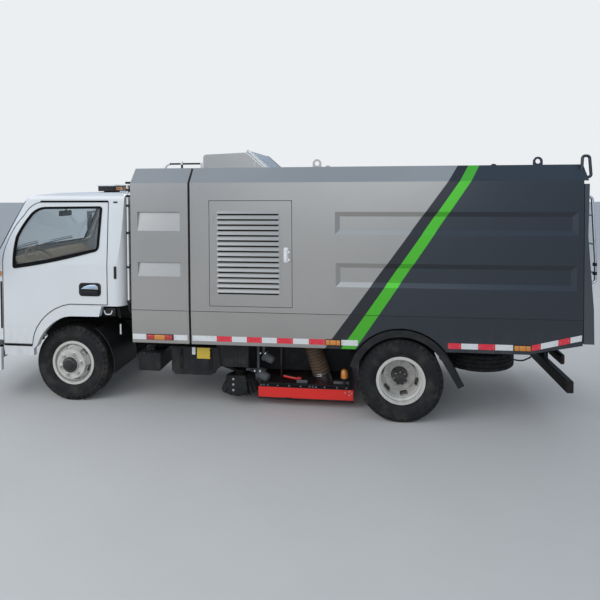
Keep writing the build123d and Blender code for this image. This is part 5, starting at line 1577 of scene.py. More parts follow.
@dataclass
class BodySeams(SubAssembly):
    """Fine seams, gap seals and door furniture of the body's sides."""

    crease_z: float = 1.0
    seam_half: float = 0.0022
    door: tuple[float, float, float, float] = (1.0, 1.8, 1.052, 2.062)
    gap: float = 0.0042
    latch_place: Point = (1.058, 1.0, 1.55)
    hinge_heights: tuple[float, float] = (1.24, 1.88)

    def seam(self, rear: float, front: float, out: int) -> Form:
        """The thin sealed joint along the crease.

        Args:
            rear: Station of its rear end.
            front: Station of its front end.
            out: 1 on the left side, -1 on the right.

        Returns:
            The joint.
        """
        low, high = self.crease_z - self.seam_half, self.crease_z + self.seam_half
        outline = self.side_outline(((rear, low), (front, low), (front, high), (rear, high)))
        return Form.plate(outline, (0, 0.0011, 0)).move((0, 0.9996, 0)).sided(out)

    def window(self, rear: float, front: float, low: float, high: float, y: float) -> list[Vector]:
        """An upright rectangle's outline."""
        return self.side_outline(((rear, low), (front, low), (front, high), (rear, high)), y)

    def door_seal(self, out: int) -> Form:
        """The rubber in the gap round the access door."""
        return Form.frame(self.window(*self.door, 0.978), self.gap, (0, 0.006, 0)).sided(out)

    def shade_backing(self, out: int) -> Form:
        """The dark sheet behind the access door's louvres: a dust mesh, dark also as painted shade seen
        through the louvres' gaps.

        Args:
            out: 1 on the left side, -1 on the right.

        Returns:
            The dark sheet and its rim.
        """
        # A dark sheet behind the louvres, dark partly as painted shade seen through their gaps.
        form = self.block((1.075, 1.76), (0.944, 0.948), (1.15, 2.01))
        rim = Form.frame(self.window(1.07, 1.765, 1.145, 2.015, 0.943), 0.02, (0, 0.03, 0))
        return form.join(rim).sided(out)

    def latch(self, out: int) -> Form:
        """The T-handled lock at the door's rear edge, on its escutcheon.

        Args:
            out: 1 on the left side, -1 on the right.

        Returns:
            The lock.
        """
        spot = self.at(*self.latch_place)

        def part(low: Point, high: Point) -> Form:
            """A block beside the latch's middle."""
            return Form.block(spot + Vector(low), spot + Vector(high))

        plate = part((-0.022, 0, -0.07), (0.022, 0.004, 0.07)).corners(0.01, Axis.Y).soften(0.0012, 1)
        lever = part((-0.01, 0.006, -0.06), (0.01, 0.02, 0.034)).corners(0.008, Axis.Y).soften(0.003, 2)
        boss = Form.drum(spot + Vector((0, 0.003, 0.05)), (0, 1, 0), 0.016, 0.014, 24).soften(0.002, 2)
        for low in (-0.056, 0.016):
            boss.join(part((-0.038, 0.004, low), (-0.014, 0.014, low + 0.022)).soften(0.003, 1))
        return plate.join(lever).join(boss).sided(out)

    def hinge(self, height: float, out: int) -> tuple[Form, Form]:
        """A strap hinge at the door's front edge: leaf with barrel, and leaf on the body.

        Args:
            height: Height of the hinge's middle.
            out: 1 on the left side, -1 on the right.

        Returns:
            The door's leaf and the body's leaf.
        """
        front, zs = self.door[1], (height - 0.038, height + 0.038)
        barrel = self.bar((front, 1.0055, height - 0.04), (front, 1.0055, height + 0.04), 0.0055, 14)
        leaf = self.block((front - 0.046, front - 0.001), (1.0, 1.003), zs).corners(0.008, Axis.Y)
        fixed = self.block((front + 0.001, front + 0.04), (1.0, 1.003), zs).corners(0.008, Axis.Y)
        return leaf.join(barrel).sided(out), fixed.sided(out)

    def build(self) -> None:
        """Builds the seams and the doors' furniture."""
        for side, out in SIDES:
            cabinet = self.piece(f"cabinet_seam_{side}", "chassis", "black_plastic")
            cabinet.add(self.seam(2.0075, 2.5795, out)).build()
            hopper = self.piece(f"hopper_seam_{side}", "hopper", "black_plastic", "cabinet_paint")
            hopper.add(self.seam(-1.5745, 1.9845, out)).add(self.door_seal(out))
            door = self.piece(f"access_door_furniture_{side}", f"access_door_{side}", "white_gloss",
                              "cabinet_paint", "black_plastic")
            # The sheet behind the louvres is partly painted shade seen through their gaps.
            door.add(self.latch(out)).add(self.shade_backing(out), 2)
            for height in self.hinge_heights:
                leaf, fixed = self.hinge(height, out)
                door.add(leaf, 1)
                hopper.add(fixed, 1)
            hopper.build()
            door.build()


def arc_points(start: Point, middle: Point, end: Point, parts: int) -> list[tuple[float, float]]:
    """Points between the ends of an arc through three points.

    Args:
        start: First point.
        middle: A point on the arc.
        end: Last point.
        parts: Chords along the arc.

    Returns:
        The points between start and end.
    """
    (ax, ay), (bx, by), (cx, cy) = start, middle, end
    twice = 2 * (ax * (by - cy) + bx * (cy - ay) + cx * (ay - by))
    squares = (ax * ax + ay * ay, bx * bx + by * by, cx * cx + cy * cy)
    mx = (squares[0] * (by - cy) + squares[1] * (cy - ay) + squares[2] * (ay - by)) / twice
    my = (squares[0] * (cx - bx) + squares[1] * (ax - cx) + squares[2] * (bx - ax)) / twice
    radius = math.hypot(ax - mx, ay - my)
    first, last = math.atan2(ay - my, ax - mx), math.atan2(cy - my, cx - mx)
    swing = (last - first) % math.tau
    if (math.atan2(by - my, bx - mx) - first) % math.tau > swing:
        swing -= math.tau
    angles = (first + swing * step / parts for step in range(1, parts))
    return [(mx + radius * math.cos(angle), my + radius * math.sin(angle)) for angle in angles]


def traced(rows: Sequence[Point], parts: int = 6) -> list[tuple[float, float]]:
    """Points of a closed outline.

    Args:
        rows: Corners, or corners each with a point that the arc to it passes.
        parts: Chords per arc.

    Returns:
        The outline's points.
    """
    points: list[tuple[float, float]] = []
    here = rows[-1][:2]
    for row in rows:
        if len(row) == 4:
            points.extend(arc_points(here, row[2:], row[:2], parts))
        here = row[:2]
        points.append(here)
    return points


@dataclass
class CabDress(SubAssembly):
    """What the cab's trim shares: its outlines and the shape of its sides."""

    half_width: float = 0.93
    shoulder_z: float = 1.42
    top_z: float = 2.137
    tumblehome: float = 0.058
    cowl_z: float = 1.45
    rake: float = 0.6
    corner_x: float = 3.96
    corner_radius: float = 0.23
    door: tuple[tuple[float, ...], ...] = (
        (2.865, 1.022), (2.865, 2.045), (3.59, 2.045), (3.76, 1.918, 3.688, 2.003),
        (3.948, 1.62, 3.868, 1.782), (3.985, 1.45, 3.974, 1.538), (3.985, 0.605), (3.668, 0.605),
        (3.617, 0.784, 3.654, 0.698), (3.26, 1.022, 3.458, 0.949),
    )
    window: tuple[tuple[float, ...], ...] = (
        (2.932, 1.972), (2.958, 1.999, 2.94, 1.991), (3.54, 1.994), (3.712, 1.897, 3.635, 1.967),
        (3.841, 1.695, 3.789, 1.789), (3.869, 1.404, 3.865, 1.56), (3.838, 1.381, 3.861, 1.384),
        (3.012, 1.55, 3.514, 1.434), (2.956, 1.602, 2.973, 1.567),
    )

    def skin_y(self, station: float, height: float) -> float:
        """Half width of the cab's side at a station and a height.

        Args:
            station: Station forward from the rear axle.
            height: Height above the ground.

        Returns:
            The half width.
        """
        above = max(0.0, height - self.shoulder_z) / (self.top_z - self.shoulder_z)
        wide = self.half_width - self.tumblehome * above
        past = station - self.corner_x + self.rake * max(0.0, height - self.cowl_z)
        if past <= 0:
            return wide
        past = min(past, self.corner_radius)
        bent = self.half_width - self.corner_radius + math.sqrt(self.corner_radius ** 2 - past ** 2)
        return min(wide, bent)

    def draped(self, form: Form, out: int) -> Form:
        """Lays a form on the cab's side; its y is the height above the skin.

        Args:
            form: The form.
            out: 1 on the left side, -1 on the right.

        Returns:
            The form.
        """
        for vert in form.bm.verts:
            vert.co.y += self.skin_y(vert.co.x - self.layout.rear_axle_x, vert.co.z)
        form.bm.normal_update()
        return form.sided(out)

    def patch(self, rear: float, front: float, low: float, high: float, proud: float,
              radius: float = 0.0) -> Form:
        """An upright rectangle from just under the skin to a height above it, its corners rounded."""
        form = self.block((rear, front), (-0.004, proud), (low, high))
        return form.corners(radius, Axis.Y) if radius else form


@dataclass
class CabTrim(CabDress):
    """Rubber seals, gap seals, handles and small fittings on the cab's sides."""

    seal_width: float = 0.024
    gap: float = 0.0044
    handle: tuple[float, float, float, float] = (2.931, 3.161, 1.107, 1.24)
    window_foot: Profile = (
        (3.835, 1.383), (3.514, 1.436), (3.012, 1.552), (2.99, 1.58),
        (3.02, 1.574), (3.514, 1.468), (3.835, 1.416),
    )
    # The first row is a dark strip at the door's top gap, painted shadow of the drip rail.
    drip_shadow_and_strips: tuple[tuple[float, ...], ...] = (
        (2.868, 3.588, 2.044, 2.06, 0.007), (3.672, 3.98, 0.586, 0.6035, 0.005),
        (2.772, 2.812, 2.036, 2.05, 0.006),
    )
    vent_slats: int = 7

    def window_seal(self, out: int) -> Form:
        """The seal round the door's window, wider along its foot.

        Args:
            out: 1 on the left side, -1 on the right.

        Returns:
            The seal.
        """
        outline = self.side_outline(traced(self.window), -0.01)
        seal = Form.frame(outline, self.seal_width, (0, 0.016, 0), grow=0.004).divided(0.1)
        foot = Form.plate(self.side_outline(self.window_foot, -0.01), (0, 0.0155, 0)).divided(0.12)
        return self.draped(seal.join(foot), out)

    def gap_seal(self, out: int) -> Form:
        """The dark rubber in the gap round the door, with a thin dark lip on the body beside it, painted
        shade of the door's rounded edges.

        Args:
            out: 1 on the left side, -1 on the right.

        Returns:
            The seal and its lip.
        """
        band = Form.frame(self.side_outline(traced(self.door), -0.012), self.gap, (0, 0.009, 0))
        # Dark lip on the body beside the gap: painted shade of the door's rounded edges.
        edge_shade_lip = Form.frame(self.side_outline(traced(self.door), -0.001), 0.003, (0, 0.0032, 0), grow=0.0034)
        return self.draped(band.join(edge_shade_lip).divided(0.06), out)

    def drip_shadow_and_guard(self, out: int) -> Form:
        """A dark strip above the door, painted shadow of the drip rail; the guard along the sill's edge; and
        a clip.

        Args:
            out: 1 on the left side, -1 on the right.

        Returns:
            The strips and the clip.
        """
        form = Form()
        for row in self.drip_shadow_and_strips:
            form.join(self.patch(*row))
        return self.draped(form.divided(0.08), out)

    def swage(self, out: int) -> Form:
        """The low pressed line across the door's foot."""
        return self.draped(self.patch(3.628, 3.94, 0.783, 0.797, 0.0022).divided(0.08), out)

    def handle_parts(self, out: int) -> tuple[Form, Form]:
        """The handle: its dark bezel with lever and lock, and its bright bowl.

        Args:
            out: 1 on the left side, -1 on the right.

        Returns:
            The dark parts and the bowl.
        """
        rear, front, low, high = self.handle
        bezel = self.patch(rear, front, low, high, 0.006, 0.034)
        bezel.sink((0, 1, 0), 0.016, 0.003).soften(0.0012, 1)
        start, end = rear + 0.024, front - 0.02
        lever = self.patch(start, end, low + 0.02, low + 0.058, 0.02, 0.012).soften(0.005, 3)
        ridge = self.patch(start, end, low + 0.061, low + 0.067, 0.01)
        lock = Form.drum(self.at(rear + 0.03, 0.005, low + 0.04), (0, 1, 0), 0.008, 0.018, 20)
        foot = rear + 0.026
        outline = traced((
            (foot, 1.178), (end, 1.178), (front - 0.062, 1.204, front - 0.03, 1.186),
            (rear + 0.075, 1.222, rear + 0.11, 1.22), (foot, 1.178, rear + 0.036, 1.21),
        ), 5)
        bowl = Form.plate(self.side_outline(outline, 0.0015), (0, 0.01, 0)).soften(0.003, 3)
        return self.draped(bezel.join(lever).join(ridge).join(lock), out), self.draped(bowl, out)

    def corner_vent(self, out: int) -> Form:
        """The vent on the cab's rear corner: slats in a dark frame.

        Args:
            out: 1 on the left side, -1 on the right.

        Returns:
            The vent.
        """
        frame = self.patch(2.768, 2.792, 1.285, 1.408, 0.006, 0.005)
        for row in range(self.vent_slats):
            low = 1.296 + row * 0.0148
            frame.join(self.patch(2.771, 2.789, low, low + 0.006, 0.01))
        return self.draped(frame, out)

    def lock(self, out: int) -> tuple[Form, Form]:
        """The cab lock below the rear corner: a dark box with a pale striker loop.

        Args:
            out: 1 on the left side, -1 on the right.

        Returns:
            The box and the loop.
        """
        box = self.block((2.8, 2.925), (0.845, 0.895), (0.905, 0.985)).soften(0.004, 2)
        for station in (2.775, 2.79):
            box.join(self.bar((station, 0.865, 0.985), (station - 0.014, 0.86, 0.88), 0.007))
        loop = ((2.912, 0.962), (2.904, 0.922), (2.836, 0.922), (2.83, 0.962))
        path = [(station, 0.903, z) for station, z in loop]
        return box.sided(out), self.pipe(path, 0.0055, 0.014).sided(out)

    def corner_strip(self, out: int) -> Form:
        """The dark guard low on the cab's front corner."""
        return self.draped(self.patch(3.996, 4.016, 0.76, 1.24, 0.005, 0.004).divided(0.06), out)

    def build(self) -> None:
        """Builds the trim of both sides."""
        for side, out in SIDES:
            bezel, bowl = self.handle_parts(out)
            door = self.piece(f"door_furniture_{side}", f"door_{side}", "seal_rubber", "chrome", "cab_paint",
                              "black_plastic")
            door.add(self.window_seal(out)).add(bezel, 3).add(bowl, 1).add(self.swage(out), 2).build()
            box, loop = self.lock(out)
            fixed = self.piece(f"door_seals_{side}", "cab", "seal_rubber", "black_plastic", "white_gloss")
            fixed.add(self.gap_seal(out)).add(self.drip_shadow_and_guard(out)).add(self.corner_vent(out), 1)
            fixed.add(self.corner_strip(out), 1).add(box, 1).add(loop, 2).build()


@dataclass
class CabFront(CabDress):
    """The cab's window seals, wipers, mirror glasses, repeaters, grille frame and lamp bar."""

    screen: Profile = ((-0.862, 1.478), (0.862, 1.478), (0.793, 2.052), (-0.793, 2.052))
    back_window: tuple[float, float, float] = (1.1, 0.43, 1.73)
    rear_x: float = 2.69
    grille: tuple[float, float, float] = (1.04, 0.23, 0.905)
    mirror: tuple[float, float, float] = (4.12, 1.085, 1.67)
    bar_place: tuple[float, float, float] = (3.12, 0.43, 2.137)
    wiper_reach: float = 0.62
    wiper_foot: float = 1.484

    def rounded(self, half_width: float, half_height: float, radius: float, x: float,
                z: float) -> list[Vector]:
        """Outline of a rounded rectangle that faces along the truck.

        Args:
            half_width: Half its width.
            half_height: Half its height.
            radius: Radius of its corners.
            x: Its place along the truck.
            z: Height of its middle.

        Returns:
            Its points in order.
        """
        points = []
        for turn, (side, lift) in enumerate(((1, 1), (-1, 1), (-1, -1), (1, -1))):
            for step in range(5):
                angle = math.radians(90 * turn + 22.5 * step)
                points.append(Vector((
                    x, side * (half_width - radius) + radius * math.cos(angle),
                    z + lift * (half_height - radius) + radius * math.sin(angle),
                )))
        return points

    def laid(self, form: Form, *names: str) -> Form:
        """Lays a form on the front of some nodes."""
        return Skin(self.nodes, *names).lay(form, 0, 1)

    def screen_seal(self) -> Form:
        """The windscreen's seal, laid on the raked front.

        Returns:
            The seal.
        """
        outline = [Vector((0.0, y, z)) for y, z in self.screen]
        form = Form.frame(outline, 0.03, (0.01, 0, 0), grow=0.004).divided(0.07)
        return self.laid(form, "cab_sides", "cab_windows", "cab_roof", "cab_front")

    def back_seal(self) -> Form:
        """The rear window's seal.

        Returns:
            The seal.
        """
        width, height, middle = self.back_window
        outline = self.rounded(width / 2, height / 2, 0.06, self.at(self.rear_x, 0, 0).x + 0.016, middle)
        return Form.frame(outline, 0.02, (-0.021, 0, 0), grow=0.004)

    def wipers(self) -> Form:
        """Two wipers parked at the windscreen's foot.

        Returns:
            Both wipers with their pivots.
        """
        skin = Skin(self.nodes, "cab_windows", "cab_sides", "cab_front")
        form = Form()
        for y in (self.wiper_reach, -0.02):
            laid = []
            for part in (0.0, 0.2, 0.4, 0.6, 0.8, 1.0):
                stub = Form()
                stub.bm.verts.new((0.02, y - self.wiper_reach * part, self.wiper_foot + 0.05 * part ** 0.6))
                laid.append(skin.lay(stub, 0, 1).bm.verts[:][0].co.copy())
                stub.bm.free()
            form.join(Form.pipe(laid, 0.006, 0.02))
            pivot = Form.drum(laid[0] - Vector((0.01, 0, 0)), (0.5, 0, 1), 0.016, 0.024, 20)
            form.join(pivot.soften(0.003, 1))
            form.join(Form.pipe([point + Vector((0.004, 0, 0.02)) for point in laid[2:]], 0.004, 0.02))
        return form

    def mirror_glass(self) -> Form:
        """The two mirrors' glasses, facing back.

        Returns:
            Both glasses.
        """
        station, y, z = self.mirror
        x = self.at(station - 0.035, 0, 0).x - 0.0025
        form = Form()
        for _, out in SIDES:
            outline = [point + Vector((0, y * out, 0)) for point in self.rounded(0.078, 0.172, 0.02, x, z)]
            form.join(Form.plate(outline, (0.004, 0, 0)))
        return form

    def grille_frame(self) -> Form:
        """A rim round the grille, laid on the front.

        Returns:
            The rim.
        """
        width, height, middle = self.grille
        outline = self.rounded(width / 2, height / 2, 0.03, 0.0, middle)
        form = Form.frame(outline, 0.018, (0.008, 0, 0), grow=0.014).divided(0.06)
        return self.laid(form, "cab_front", "grille")

    def repeaters(self) -> Form:
        """Small amber lamps on the cab's front corners.

        Returns:
            Both lamps.
        """
        form = Form()
        for _, out in SIDES:
            lens = self.patch(4.0, 4.07, 1.295, 1.345, 0.02, 0.012).divided(0.02)
            form.join(self.draped(lens.soften(0.003, 2), out))
        return form

    def roof_bar(self) -> tuple[Form, Form, Form]:
        """The low lamp bar across the cab's roof: dark housing, pale lid and amber ends.

        Returns:
            The housing, the lid and the lenses.
        """
        station, half, z = self.bar_place

        def across(reach: float, middle: float, side: float, low: float, high: float) -> Form:
            """A block across the bar: half length, middle, half width, and heights above the roof."""
            return self.block((station - reach, station + reach), (middle - side, middle + side),
                              (z + low, z + high))

        housing = across(0.1, 0.0, half, 0.012, 0.066).corners(0.02, Axis.Z).soften(0.003, 1)
        for y in (-0.3, 0.3):
            housing.join(across(0.07, y, 0.05, -0.006, 0.014).soften(0.003, 1))
        lid = across(0.112, 0.0, half + 0.012, 0.066, 0.082).corners(0.028, Axis.Z).soften(0.005, 2)
        lens = Form()
        for side in (1, -1):
            for cell in range(2):
                y = side * (half - 0.1 - 0.17 * cell)
                lens.join(across(0.1025, y, 0.075, 0.022, 0.058).soften(0.004, 2))
        return housing, lid, lens

    def build(self) -> None:
        """Builds the fittings."""
        piece = self.piece("cab_fittings", "cab", "seal_rubber", "black_plastic", "chrome", "amber_lens",
                           "cab_paint")
        piece.add(self.screen_seal()).add(self.back_seal()).add(self.wipers(), 1).add(self.mirror_glass(), 2)
        piece.add(self.grille_frame(), 1).add(self.repeaters(), 3)
        housing, lid, lens = self.roof_bar()
        piece.add(housing, 1).add(lid, 4).add(lens, 3).build()


@dataclass
class Lamps(SubAssembly):
    """Headlamps and tail lamps, in place of their plain blocks."""

    head: tuple[float, float, float] = (4.245, 0.56, 0.425)
    tail: tuple[float, float, float] = (-1.528, 0.56, 0.56)
    tail_cells: tuple[tuple[float, float, int], ...] = ((0.112, 0.092, 3), (0.005, 0.11, 2),
                                                        (-0.106, 0.1, 1))

    def cell(self, place: Vector, width: float, height: float, facing: int, depth: float) -> Form:
        """One lens with rounded corners and a domed face.

        Args:
            place: Its middle.
            width: Its width.
            height: Its height.
            facing: 1 forward, -1 backward.
            depth: How far the lens stands out.

        Returns:
            The lens.
        """
        half = Vector((0, width / 2, height / 2))
        form = Form.block(place - half, place + half + Vector((facing * depth, 0, 0)))
        return form.corners(min(width, height) * 0.16, Axis.X).soften(0.004, 3)

    def base(self, stations: tuple[float, float], y: float, half: float, z: float,
             half_height: float) -> Form:
        """The block behind a lamp's lenses."""
        return self.block(stations, (y - half, y + half), (z - half_height, z + half_height))

    def build(self) -> None:
        """Builds all four lamp units as one piece."""
        piece = self.piece("lamp_units", "chassis", "black_plastic", "clear_lens", "amber_lens", "red_lens",
                           "chrome")
        for _, out in SIDES:
            station, y, z = self.head
            base = self.base((station, station + 0.026), y * out, 0.115, z, 0.055)
            piece.add(base.corners(0.018, Axis.X).sink((1, 0, 0), 0.006, 0.006).soften(0.001, 1))
            face = self.at(station + 0.018, y * out, z)
            bulb = face + Vector((0, -0.03 * out, 0))
            piece.add(self.cell(bulb, 0.15, 0.092, 1, 0.018), 1).add(Form.ball(bulb, 0.018, 16), 4)
            piece.add(self.cell(face + Vector((0, 0.08 * out, 0)), 0.054, 0.092, 1, 0.018), 2)
            station, y, z = self.tail
            base = self.base((station + 0.008, station + 0.036), y * out, 0.165, z, 0.0475)
            piece.add(base.corners(0.012, Axis.X).soften(0.002, 1))
            face = self.at(station + 0.012, y * out, z)
            for offset, width, finish in self.tail_cells:
                piece.add(self.cell(face + Vector((0, offset * out, 0)), width, 0.082, -1, 0.012), finish)
        piece.build(replaces=("lamps",))


@dataclass(frozen=True)
class Stuffing:
    """Puffs padded forms up with cloth simulation, then presses their seams in."""

    voxel: float = 0.013
    pressure: float = 4.0
    frames: int = 20
    cap: float = 0.012
    seam_depth: float = 0.007
    seam_width: float = 0.008

    def carrier(self, form: Form) -> bpy.types.Object:
        """A working object that holds a form's mesh.

        Args:
            form: The form.

        Returns:
            The working object.
        """
        mesh = bpy.data.meshes.new("stuffing")
        form.bm.to_mesh(mesh)
        made = bpy.data.objects.new("stuffing", mesh)
        bpy.context.scene.collection.objects.link(made)
        return made

    def result(self, made: bpy.types.Object) -> Form:
        """What an object's modifiers make of its mesh; the object is removed.

        Args:
            made: The object.

        Returns:
            The form.
        """
        graph = bpy.context.evaluated_depsgraph_get()
        mesh = bpy.data.meshes.new_from_object(made.evaluated_get(graph))
        form = Form()
        form.bm.from_mesh(mesh)
        bpy.data.meshes.remove(mesh)
        bpy.data.objects.remove(made)
        return form

    def remeshed(self, form: Form) -> Form:
        """An even mesh of the form.

        Args:
            form: The form.

        Returns:
            The form.
        """
        made = self.carrier(form)
        remesh = made.modifiers.new("even", "REMESH")
        remesh.mode = "VOXEL"
        remesh.voxel_size = self.voxel
        return self.result(made)

    def puffed(self, form: Form) -> Form:
        """Inflates the form as stuffed cloth.

        Args:
            form: A closed form, a little smaller than the finished pad.

        Returns:
            The pad, no point of which has moved by more than the cap.
        """
        even = self.remeshed(form)
        form.bm.free()
        made = self.carrier(even)
        cloth = made.modifiers.new("cloth", "CLOTH")
        cloth.settings.use_pressure = True
        cloth.settings.uniform_pressure_force = self.pressure
        cloth.settings.effector_weights.gravity = 0.0
        cloth.point_cache.frame_start = 1
        cloth.point_cache.frame_end = self.frames
        for frame in range(1, self.frames + 1):
            bpy.context.scene.frame_set(frame)
        pad = self.result(made)
        bpy.context.scene.frame_set(1)
        for vert, rest in zip(pad.bm.verts, even.bm.verts):
            moved = vert.co - rest.co
            if moved.length > self.cap:
                vert.co = rest.co + moved.normalized() * self.cap
        even.bm.free()
        bmesh.ops.subdivide_edges(pad.bm, edges=pad.bm.edges, cuts=1, use_grid_fill=True, smooth=0.7)
        return pad

    def pressed(self, form: Form, seams: Sequence[tuple[Vector, Vector]]) -> Form:
        """Presses sewn seams in where planes cut the pad.

        Args:
            form: The pad.
            seams: A point and the direction of each seam's plane.

        Returns:
            The pad.
        """
        form.bm.normal_update()
        for vert in form.bm.verts:
            near = min(abs((vert.co - point).dot(direction)) for point, direction in seams)
            vert.co -= vert.normal * self.seam_depth * math.exp(-(near / self.seam_width) ** 2)
        return form


@dataclass
class CabInterior(CabDress):
    """Padded seats with belts, the steering wheel's grip, sun visors, mirror and door linings."""

    stuffing: Stuffing = Stuffing()
    seat_y: float = 0.6
    cushion: Profile = ((3.078, 1.066), (3.468, 1.066), (3.484, 1.186), (3.462, 1.208), (3.078, 1.176))
    back: Profile = ((2.986, 1.19), (3.04, 1.21), (2.942, 1.62), (2.858, 1.62))
    restraint: Profile = ((2.862, 1.672), (2.932, 1.672), (2.924, 1.846), (2.86, 1.846))
    wheel: tuple[float, float] = (3.745, 1.405)
    wheel_lean: float = 45.0
    hub_pad: Profile = ((0.0, -0.026), (0.046, -0.022), (0.06, -0.006), (0.058, 0.004), (0.0, 0.004))
    lining: Profile = ((3.08, 1.1), (3.82, 1.1), (3.89, 1.18), (3.88, 1.345), (3.52, 1.4), (3.08, 1.49))

    def pad(self, profile: Profile, out: int, half: float, soft: float) -> Form:
        """One puffed pad: a side profile across the seat, its edges rounded."""
        outline = self.side_outline(profile, self.seat_y * out - half)
        return self.stuffing.puffed(Form.plate(outline, (0, 2 * half, 0)).soften(soft, 3))

    def seat(self, out: int) -> Form:
        """One seat: its seamed cushion and back, and its head restraint.

        Args:
            out: 1 on the left side, -1 on the right.

        Returns:
            The pads together.
        """

        def along(offset: float) -> list[tuple[Vector, Vector]]:
            """The planes of two seams along a pad."""
            return [(Vector((0, self.seat_y * out + side * offset, 0)), Axis.Y.vector) for side in (1, -1)]

        base = self.pad(self.cushion, out, 0.214, 0.022)
        self.stuffing.pressed(base, along(0.135) + [(self.at(x, 0, 0), Axis.X.vector) for x in (3.2, 3.32)])
        back = self.pad(self.back, out, 0.208, 0.02)
        self.stuffing.pressed(back, along(0.13) + [(Vector((0, 0, z)), Axis.Z.vector) for z in (1.33, 1.45)])
        return base.join(back).join(self.pad(self.restraint, out, 0.13, 0.02))

    def posts(self, out: int) -> Form:
        """The head restraint's two posts and the seat's dark runners.

        Args:
            out: 1 on the left side, -1 on the right.

        Returns:
            Posts and runners.
        """
        form = Form()
        middle = self.seat_y * out
        for y in (middle + 0.06, middle - 0.06):
            form.join(self.bar((2.896, y, 1.6), (2.896, y, 1.7), 0.006))
        for y in (middle + 0.17, middle - 0.17):
            form.join(self.block((3.01, 3.47), (y - 0.016, y + 0.016), (1.053, 1.07)))
        return form

    def belt(self, out: int) -> Form:
        """The belt from its guide on the pillar down to its reel, with the tongue at rest.

        Args:
            out: 1 on the left side, -1 on the right.

        Returns:
            The strap, its guide and its tongue.
        """
        y = 0.815 * out
        path = ((2.8, y, 1.9), (2.812, y + 0.006 * out, 1.6), (2.806, y + 0.01 * out, 1.06))
        strap = Form()
        for low, high in zip(path[1:], path):
            edges = ((low, -0.023), (low, 0.023), (high, 0.023), (high, -0.023))
            outline = [self.at(station + shift, side, z) for (station, side, z), shift in edges]
            strap.join(Form.plate(outline, (0, 0.0014, 0)))
        guide = self.block((2.77, 2.832), (y - 0.012, y + 0.012), (1.886, 1.916)).soften(0.004, 2)
        tongue = self.block((2.786, 2.838), (y - 0.006, y + 0.014), (1.33, 1.372)).soften(0.003, 2)
        return strap.join(guide).join(tongue)

    def steering(self) -> Form:
        """The grip round the steering wheel's rim, and the pad over its hub.

        Returns:
            Grip and pad.
        """
        lean = math.radians(self.wheel_lean)
        axis = Vector((math.cos(lean), 0, -math.sin(lean)))
        centre = self.at(self.wheel[0], self.seat_y, self.wheel[1])
        profile = [(0.2025 + 0.0148 * math.cos(a), 0.011 + 0.0132 * math.sin(a))
                   for a in (math.tau * step / 12 for step in range(12))]
        return Form.lathe(profile, centre, axis, 56).join(Form.lathe(self.hub_pad, centre, axis, 32, False))

    def overhead(self) -> tuple[Form, Form]:
        """Sun visors under the roof's front edge, and the mirror between them.

        Returns:
            The visors, and the mirror.
        """
        visors = Form()
        for _, out in SIDES:
            visor = self.block((3.5, 3.655), (0.14, 0.62), (2.004, 2.02)).soften(0.006, 2)
            visors.join(visor.turn(12, (0, 1, 0), self.at(3.655, 0, 2.012)).sided(out))
        mirror = self.block((3.848, 3.87), (-0.12, 0.12), (1.853, 1.918))
        mirror.corners(0.02, Axis.X).soften(0.004, 2)
        return visors, mirror.join(self.bar((3.858, 0, 1.9), (3.812, 0, 2.03), 0.008))

    def door_lining(self, out: int) -> tuple[Form, Form]:
        """The moulded lining inside a door with its arm rest, and the pull.

        Args:
            out: 1 on the left side, -1 on the right.

        Returns:
            The lining, and the pull.
        """
        panel = Form.plate(self.side_outline(self.lining, 0.868), (0, 0.014, 0)).soften(0.004, 2)
        panel.join(self.block((3.2, 3.62), (0.838, 0.872), (1.215, 1.262)).soften(0.01, 3))
        pull = self.block((3.66, 3.76), (0.86, 0.872), (1.255, 1.3)).corners(0.012, Axis.Y)
        return panel.sided(out), pull.sided(out)

    def build(self) -> None:
        """Builds the interior's pieces."""
        pads = self.piece("seat_pads", "cab", "seat_fabric")
        fittings = self.piece("seat_fittings", "cab", "black_plastic", "bright_steel", "tan_plastic")
        for _, out in SIDES:
            pads.add(self.seat(out))
            fittings.add(self.posts(out), 1).add(self.belt(out))
        made = pads.build(replaces=("seats",), crease=75)
        visors, mirror = self.overhead()
        fittings.add(visors, 2).add(mirror).add(self.steering(), 2).build()
        for side, out in SIDES:
            panel, pull = self.door_lining(out)
            lining = self.piece(f"door_lining_{side}", f"door_{side}", "tan_plastic", "black_plastic")
            lining.add(panel).add(pull, 1).build()


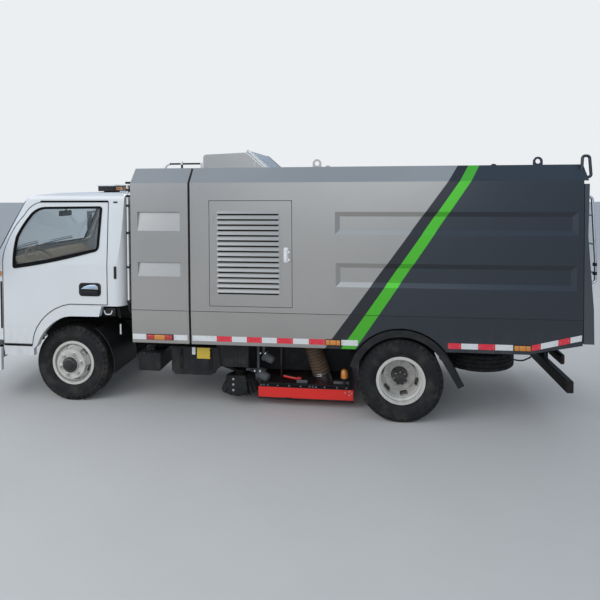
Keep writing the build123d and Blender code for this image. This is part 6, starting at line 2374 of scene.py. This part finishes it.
@dataclass
class RoofDress(SubAssembly):
    """What stands on the body: outlet slats and struts, grab rail and pipe runs on the water cabinet."""

    outlet_half: float = 0.58
    slope: tuple[tuple[float, float], tuple[float, float]] = ((1.5, 2.552), (1.322, 2.392))
    slats: int = 9
    rail: tuple[float, float, float] = (2.185, 2.56, 2.456)
    clip_x: float = 2.415
    top_z: float = 2.376
    hatch_place: tuple[float, float] = (2.3, -0.42)
    lid: Profile = ((0.0, 0.0), (0.215, 0.0), (0.22, 0.008), (0.21, 0.016), (0.1, 0.022), (0.0, 0.023))
    tube: tuple[float, float] = (2.652, 0.905)
    tube_clamps: tuple[float, ...] = (1.06, 1.4, 1.74, 2.01, 2.105, 2.165, 2.235)

    def outlet(self) -> tuple[Form, Form]:
        """Slats across the outlet's mouth, and the pale struts that stiffen it.

        Returns:
            The slats, and the struts.
        """
        slats, struts = Form(), Form()
        (top_x, top_z), (low_x, low_z) = self.slope
        for row in range(self.slats):
            part = (row + 0.6) / (self.slats + 0.3)
            x, z = top_x + (low_x - top_x) * part, top_z + (low_z - top_z) * part - 0.012
            slat = self.block((x - 0.002, x + 0.03), (-0.556, 0.556), (z - 0.0015, z + 0.0015))
            slats.join(slat.turn(-70, (0, 1, 0), self.at(x, 0, z)))
        for y in (-0.29, 0.0, 0.29):
            slats.join(self.block((1.395, 1.47), (y - 0.004, y + 0.004), (2.392, 2.47)))
        for _, out in SIDES:
            y = (self.outlet_half + 0.004) * out
            start, end = self.at(top_x + 0.004, y, top_z + 0.001), self.at(low_x - 0.01, y, low_z - 0.012)
            struts.join(Form.bar(start, end, 0.0085, 10))
            struts.join(Form.bar(start + Vector((0.02, 0, -0.016)), end + Vector((0.026, 0, 0)), 0.0065, 8))
            struts.join(self.bar((1.432, y, 2.47), (1.432, y, 2.377), 0.004, 8))
        return slats, struts

    def cabinet_rail(self) -> tuple[Form, Form]:
        """The dark pipe along the middle of the cabinet's roof, with its pale elbow, foot and clip.

        Returns:
            The dark pipe, and the pale ends.
        """
        rear, front, z = self.rail
        clip, roof = self.clip_x, self.top_z - 0.002
        pipe = self.bar((rear, 0, z), (front, 0, z), 0.01, 16)
        pale = self.pipe(((front - 0.004, 0, z), (front + 0.05, 0, z), (front + 0.066, 0, roof - 0.002)),
                         0.016, 0.04)
        pale.join(self.bar((rear, 0, roof), (rear, 0, z + 0.01), 0.014, 16))
        block = self.block((clip - 0.013, clip + 0.013), (-0.013, 0.013), (z - 0.01, z + 0.03))
        pipe.join(self.bar((clip, 0, roof), (clip, 0, z), 0.012, 14))
        return pipe, pale.join(block.soften(0.004, 2))

    def hatch(self) -> Form:
        """The low filler hatch on the water cabinet's roof with its clamp bar.

        Returns:
            The lid and its bar.
        """
        (x, y), z = self.hatch_place, self.top_z - 0.001
        bar = self.block((x - 0.016, x + 0.016), (y - 0.235, y + 0.235), (z + 0.021, z + 0.03))
        return Form.lathe(self.lid, self.at(x, y, z), (0, 0, 1), 40, False).join(bar.soften(0.003, 1))

    def sight_tube(self) -> tuple[Form, Form]:
        """The level tube on the cabinet's front face, and the dark hose beside it with their clamps.

        Returns:
            The pale tube, and the dark parts.
        """
        x, y = self.tube
        pale = self.bar((x, y, 1.045), (x, y, 2.215), 0.0095, 14)
        dark = self.bar((x - 0.034, y - 0.012, 1.03), (x - 0.034, y - 0.012, 2.225), 0.013, 14)
        for z in self.tube_clamps:
            clamp = self.block((x - 0.073, x + 0.016), (y - 0.03, y + 0.016), (z - 0.011, z + 0.011))
            dark.join(clamp.soften(0.003, 1))
        hose = ((x, y, 1.05), (x, y, 0.96), (2.615, y - 0.06, 0.905), (2.6, y - 0.26, 0.9))
        return pale, dark.join(self.pipe(hose, 0.012, 0.05))

    def build(self) -> None:
        """Builds the roof's pieces."""
        slats, struts = self.outlet()
        outlet = self.piece("outlet_slats", "hopper", "cabinet_paint", "white_gloss")
        outlet.add(slats).add(struts, 1).build()
        pale, dark = self.sight_tube()
        pipe, ends = self.cabinet_rail()
        fittings = self.piece("cabinet_roof_fittings", "chassis", "cabinet_paint", "black_plastic",
                              "white_gloss")
        fittings.add(self.hatch()).add(pipe, 1).add(ends, 2).add(pale, 2).add(dark, 1).build()


@dataclass
class RearDress(SubAssembly):
    """Seal, hinges, latches and ladder fittings of the rear door, and the fittings under it."""

    face: Profile = ((0.79, -1.669), (1.095, -1.663), (1.744, -1.612), (2.202, -1.622))
    seal_x: float = -1.5812
    seal_half: float = 0.985
    seal_z: tuple[float, float] = (0.802, 2.19)
    stile_y: tuple[float, float] = (0.59, 0.88)
    ladder_x: float = -1.722
    rod: tuple[Point, ...] = ((-1.01, 0.8, 0.69), (-1.02, 0.8, 0.57), (-1.13, 0.8, 0.56), (-1.2, 0.8, 0.6))

    def door_x(self, height: float) -> float:
        """Station of the rear door's outer face at a height.

        Args:
            height: Height above the ground.

        Returns:
            The station.
        """
        for (low, first), (high, second) in zip(self.face, self.face[1:]):
            if height <= high:
                return first + (second - first) * (height - low) / (high - low)
        return self.face[-1][1]

    def seal(self) -> Form:
        """The door's rubber seal between it and the hopper.

        Returns:
            The seal.
        """
        half, (low, high) = self.seal_half, self.seal_z
        corners = ((-half, low), (half, low), (half, high), (-half, high))
        return Form.frame([self.at(self.seal_x, y, z) for y, z in corners], 0.028, (0.0058, 0, 0))

    def hinges(self) -> Form:
        """Two lugs on the door's head with their pin caps.

        Returns:
            Lugs and pins.
        """
        form = Form()
        for y in (-0.62, 0.62):
            form.join(self.block((-1.672, -1.618), (y - 0.045, y + 0.045), (2.15, 2.203)).soften(0.006, 2))
            form.join(self.bar((-1.65, y - 0.058, 2.185), (-1.65, y + 0.058, 2.185), 0.012, 16))
        return form

    def latches(self) -> Form:
        """Two lever latches low on the door, and the stiffening ribs across it.

        Returns:
            Latches and ribs.
        """
        form = Form()
        x = self.door_x(0.9)
        for y in (-0.7, 0.7):
            plate = self.block((x - 0.008, x + 0.004), (y - 0.04, y + 0.04), (0.85, 0.96))
            lever = self.block((x - 0.03, x - 0.01), (y - 0.014, y + 0.014), (0.8, 0.93))
            form.join(plate.corners(0.01, Axis.X)).join(lever.soften(0.005, 2))
        for height in (1.02, 1.52):
            x = self.door_x(height)
            rib = self.block((x - 0.012, x + 0.006), (-0.93, 0.52), (height - 0.03, height + 0.03))
            form.join(rib.soften(0.008, 2))
        return form

    def clamps(self) -> Form:
        """Dark clamps on the ladder's stiles and its feet on the door.

        Returns:
            Clamps and feet.
        """
        form = Form()
        for y in self.stile_y:
            for z in (1.386, 1.466):
                form.join(Form.drum(self.at(self.ladder_x + 0.0055, y, z), (0, 0, 1), 0.0185, 0.028, 18))
            for stations, heights in (((-1.676, -1.646), (1.296, 1.334)), ((-1.64, -1.616), (2.064, 2.106))):
                form.join(self.block(stations, (y - 0.024, y + 0.024), heights).soften(0.003, 1))
        return form

    def build(self) -> None:
        """Builds the rear's pieces; the last has the blank number plate, its bracket and the bent rod."""
        door = self.piece("rear_door_fittings", "rear_door", "skirt_rubber", "slate_paint", "bright_steel",
                          "black_plastic")
        door.add(self.hinges(), 1).add(self.latches(), 1).add(self.clamps(), 3).build()
        self.piece("rear_door_seal", "hopper", "skirt_rubber").add(self.seal()).build()
        low = self.piece("rear_low_fittings", "chassis", "white_gloss", "black_plastic", "bright_steel")
        low.add(self.block((-1.543, -1.54), (-0.24, 0.24), (0.44, 0.555)).corners(0.01, Axis.X))
        low.add(self.block((-1.539, -1.533), (-0.15, 0.15), (0.415, 0.565)), 1)
        low.add(self.pipe(self.rod, 0.007, 0.02), 1).build()


@dataclass
class TankDress(SubAssembly):
    """Straps, caps, ribs and blank plates of the side tank, its plate and the battery box."""

    tank: tuple[float, float, float, float, float, float] = (1.733, 2.239, 0.48, 0.85, 0.328, 0.605)
    battery: tuple[float, float, float, float] = (2.351, 2.58, 0.356, 0.53)
    panel: tuple[float, float, float, float, float] = (1.46, 1.78, 0.42, 0.64, 0.84)

    def straps(self) -> Form:
        """Two steel straps round the tank with their tension bolts.

        Returns:
            Straps and bolts.
        """
        rear, front, inner, outer, low, high = self.tank
        form = Form()
        for station in (rear + 0.105, front - 0.105):
            section = (
                (inner + 0.01, low + 0.05), (inner + 0.05, low), (outer - 0.06, low), (outer, low + 0.06),
                (outer, high - 0.05), (outer - 0.05, high), (inner + 0.05, high),
                (inner + 0.01, high - 0.05),
            )
            outline = [self.at(station - 0.018, y, z) for y, z in section]
            form.join(Form.frame(outline, 0.003, (0.036, 0, 0), grow=0.004))
            bolt_y = outer + 0.008
            form.join(self.bar((station, bolt_y, high - 0.09), (station, bolt_y, high - 0.02), 0.005, 10))
            for z in (high - 0.088, high - 0.024):
                form.join(Form.drum(self.at(station, bolt_y, z - 0.004), (0, 0, 1), 0.009, 0.008, 6))
        return form

    def cap(self) -> Form:
        """The tank's filler neck with its grooved cap.

        Returns:
            Neck and cap.
        """
        spot = self.at(self.tank[1] - 0.05, self.tank[3] - 0.075, self.tank[5] - 0.02)
        neck = Form.drum(spot, (0, 0.45, 1), 0.03, 0.05, 24)
        head = Form.drum(spot + Vector((0, 0.02, 0.046)), (0, 0.45, 1), 0.039, 0.022, 16).soften(0.004, 2)
        return neck.join(head)

    def plates(self) -> tuple[Form, Form]:
        """The blank yellow plate and the small blank white one on the tank's outer side.

        Returns:
            The yellow plate, and the white one.
        """
        outer = self.tank[3]
        ys = (outer - 0.002, outer + 0.0055)
        yellow = self.block((1.842, 1.976), ys, (0.494, 0.602))
        white = self.block((1.992, 2.026), ys, (0.532, 0.604))
        return yellow.corners(0.006, Axis.Y), white.corners(0.004, Axis.Y)

    def panel_dress(self) -> Form:
        """The folded edge, seam strip and screws of the dark plate behind the tank.

        Returns:
            Edge, strip and screws.
        """
        rear, front, low, high, y = self.panel
        outline = self.side_outline(((rear, low), (front, low), (front, high), (rear, high)), y)
        form = Form.frame(outline, 0.01, (0, 0.004, 0))
        form.join(self.block((1.57, 1.58), (y, y + 0.0035), (low + 0.008, high - 0.008)))
        for station in (rear + 0.022, 1.545, 1.605, front - 0.022):
            for z in (low + 0.024, high - 0.024):
                form.join(Form.drum(self.at(station, y, z), (0, 1, 0), 0.007, 0.006, 8, 0.005))
        return form

    def battery_dress(self) -> tuple[Form, Form]:
        """Ribs, lid and strap of the battery box, and the valve with its unions above it.

        Returns:
            Dark parts, and bright ones.
        """
        rear, front, low, high = self.battery
        form, bright = Form(), Form()
        y = 0.845
        for row in range(5):
            z = low + 0.026 + row * 0.027
            rib = self.block((rear + 0.016, front - 0.016), (y, y + 0.006), (z, z + 0.011))
            form.join(rib.soften(0.003, 1))
        lid = self.block((rear - 0.004, front + 0.004), (0.58, y + 0.006), (high - 0.03, high + 0.004))
        form.join(lid.soften(0.004, 2))
        for station in (rear + 0.055, front - 0.055):
            stations = (station - 0.008, station + 0.008)
            bright.join(self.block(stations, (y, y + 0.009), (high - 0.06, high + 0.002)))
        valve = self.block((2.44, 2.53), (0.7, 0.78), (high + 0.004, high + 0.056)).soften(0.006, 2)
        for x in (2.46, 2.485, 2.51):
            bright.join(Form.drum(self.at(x, 0.78, high + 0.03), (0, 1, 0), 0.009, 0.018, 6))
            hose = ((x, 0.796, 0.03), (x, 0.815, 0.032), (x - 0.04, 0.812, 0.085), (x - 0.08, 0.62, 0.09))
            form.join(self.pipe([(station, side, high + lift) for station, side, lift in hose], 0.007))
        return form.join(valve), bright

    def build(self) -> None:
        """Builds the pieces."""
        piece = self.piece("tank_fittings", "chassis", "chassis_paint", "bright_steel", "black_plastic",
                           "yellow_plate", "white_gloss")
        yellow, white = self.plates()
        ribs, bright = self.battery_dress()
        piece.add(self.straps()).add(self.cap(), 2).add(yellow, 3).add(white, 4).add(self.panel_dress(), 2)
        piece.add(ribs, 2).add(bright, 1).build()


@dataclass
class AxleDress(SubAssembly):
    """U-bolts, dampers, brake chambers, brake hoses and cable runs of the running gear."""

    springs: tuple[tuple[float, float, float], ...] = ((0.0, 0.446, 0.441), (3.308, 0.34, 0.441))
    axle_z: float = 0.3875
    chamber: Profile = (
        (0.0, 0.0), (0.058, 0.002), (0.066, 0.03), (0.07, 0.046),
        (0.066, 0.062), (0.056, 0.104), (0.0, 0.112),
    )
    drives: tuple[tuple[float, ...], ...] = ((1.362, 0.452, 0.11, 0.046), (1.42, 0.268, 0.12, 0.052))
    drive_y: float = 0.56

    def u_bolts(self) -> Form:
        """Two U-bolts over each spring with a plate and nuts below the axle.

        Returns:
            Bolts, nuts and plates.
        """
        form = Form()
        for station, y, seat in self.springs:
            for _, out in SIDES:
                middle, low, top = y * out, self.axle_z - 0.07, seat + 0.062
                for x in (station - 0.052, station + 0.052):
                    legs = ((-0.04, low), (-0.04, top), (0.04, top), (0.04, low))
                    form.join(self.pipe([(x, middle + side, z) for side, z in legs], 0.008, 0.02))
                    for side in (-0.04, 0.04):
                        nut = self.at(x, middle + side, low + 0.004)
                        form.join(Form.drum(nut, (0, 0, 1), 0.014, 0.014, 6))
                stations, ys = (station - 0.072, station + 0.072), (middle - 0.054, middle + 0.054)
                form.join(self.block(stations, ys, (low + 0.018, low + 0.032)))
        return form

    def dampers(self) -> Form:
        """A telescopic damper beside each spring.

        Returns:
            The four dampers.
        """
        form = Form()
        for station, y, _ in self.springs:
            for _, out in SIDES:
                foot = self.at(station + 0.125, (y - 0.052) * out, self.axle_z - 0.01)
                head = self.at(station + 0.255, (y - 0.04) * out, 0.69)
                middle = foot.lerp(head, 0.55)
                form.join(Form.bar(foot, middle, 0.02, 16)).join(Form.bar(middle, head, 0.028, 16))
        return form

    def chambers(self) -> Form:
        """Brake chambers on the rear axle with their hoses.

        Returns:
            Chambers and hoses.
        """
        form = Form()
        for _, out in SIDES:
            spot = self.at(-0.185, 0.3 * out, 0.405)
            form.join(Form.lathe(self.chamber, spot, (-0.94, 0, 0.34), 28, False))
            form.join(Form.pipe([spot + Vector((-0.1, 0, 0.045)), spot + Vector((-0.16, 0, 0.12)),
                                 self.at(-0.3, 0.25 * out, 0.56)], 0.007, 0.04))
        return form

    def couplings(self) -> tuple[Form, Form]:
        """Cast couplings of the blower and brush drives behind the brush, with their bolts.

        Returns:
            The castings, and their bolts.
        """
        cast, bolts = Form(), Form()
        for _, out in SIDES:
            for station, z, length, radius in self.drives:
                spot = self.at(station, self.drive_y * out, z)
                flange = radius * 1.18
                profile = ((0.0, 0.0), (radius, 0.004), (flange, 0.01), (flange, 0.026), (radius, 0.03),
                           (radius * 0.86, length), (radius * 0.5, length + 0.012), (0.0, length + 0.014))
                cast.join(Form.lathe(profile, spot, (-0.75, 0.25 * out, -0.3), 28, False))
                for offset in (-0.026, 0.026):
                    bolt = spot + Vector((offset, 0.044 * out, 0.03))
                    bolts.join(Form.drum(bolt, (0, out, 0.4), 0.009, 0.008, 6))
                y = self.drive_y * out
                cast.join(self.bar((station, y, z + 0.02), (station, y, 0.64), 0.014))
        return cast, bolts

    def runs(self) -> Form:
        """Pipe and cable runs along the inside of the left frame rail.

        Returns:
            The three runs.
        """
        form = Form()
        for offset, radius in ((0.0, 0.006), (0.018, 0.004), (0.034, 0.005)):
            form.join(self.bar((-1.3, 0.362, 0.6 + offset), (1.1, 0.362, 0.6 + offset), radius, 8))
        return form

    def build(self) -> None:
        """Builds the pieces."""
        piece = self.piece("running_gear_fittings", "chassis", "cast_iron", "black_plastic", "grey_plastic",
                           "bright_steel", "white_gloss")
        cast, bolts = self.couplings()
        piece.add(self.u_bolts()).add(self.dampers()).add(self.chambers()).add(self.runs(), 1).add(cast, 2)
        piece.add(bolts, 3).add(self.bar((2.793, 0.8, 0.697), (2.793, 0.8, 0.8), 0.008), 4).build()


@dataclass
class NozzleDress(SubAssembly):
    """Flange, bolts, hose clamps, linkage and the marker dome of the suction nozzle."""

    top_z: float = 0.2
    edge: Profile = ((0.44, 0.75), (1.042, 0.75), (1.384, 0.74))
    bolt_rows: tuple[float, ...] = (0.505, 0.6, 0.722, 0.806, 0.838, 0.87, 0.96, 1.075, 1.19, 1.29, 1.33,
                                    1.36)
    side_bolts: Profile = ((0.478, 0.15), (0.478, 0.185), (0.52, 0.172), (0.455, 0.168))
    skirt_z: tuple[float, float] = (0.096, 0.1985)
    marker_place: tuple[float, float] = (0.528, 0.7)
    dome: Profile = ((0.0, 0.0), (0.036, 0.0), (0.036, 0.046), (0.031, 0.068), (0.019, 0.082), (0.0, 0.087))
    hose_foot: tuple[float, float, float] = (0.76, 0.55, 0.278)

    def flange(self) -> tuple[Form, Form]:
        """The dark flange along the hood's upper edge and its bright bolts.

        Returns:
            The flange, and its bolts.
        """
        form, bolts = Form(), Form()
        for _, out in SIDES:
            edge = [(station, y + 0.004) for station, y in self.edge]
            edge += [(station, y - 0.046) for station, y in reversed(self.edge)]
            outline = [self.at(station, y * out, self.top_z) for station, y in edge]
            form.join(Form.plate(outline if out > 0 else outline[::-1], (0, 0, 0.007)))
            fold = 0.708 * out
            form.join(self.block((0.47, 1.372), (fold - 0.002, fold + 0.002),
                                 (self.top_z + 0.007, self.top_z + 0.026)))
            for station in self.bolt_rows:
                spot = self.at(station, 0.728 * out, self.top_z + 0.006)
                bolts.join(Form.drum(spot, (0, 0, 1), 0.0085, 0.009, 6))
                bolts.join(Form.drum(spot, (0, 0, 1), 0.012, 0.0025, 14))
            for station, z in self.side_bolts:
                bolts.join(Form.drum(self.at(station, 0.75 * out, z), (0, out, 0), 0.0075, 0.006, 6))
        return form, bolts

    def side_plate(self) -> Form:
        """The red side plates that carry the flange, with the vertical fold of each.

        Returns:
            The plates and folds.
        """
        form = Form()
        for _, out in SIDES:
            for rear, front, y, half in ((0.442, 1.034, 0.7515, 0.0015), (1.042, 1.38, 0.7465, 0.0015),
                                         (1.032, 1.044, 0.7515, 0.003)):
                form.join(self.block((rear, front), (y * out - half, y * out + half), self.skirt_z))
        return form

    def clamps(self) -> Form:
        """Wire clamps round the hose's foot.

        Returns:
            The clamps.
        """
        station, y, z = self.hose_foot
        form = Form()
        for lift in (0.012, 0.03):
            spot = self.at(station + lift * 0.32, y, z + lift)
            profile = [(0.0915 + 0.003 * math.cos(turn), 0.003 * math.sin(turn))
                       for turn in (0, 1.26, 2.51, 3.77, 5.03)]
            form.join(Form.lathe(profile, spot, (0.31, 0, 0.95), 32))
            screw = Form.block(spot + Vector((-0.012, 0.086, -0.008)), spot + Vector((0.012, 0.106, 0.008)))
            form.join(screw.soften(0.002, 1))
        return form

    def linkage(self) -> tuple[Form, Form, Form]:
        """The red draw arm, its bright bolt, and the pale brackets.

        Returns:
            The arm, the bolt and the brackets.
        """
        arm = self.pipe(((1.15, 0.6, 0.262), (1.06, 0.6, 0.244), (0.99, 0.6, 0.236)), 0.017)
        arm.join(Form.drum(self.at(0.99, 0.578, 0.236), (0, 1, 0), 0.026, 0.044, 24).soften(0.003, 1))
        bright = Form.drum(self.at(0.99, 0.622, 0.236), (0, 1, 0), 0.015, 0.012, 6)
        pale = self.block((0.9, 1.01), (0.64, 0.652), (0.207, 0.24)).soften(0.004, 1)
        pale.join(self.block((0.48, 0.64), (0.6, 0.64), (0.207, 0.232)).soften(0.006, 2))
        return arm, bright, pale

    def marker(self) -> tuple[Form, Form]:
        """The amber marker dome on its dark stem at the hood's rear corner.

        Returns:
            The stem, and the dome.
        """
        x, y = self.marker_place
        stem = Form.drum(self.at(x, y, 0.206), (0, 0, 1), 0.026, 0.02, 20)
        stem.join(self.bar((x, y, 0.22), (x, y, 0.296), 0.013, 16))
        stem.join(Form.drum(self.at(x, y, 0.288), (0, 0, 1), 0.04, 0.014, 24).soften(0.003, 1))
        return stem, Form.lathe(self.dome, self.at(x, y, 0.302), (0, 0, 1), 28, False)

    def build(self) -> None:
        """Builds the nozzle's pieces."""
        piece = self.piece("nozzle_fittings", "nozzle", "black_plastic", "bright_steel", "red_paint",
                           "grey_plastic", "amber_lens", "cast_iron")
        flange, bolts = self.flange()
        arm, bright, pale = self.linkage()
        stem, dome = self.marker()
        piece.add(flange).add(bolts, 1).add(self.side_plate(), 2).add(self.clamps(), 1).add(arm, 2)
        piece.add(bright, 1).add(pale, 3).add(stem).add(dome, 4).build()


@dataclass
class BrushDress(SubAssembly):
    """Dense bristles, clamp ring and splash shield of each side brush."""

    centre: tuple[float, float] = (1.6, 0.59)
    plate_z: float = 0.222
    tip_z: float = 0.098
    plate_radius: float = 0.15
    tip_radius: float = 0.205
    strands: int = 760
    ring_section: Profile = (
        (0.112, 0.01), (0.148, 0.01), (0.15, 0.0), (0.152, 0.012), (0.146, 0.02), (0.112, 0.02),
    )
    ring_bolts: int = 8
    shield_y: float = 0.806
    shield_edge: tuple[Point, ...] = (
        (1.5, 0.318), (1.484, 0.215), (1.5, 0.16, 1.486, 0.184), (1.66, 0.15, 1.585, 0.116),
        (1.686, 0.215, 1.68, 0.178), (1.694, 0.318),
    )

    def bristles(self, out: int, chance: random.Random) -> Form:
        """Thin three-sided strands that splay from the plate to the ground ring.

        Args:
            out: 1 on the left side, -1 on the right.
            chance: The brush's own random draws.

        Returns:
            The strands.
        """
        form = Form()
        station, y = self.centre
        count = self.strands
        for _ in range(count):
            angle = chance.uniform(0, math.tau)
            part = chance.uniform(0.0, 1.0)
            root = 0.075 + (self.plate_radius - 0.012 - 0.075) * part
            tip = 0.108 + (self.tip_radius - 0.006 - 0.108) * part + chance.uniform(-0.004, 0.004)
            swirl = angle + chance.uniform(-0.05, 0.05)
            start = self.at(station + root * math.cos(angle), y * out + root * math.sin(angle),
                            self.plate_z + 0.002)
            low = self.tip_z + chance.uniform(0.0, 0.012)
            end = self.at(station + tip * math.cos(swirl), y * out + tip * math.sin(swirl), low)
            form.join(Form.bar(start, end, 0.0022, 3))
        return form

    def ring(self, out: int) -> Form:
        """The clamp ring on the brush's plate with its bolts.

        Args:
            out: 1 on the left side, -1 on the right.

        Returns:
            The ring and its bolts.
        """
        station, y = self.centre
        spot = self.at(station, y * out, self.plate_z)
        form = Form.lathe(self.ring_section, spot, (0, 0, 1), 40)
        for step in range(self.ring_bolts):
            angle = math.tau * step / self.ring_bolts
            bolt = spot + Vector((0.131 * math.cos(angle), 0.131 * math.sin(angle), 0.019))
            form.join(Form.drum(bolt, (0, 0, 1), 0.008, 0.008, 6))
        return form

    def shield(self, out: int) -> tuple[Form, Form]:
        """The dark round-bottomed splash shield beside the brush, with its three bolts.

        Args:
            out: 1 on the left side, -1 on the right.

        Returns:
            The shield, and its bolts.
        """
        y = self.shield_y
        form = Form.plate(self.side_outline(traced(self.shield_edge), y), (0, 0.006, 0))
        form.join(self.block((1.5, 1.694), (y - 0.02, y + 0.008), (0.3, 0.32)).soften(0.004, 1))
        bolts = Form()
        for z in (0.286, 0.232, 0.176):
            bolts.join(Form.drum(self.at(1.622, y + 0.006, z), (0, 1, 0), 0.007, 0.006, 6))
            bolts.join(Form.drum(self.at(1.622, y + 0.006, z), (0, 1, 0), 0.011, 0.0025, 16))
        return form.sided(out), bolts.sided(out)

    def build(self) -> None:
        """Builds both brushes' pieces."""
        for index, (side, out) in enumerate(SIDES):
            chance = random.Random(40 + index)
            piece = self.piece(f"brush_bristles_{side}", f"brush_{side}", "bristle_plastic", "cast_iron")
            piece.add(self.bristles(out, chance)).add(self.ring(out), 1).build()
            shield, bolts = self.shield(out)
            piece = self.piece(f"brush_shield_{side}", f"brush_arm_{side}", "skirt_rubber", "bright_steel")
            piece.add(shield).add(bolts, 1).build()


GROUPS: tuple[type[SubAssembly], ...] = (
    Tyres, WheelFittings, SideMarking, BodySeams, CabTrim, CabFront, CabInterior, Lamps, RoofDress,
    RearDress, TankDress, AxleDress, NozzleDress, BrushDress,
)


def dress_nodes(frame: dict, palette: Palette) -> None:
    """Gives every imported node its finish.

    Args:
        palette: The finishes.
    """
    slots = {row["node"]: row["material_slot"] for row in frame["record"]["subparts"]}
    for name, node in frame["nodes"].items():
        finish = NODE_FINISH.get(name, SLOT_FINISH[slots[name]])
        if not node.material_slots:
            node.data.materials.append(palette[finish])
        for slot in node.material_slots:
            slot.material = palette[finish]
    LOG.info("%d nodes dressed", len(slots))


def main() -> None:
    """Builds the scene in order and reports each step."""
    logging.basicConfig(level=logging.INFO, format="%(name)s %(message)s")
    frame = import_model()
    layout = Layout.from_frame()
    Studio(layout).build()
    palette = Palette(layout)
    dress_nodes(frame, palette)
    for group in GROUPS:
        group(layout, palette, frame["nodes"]).build()


if __name__ == "__main__":
    main()
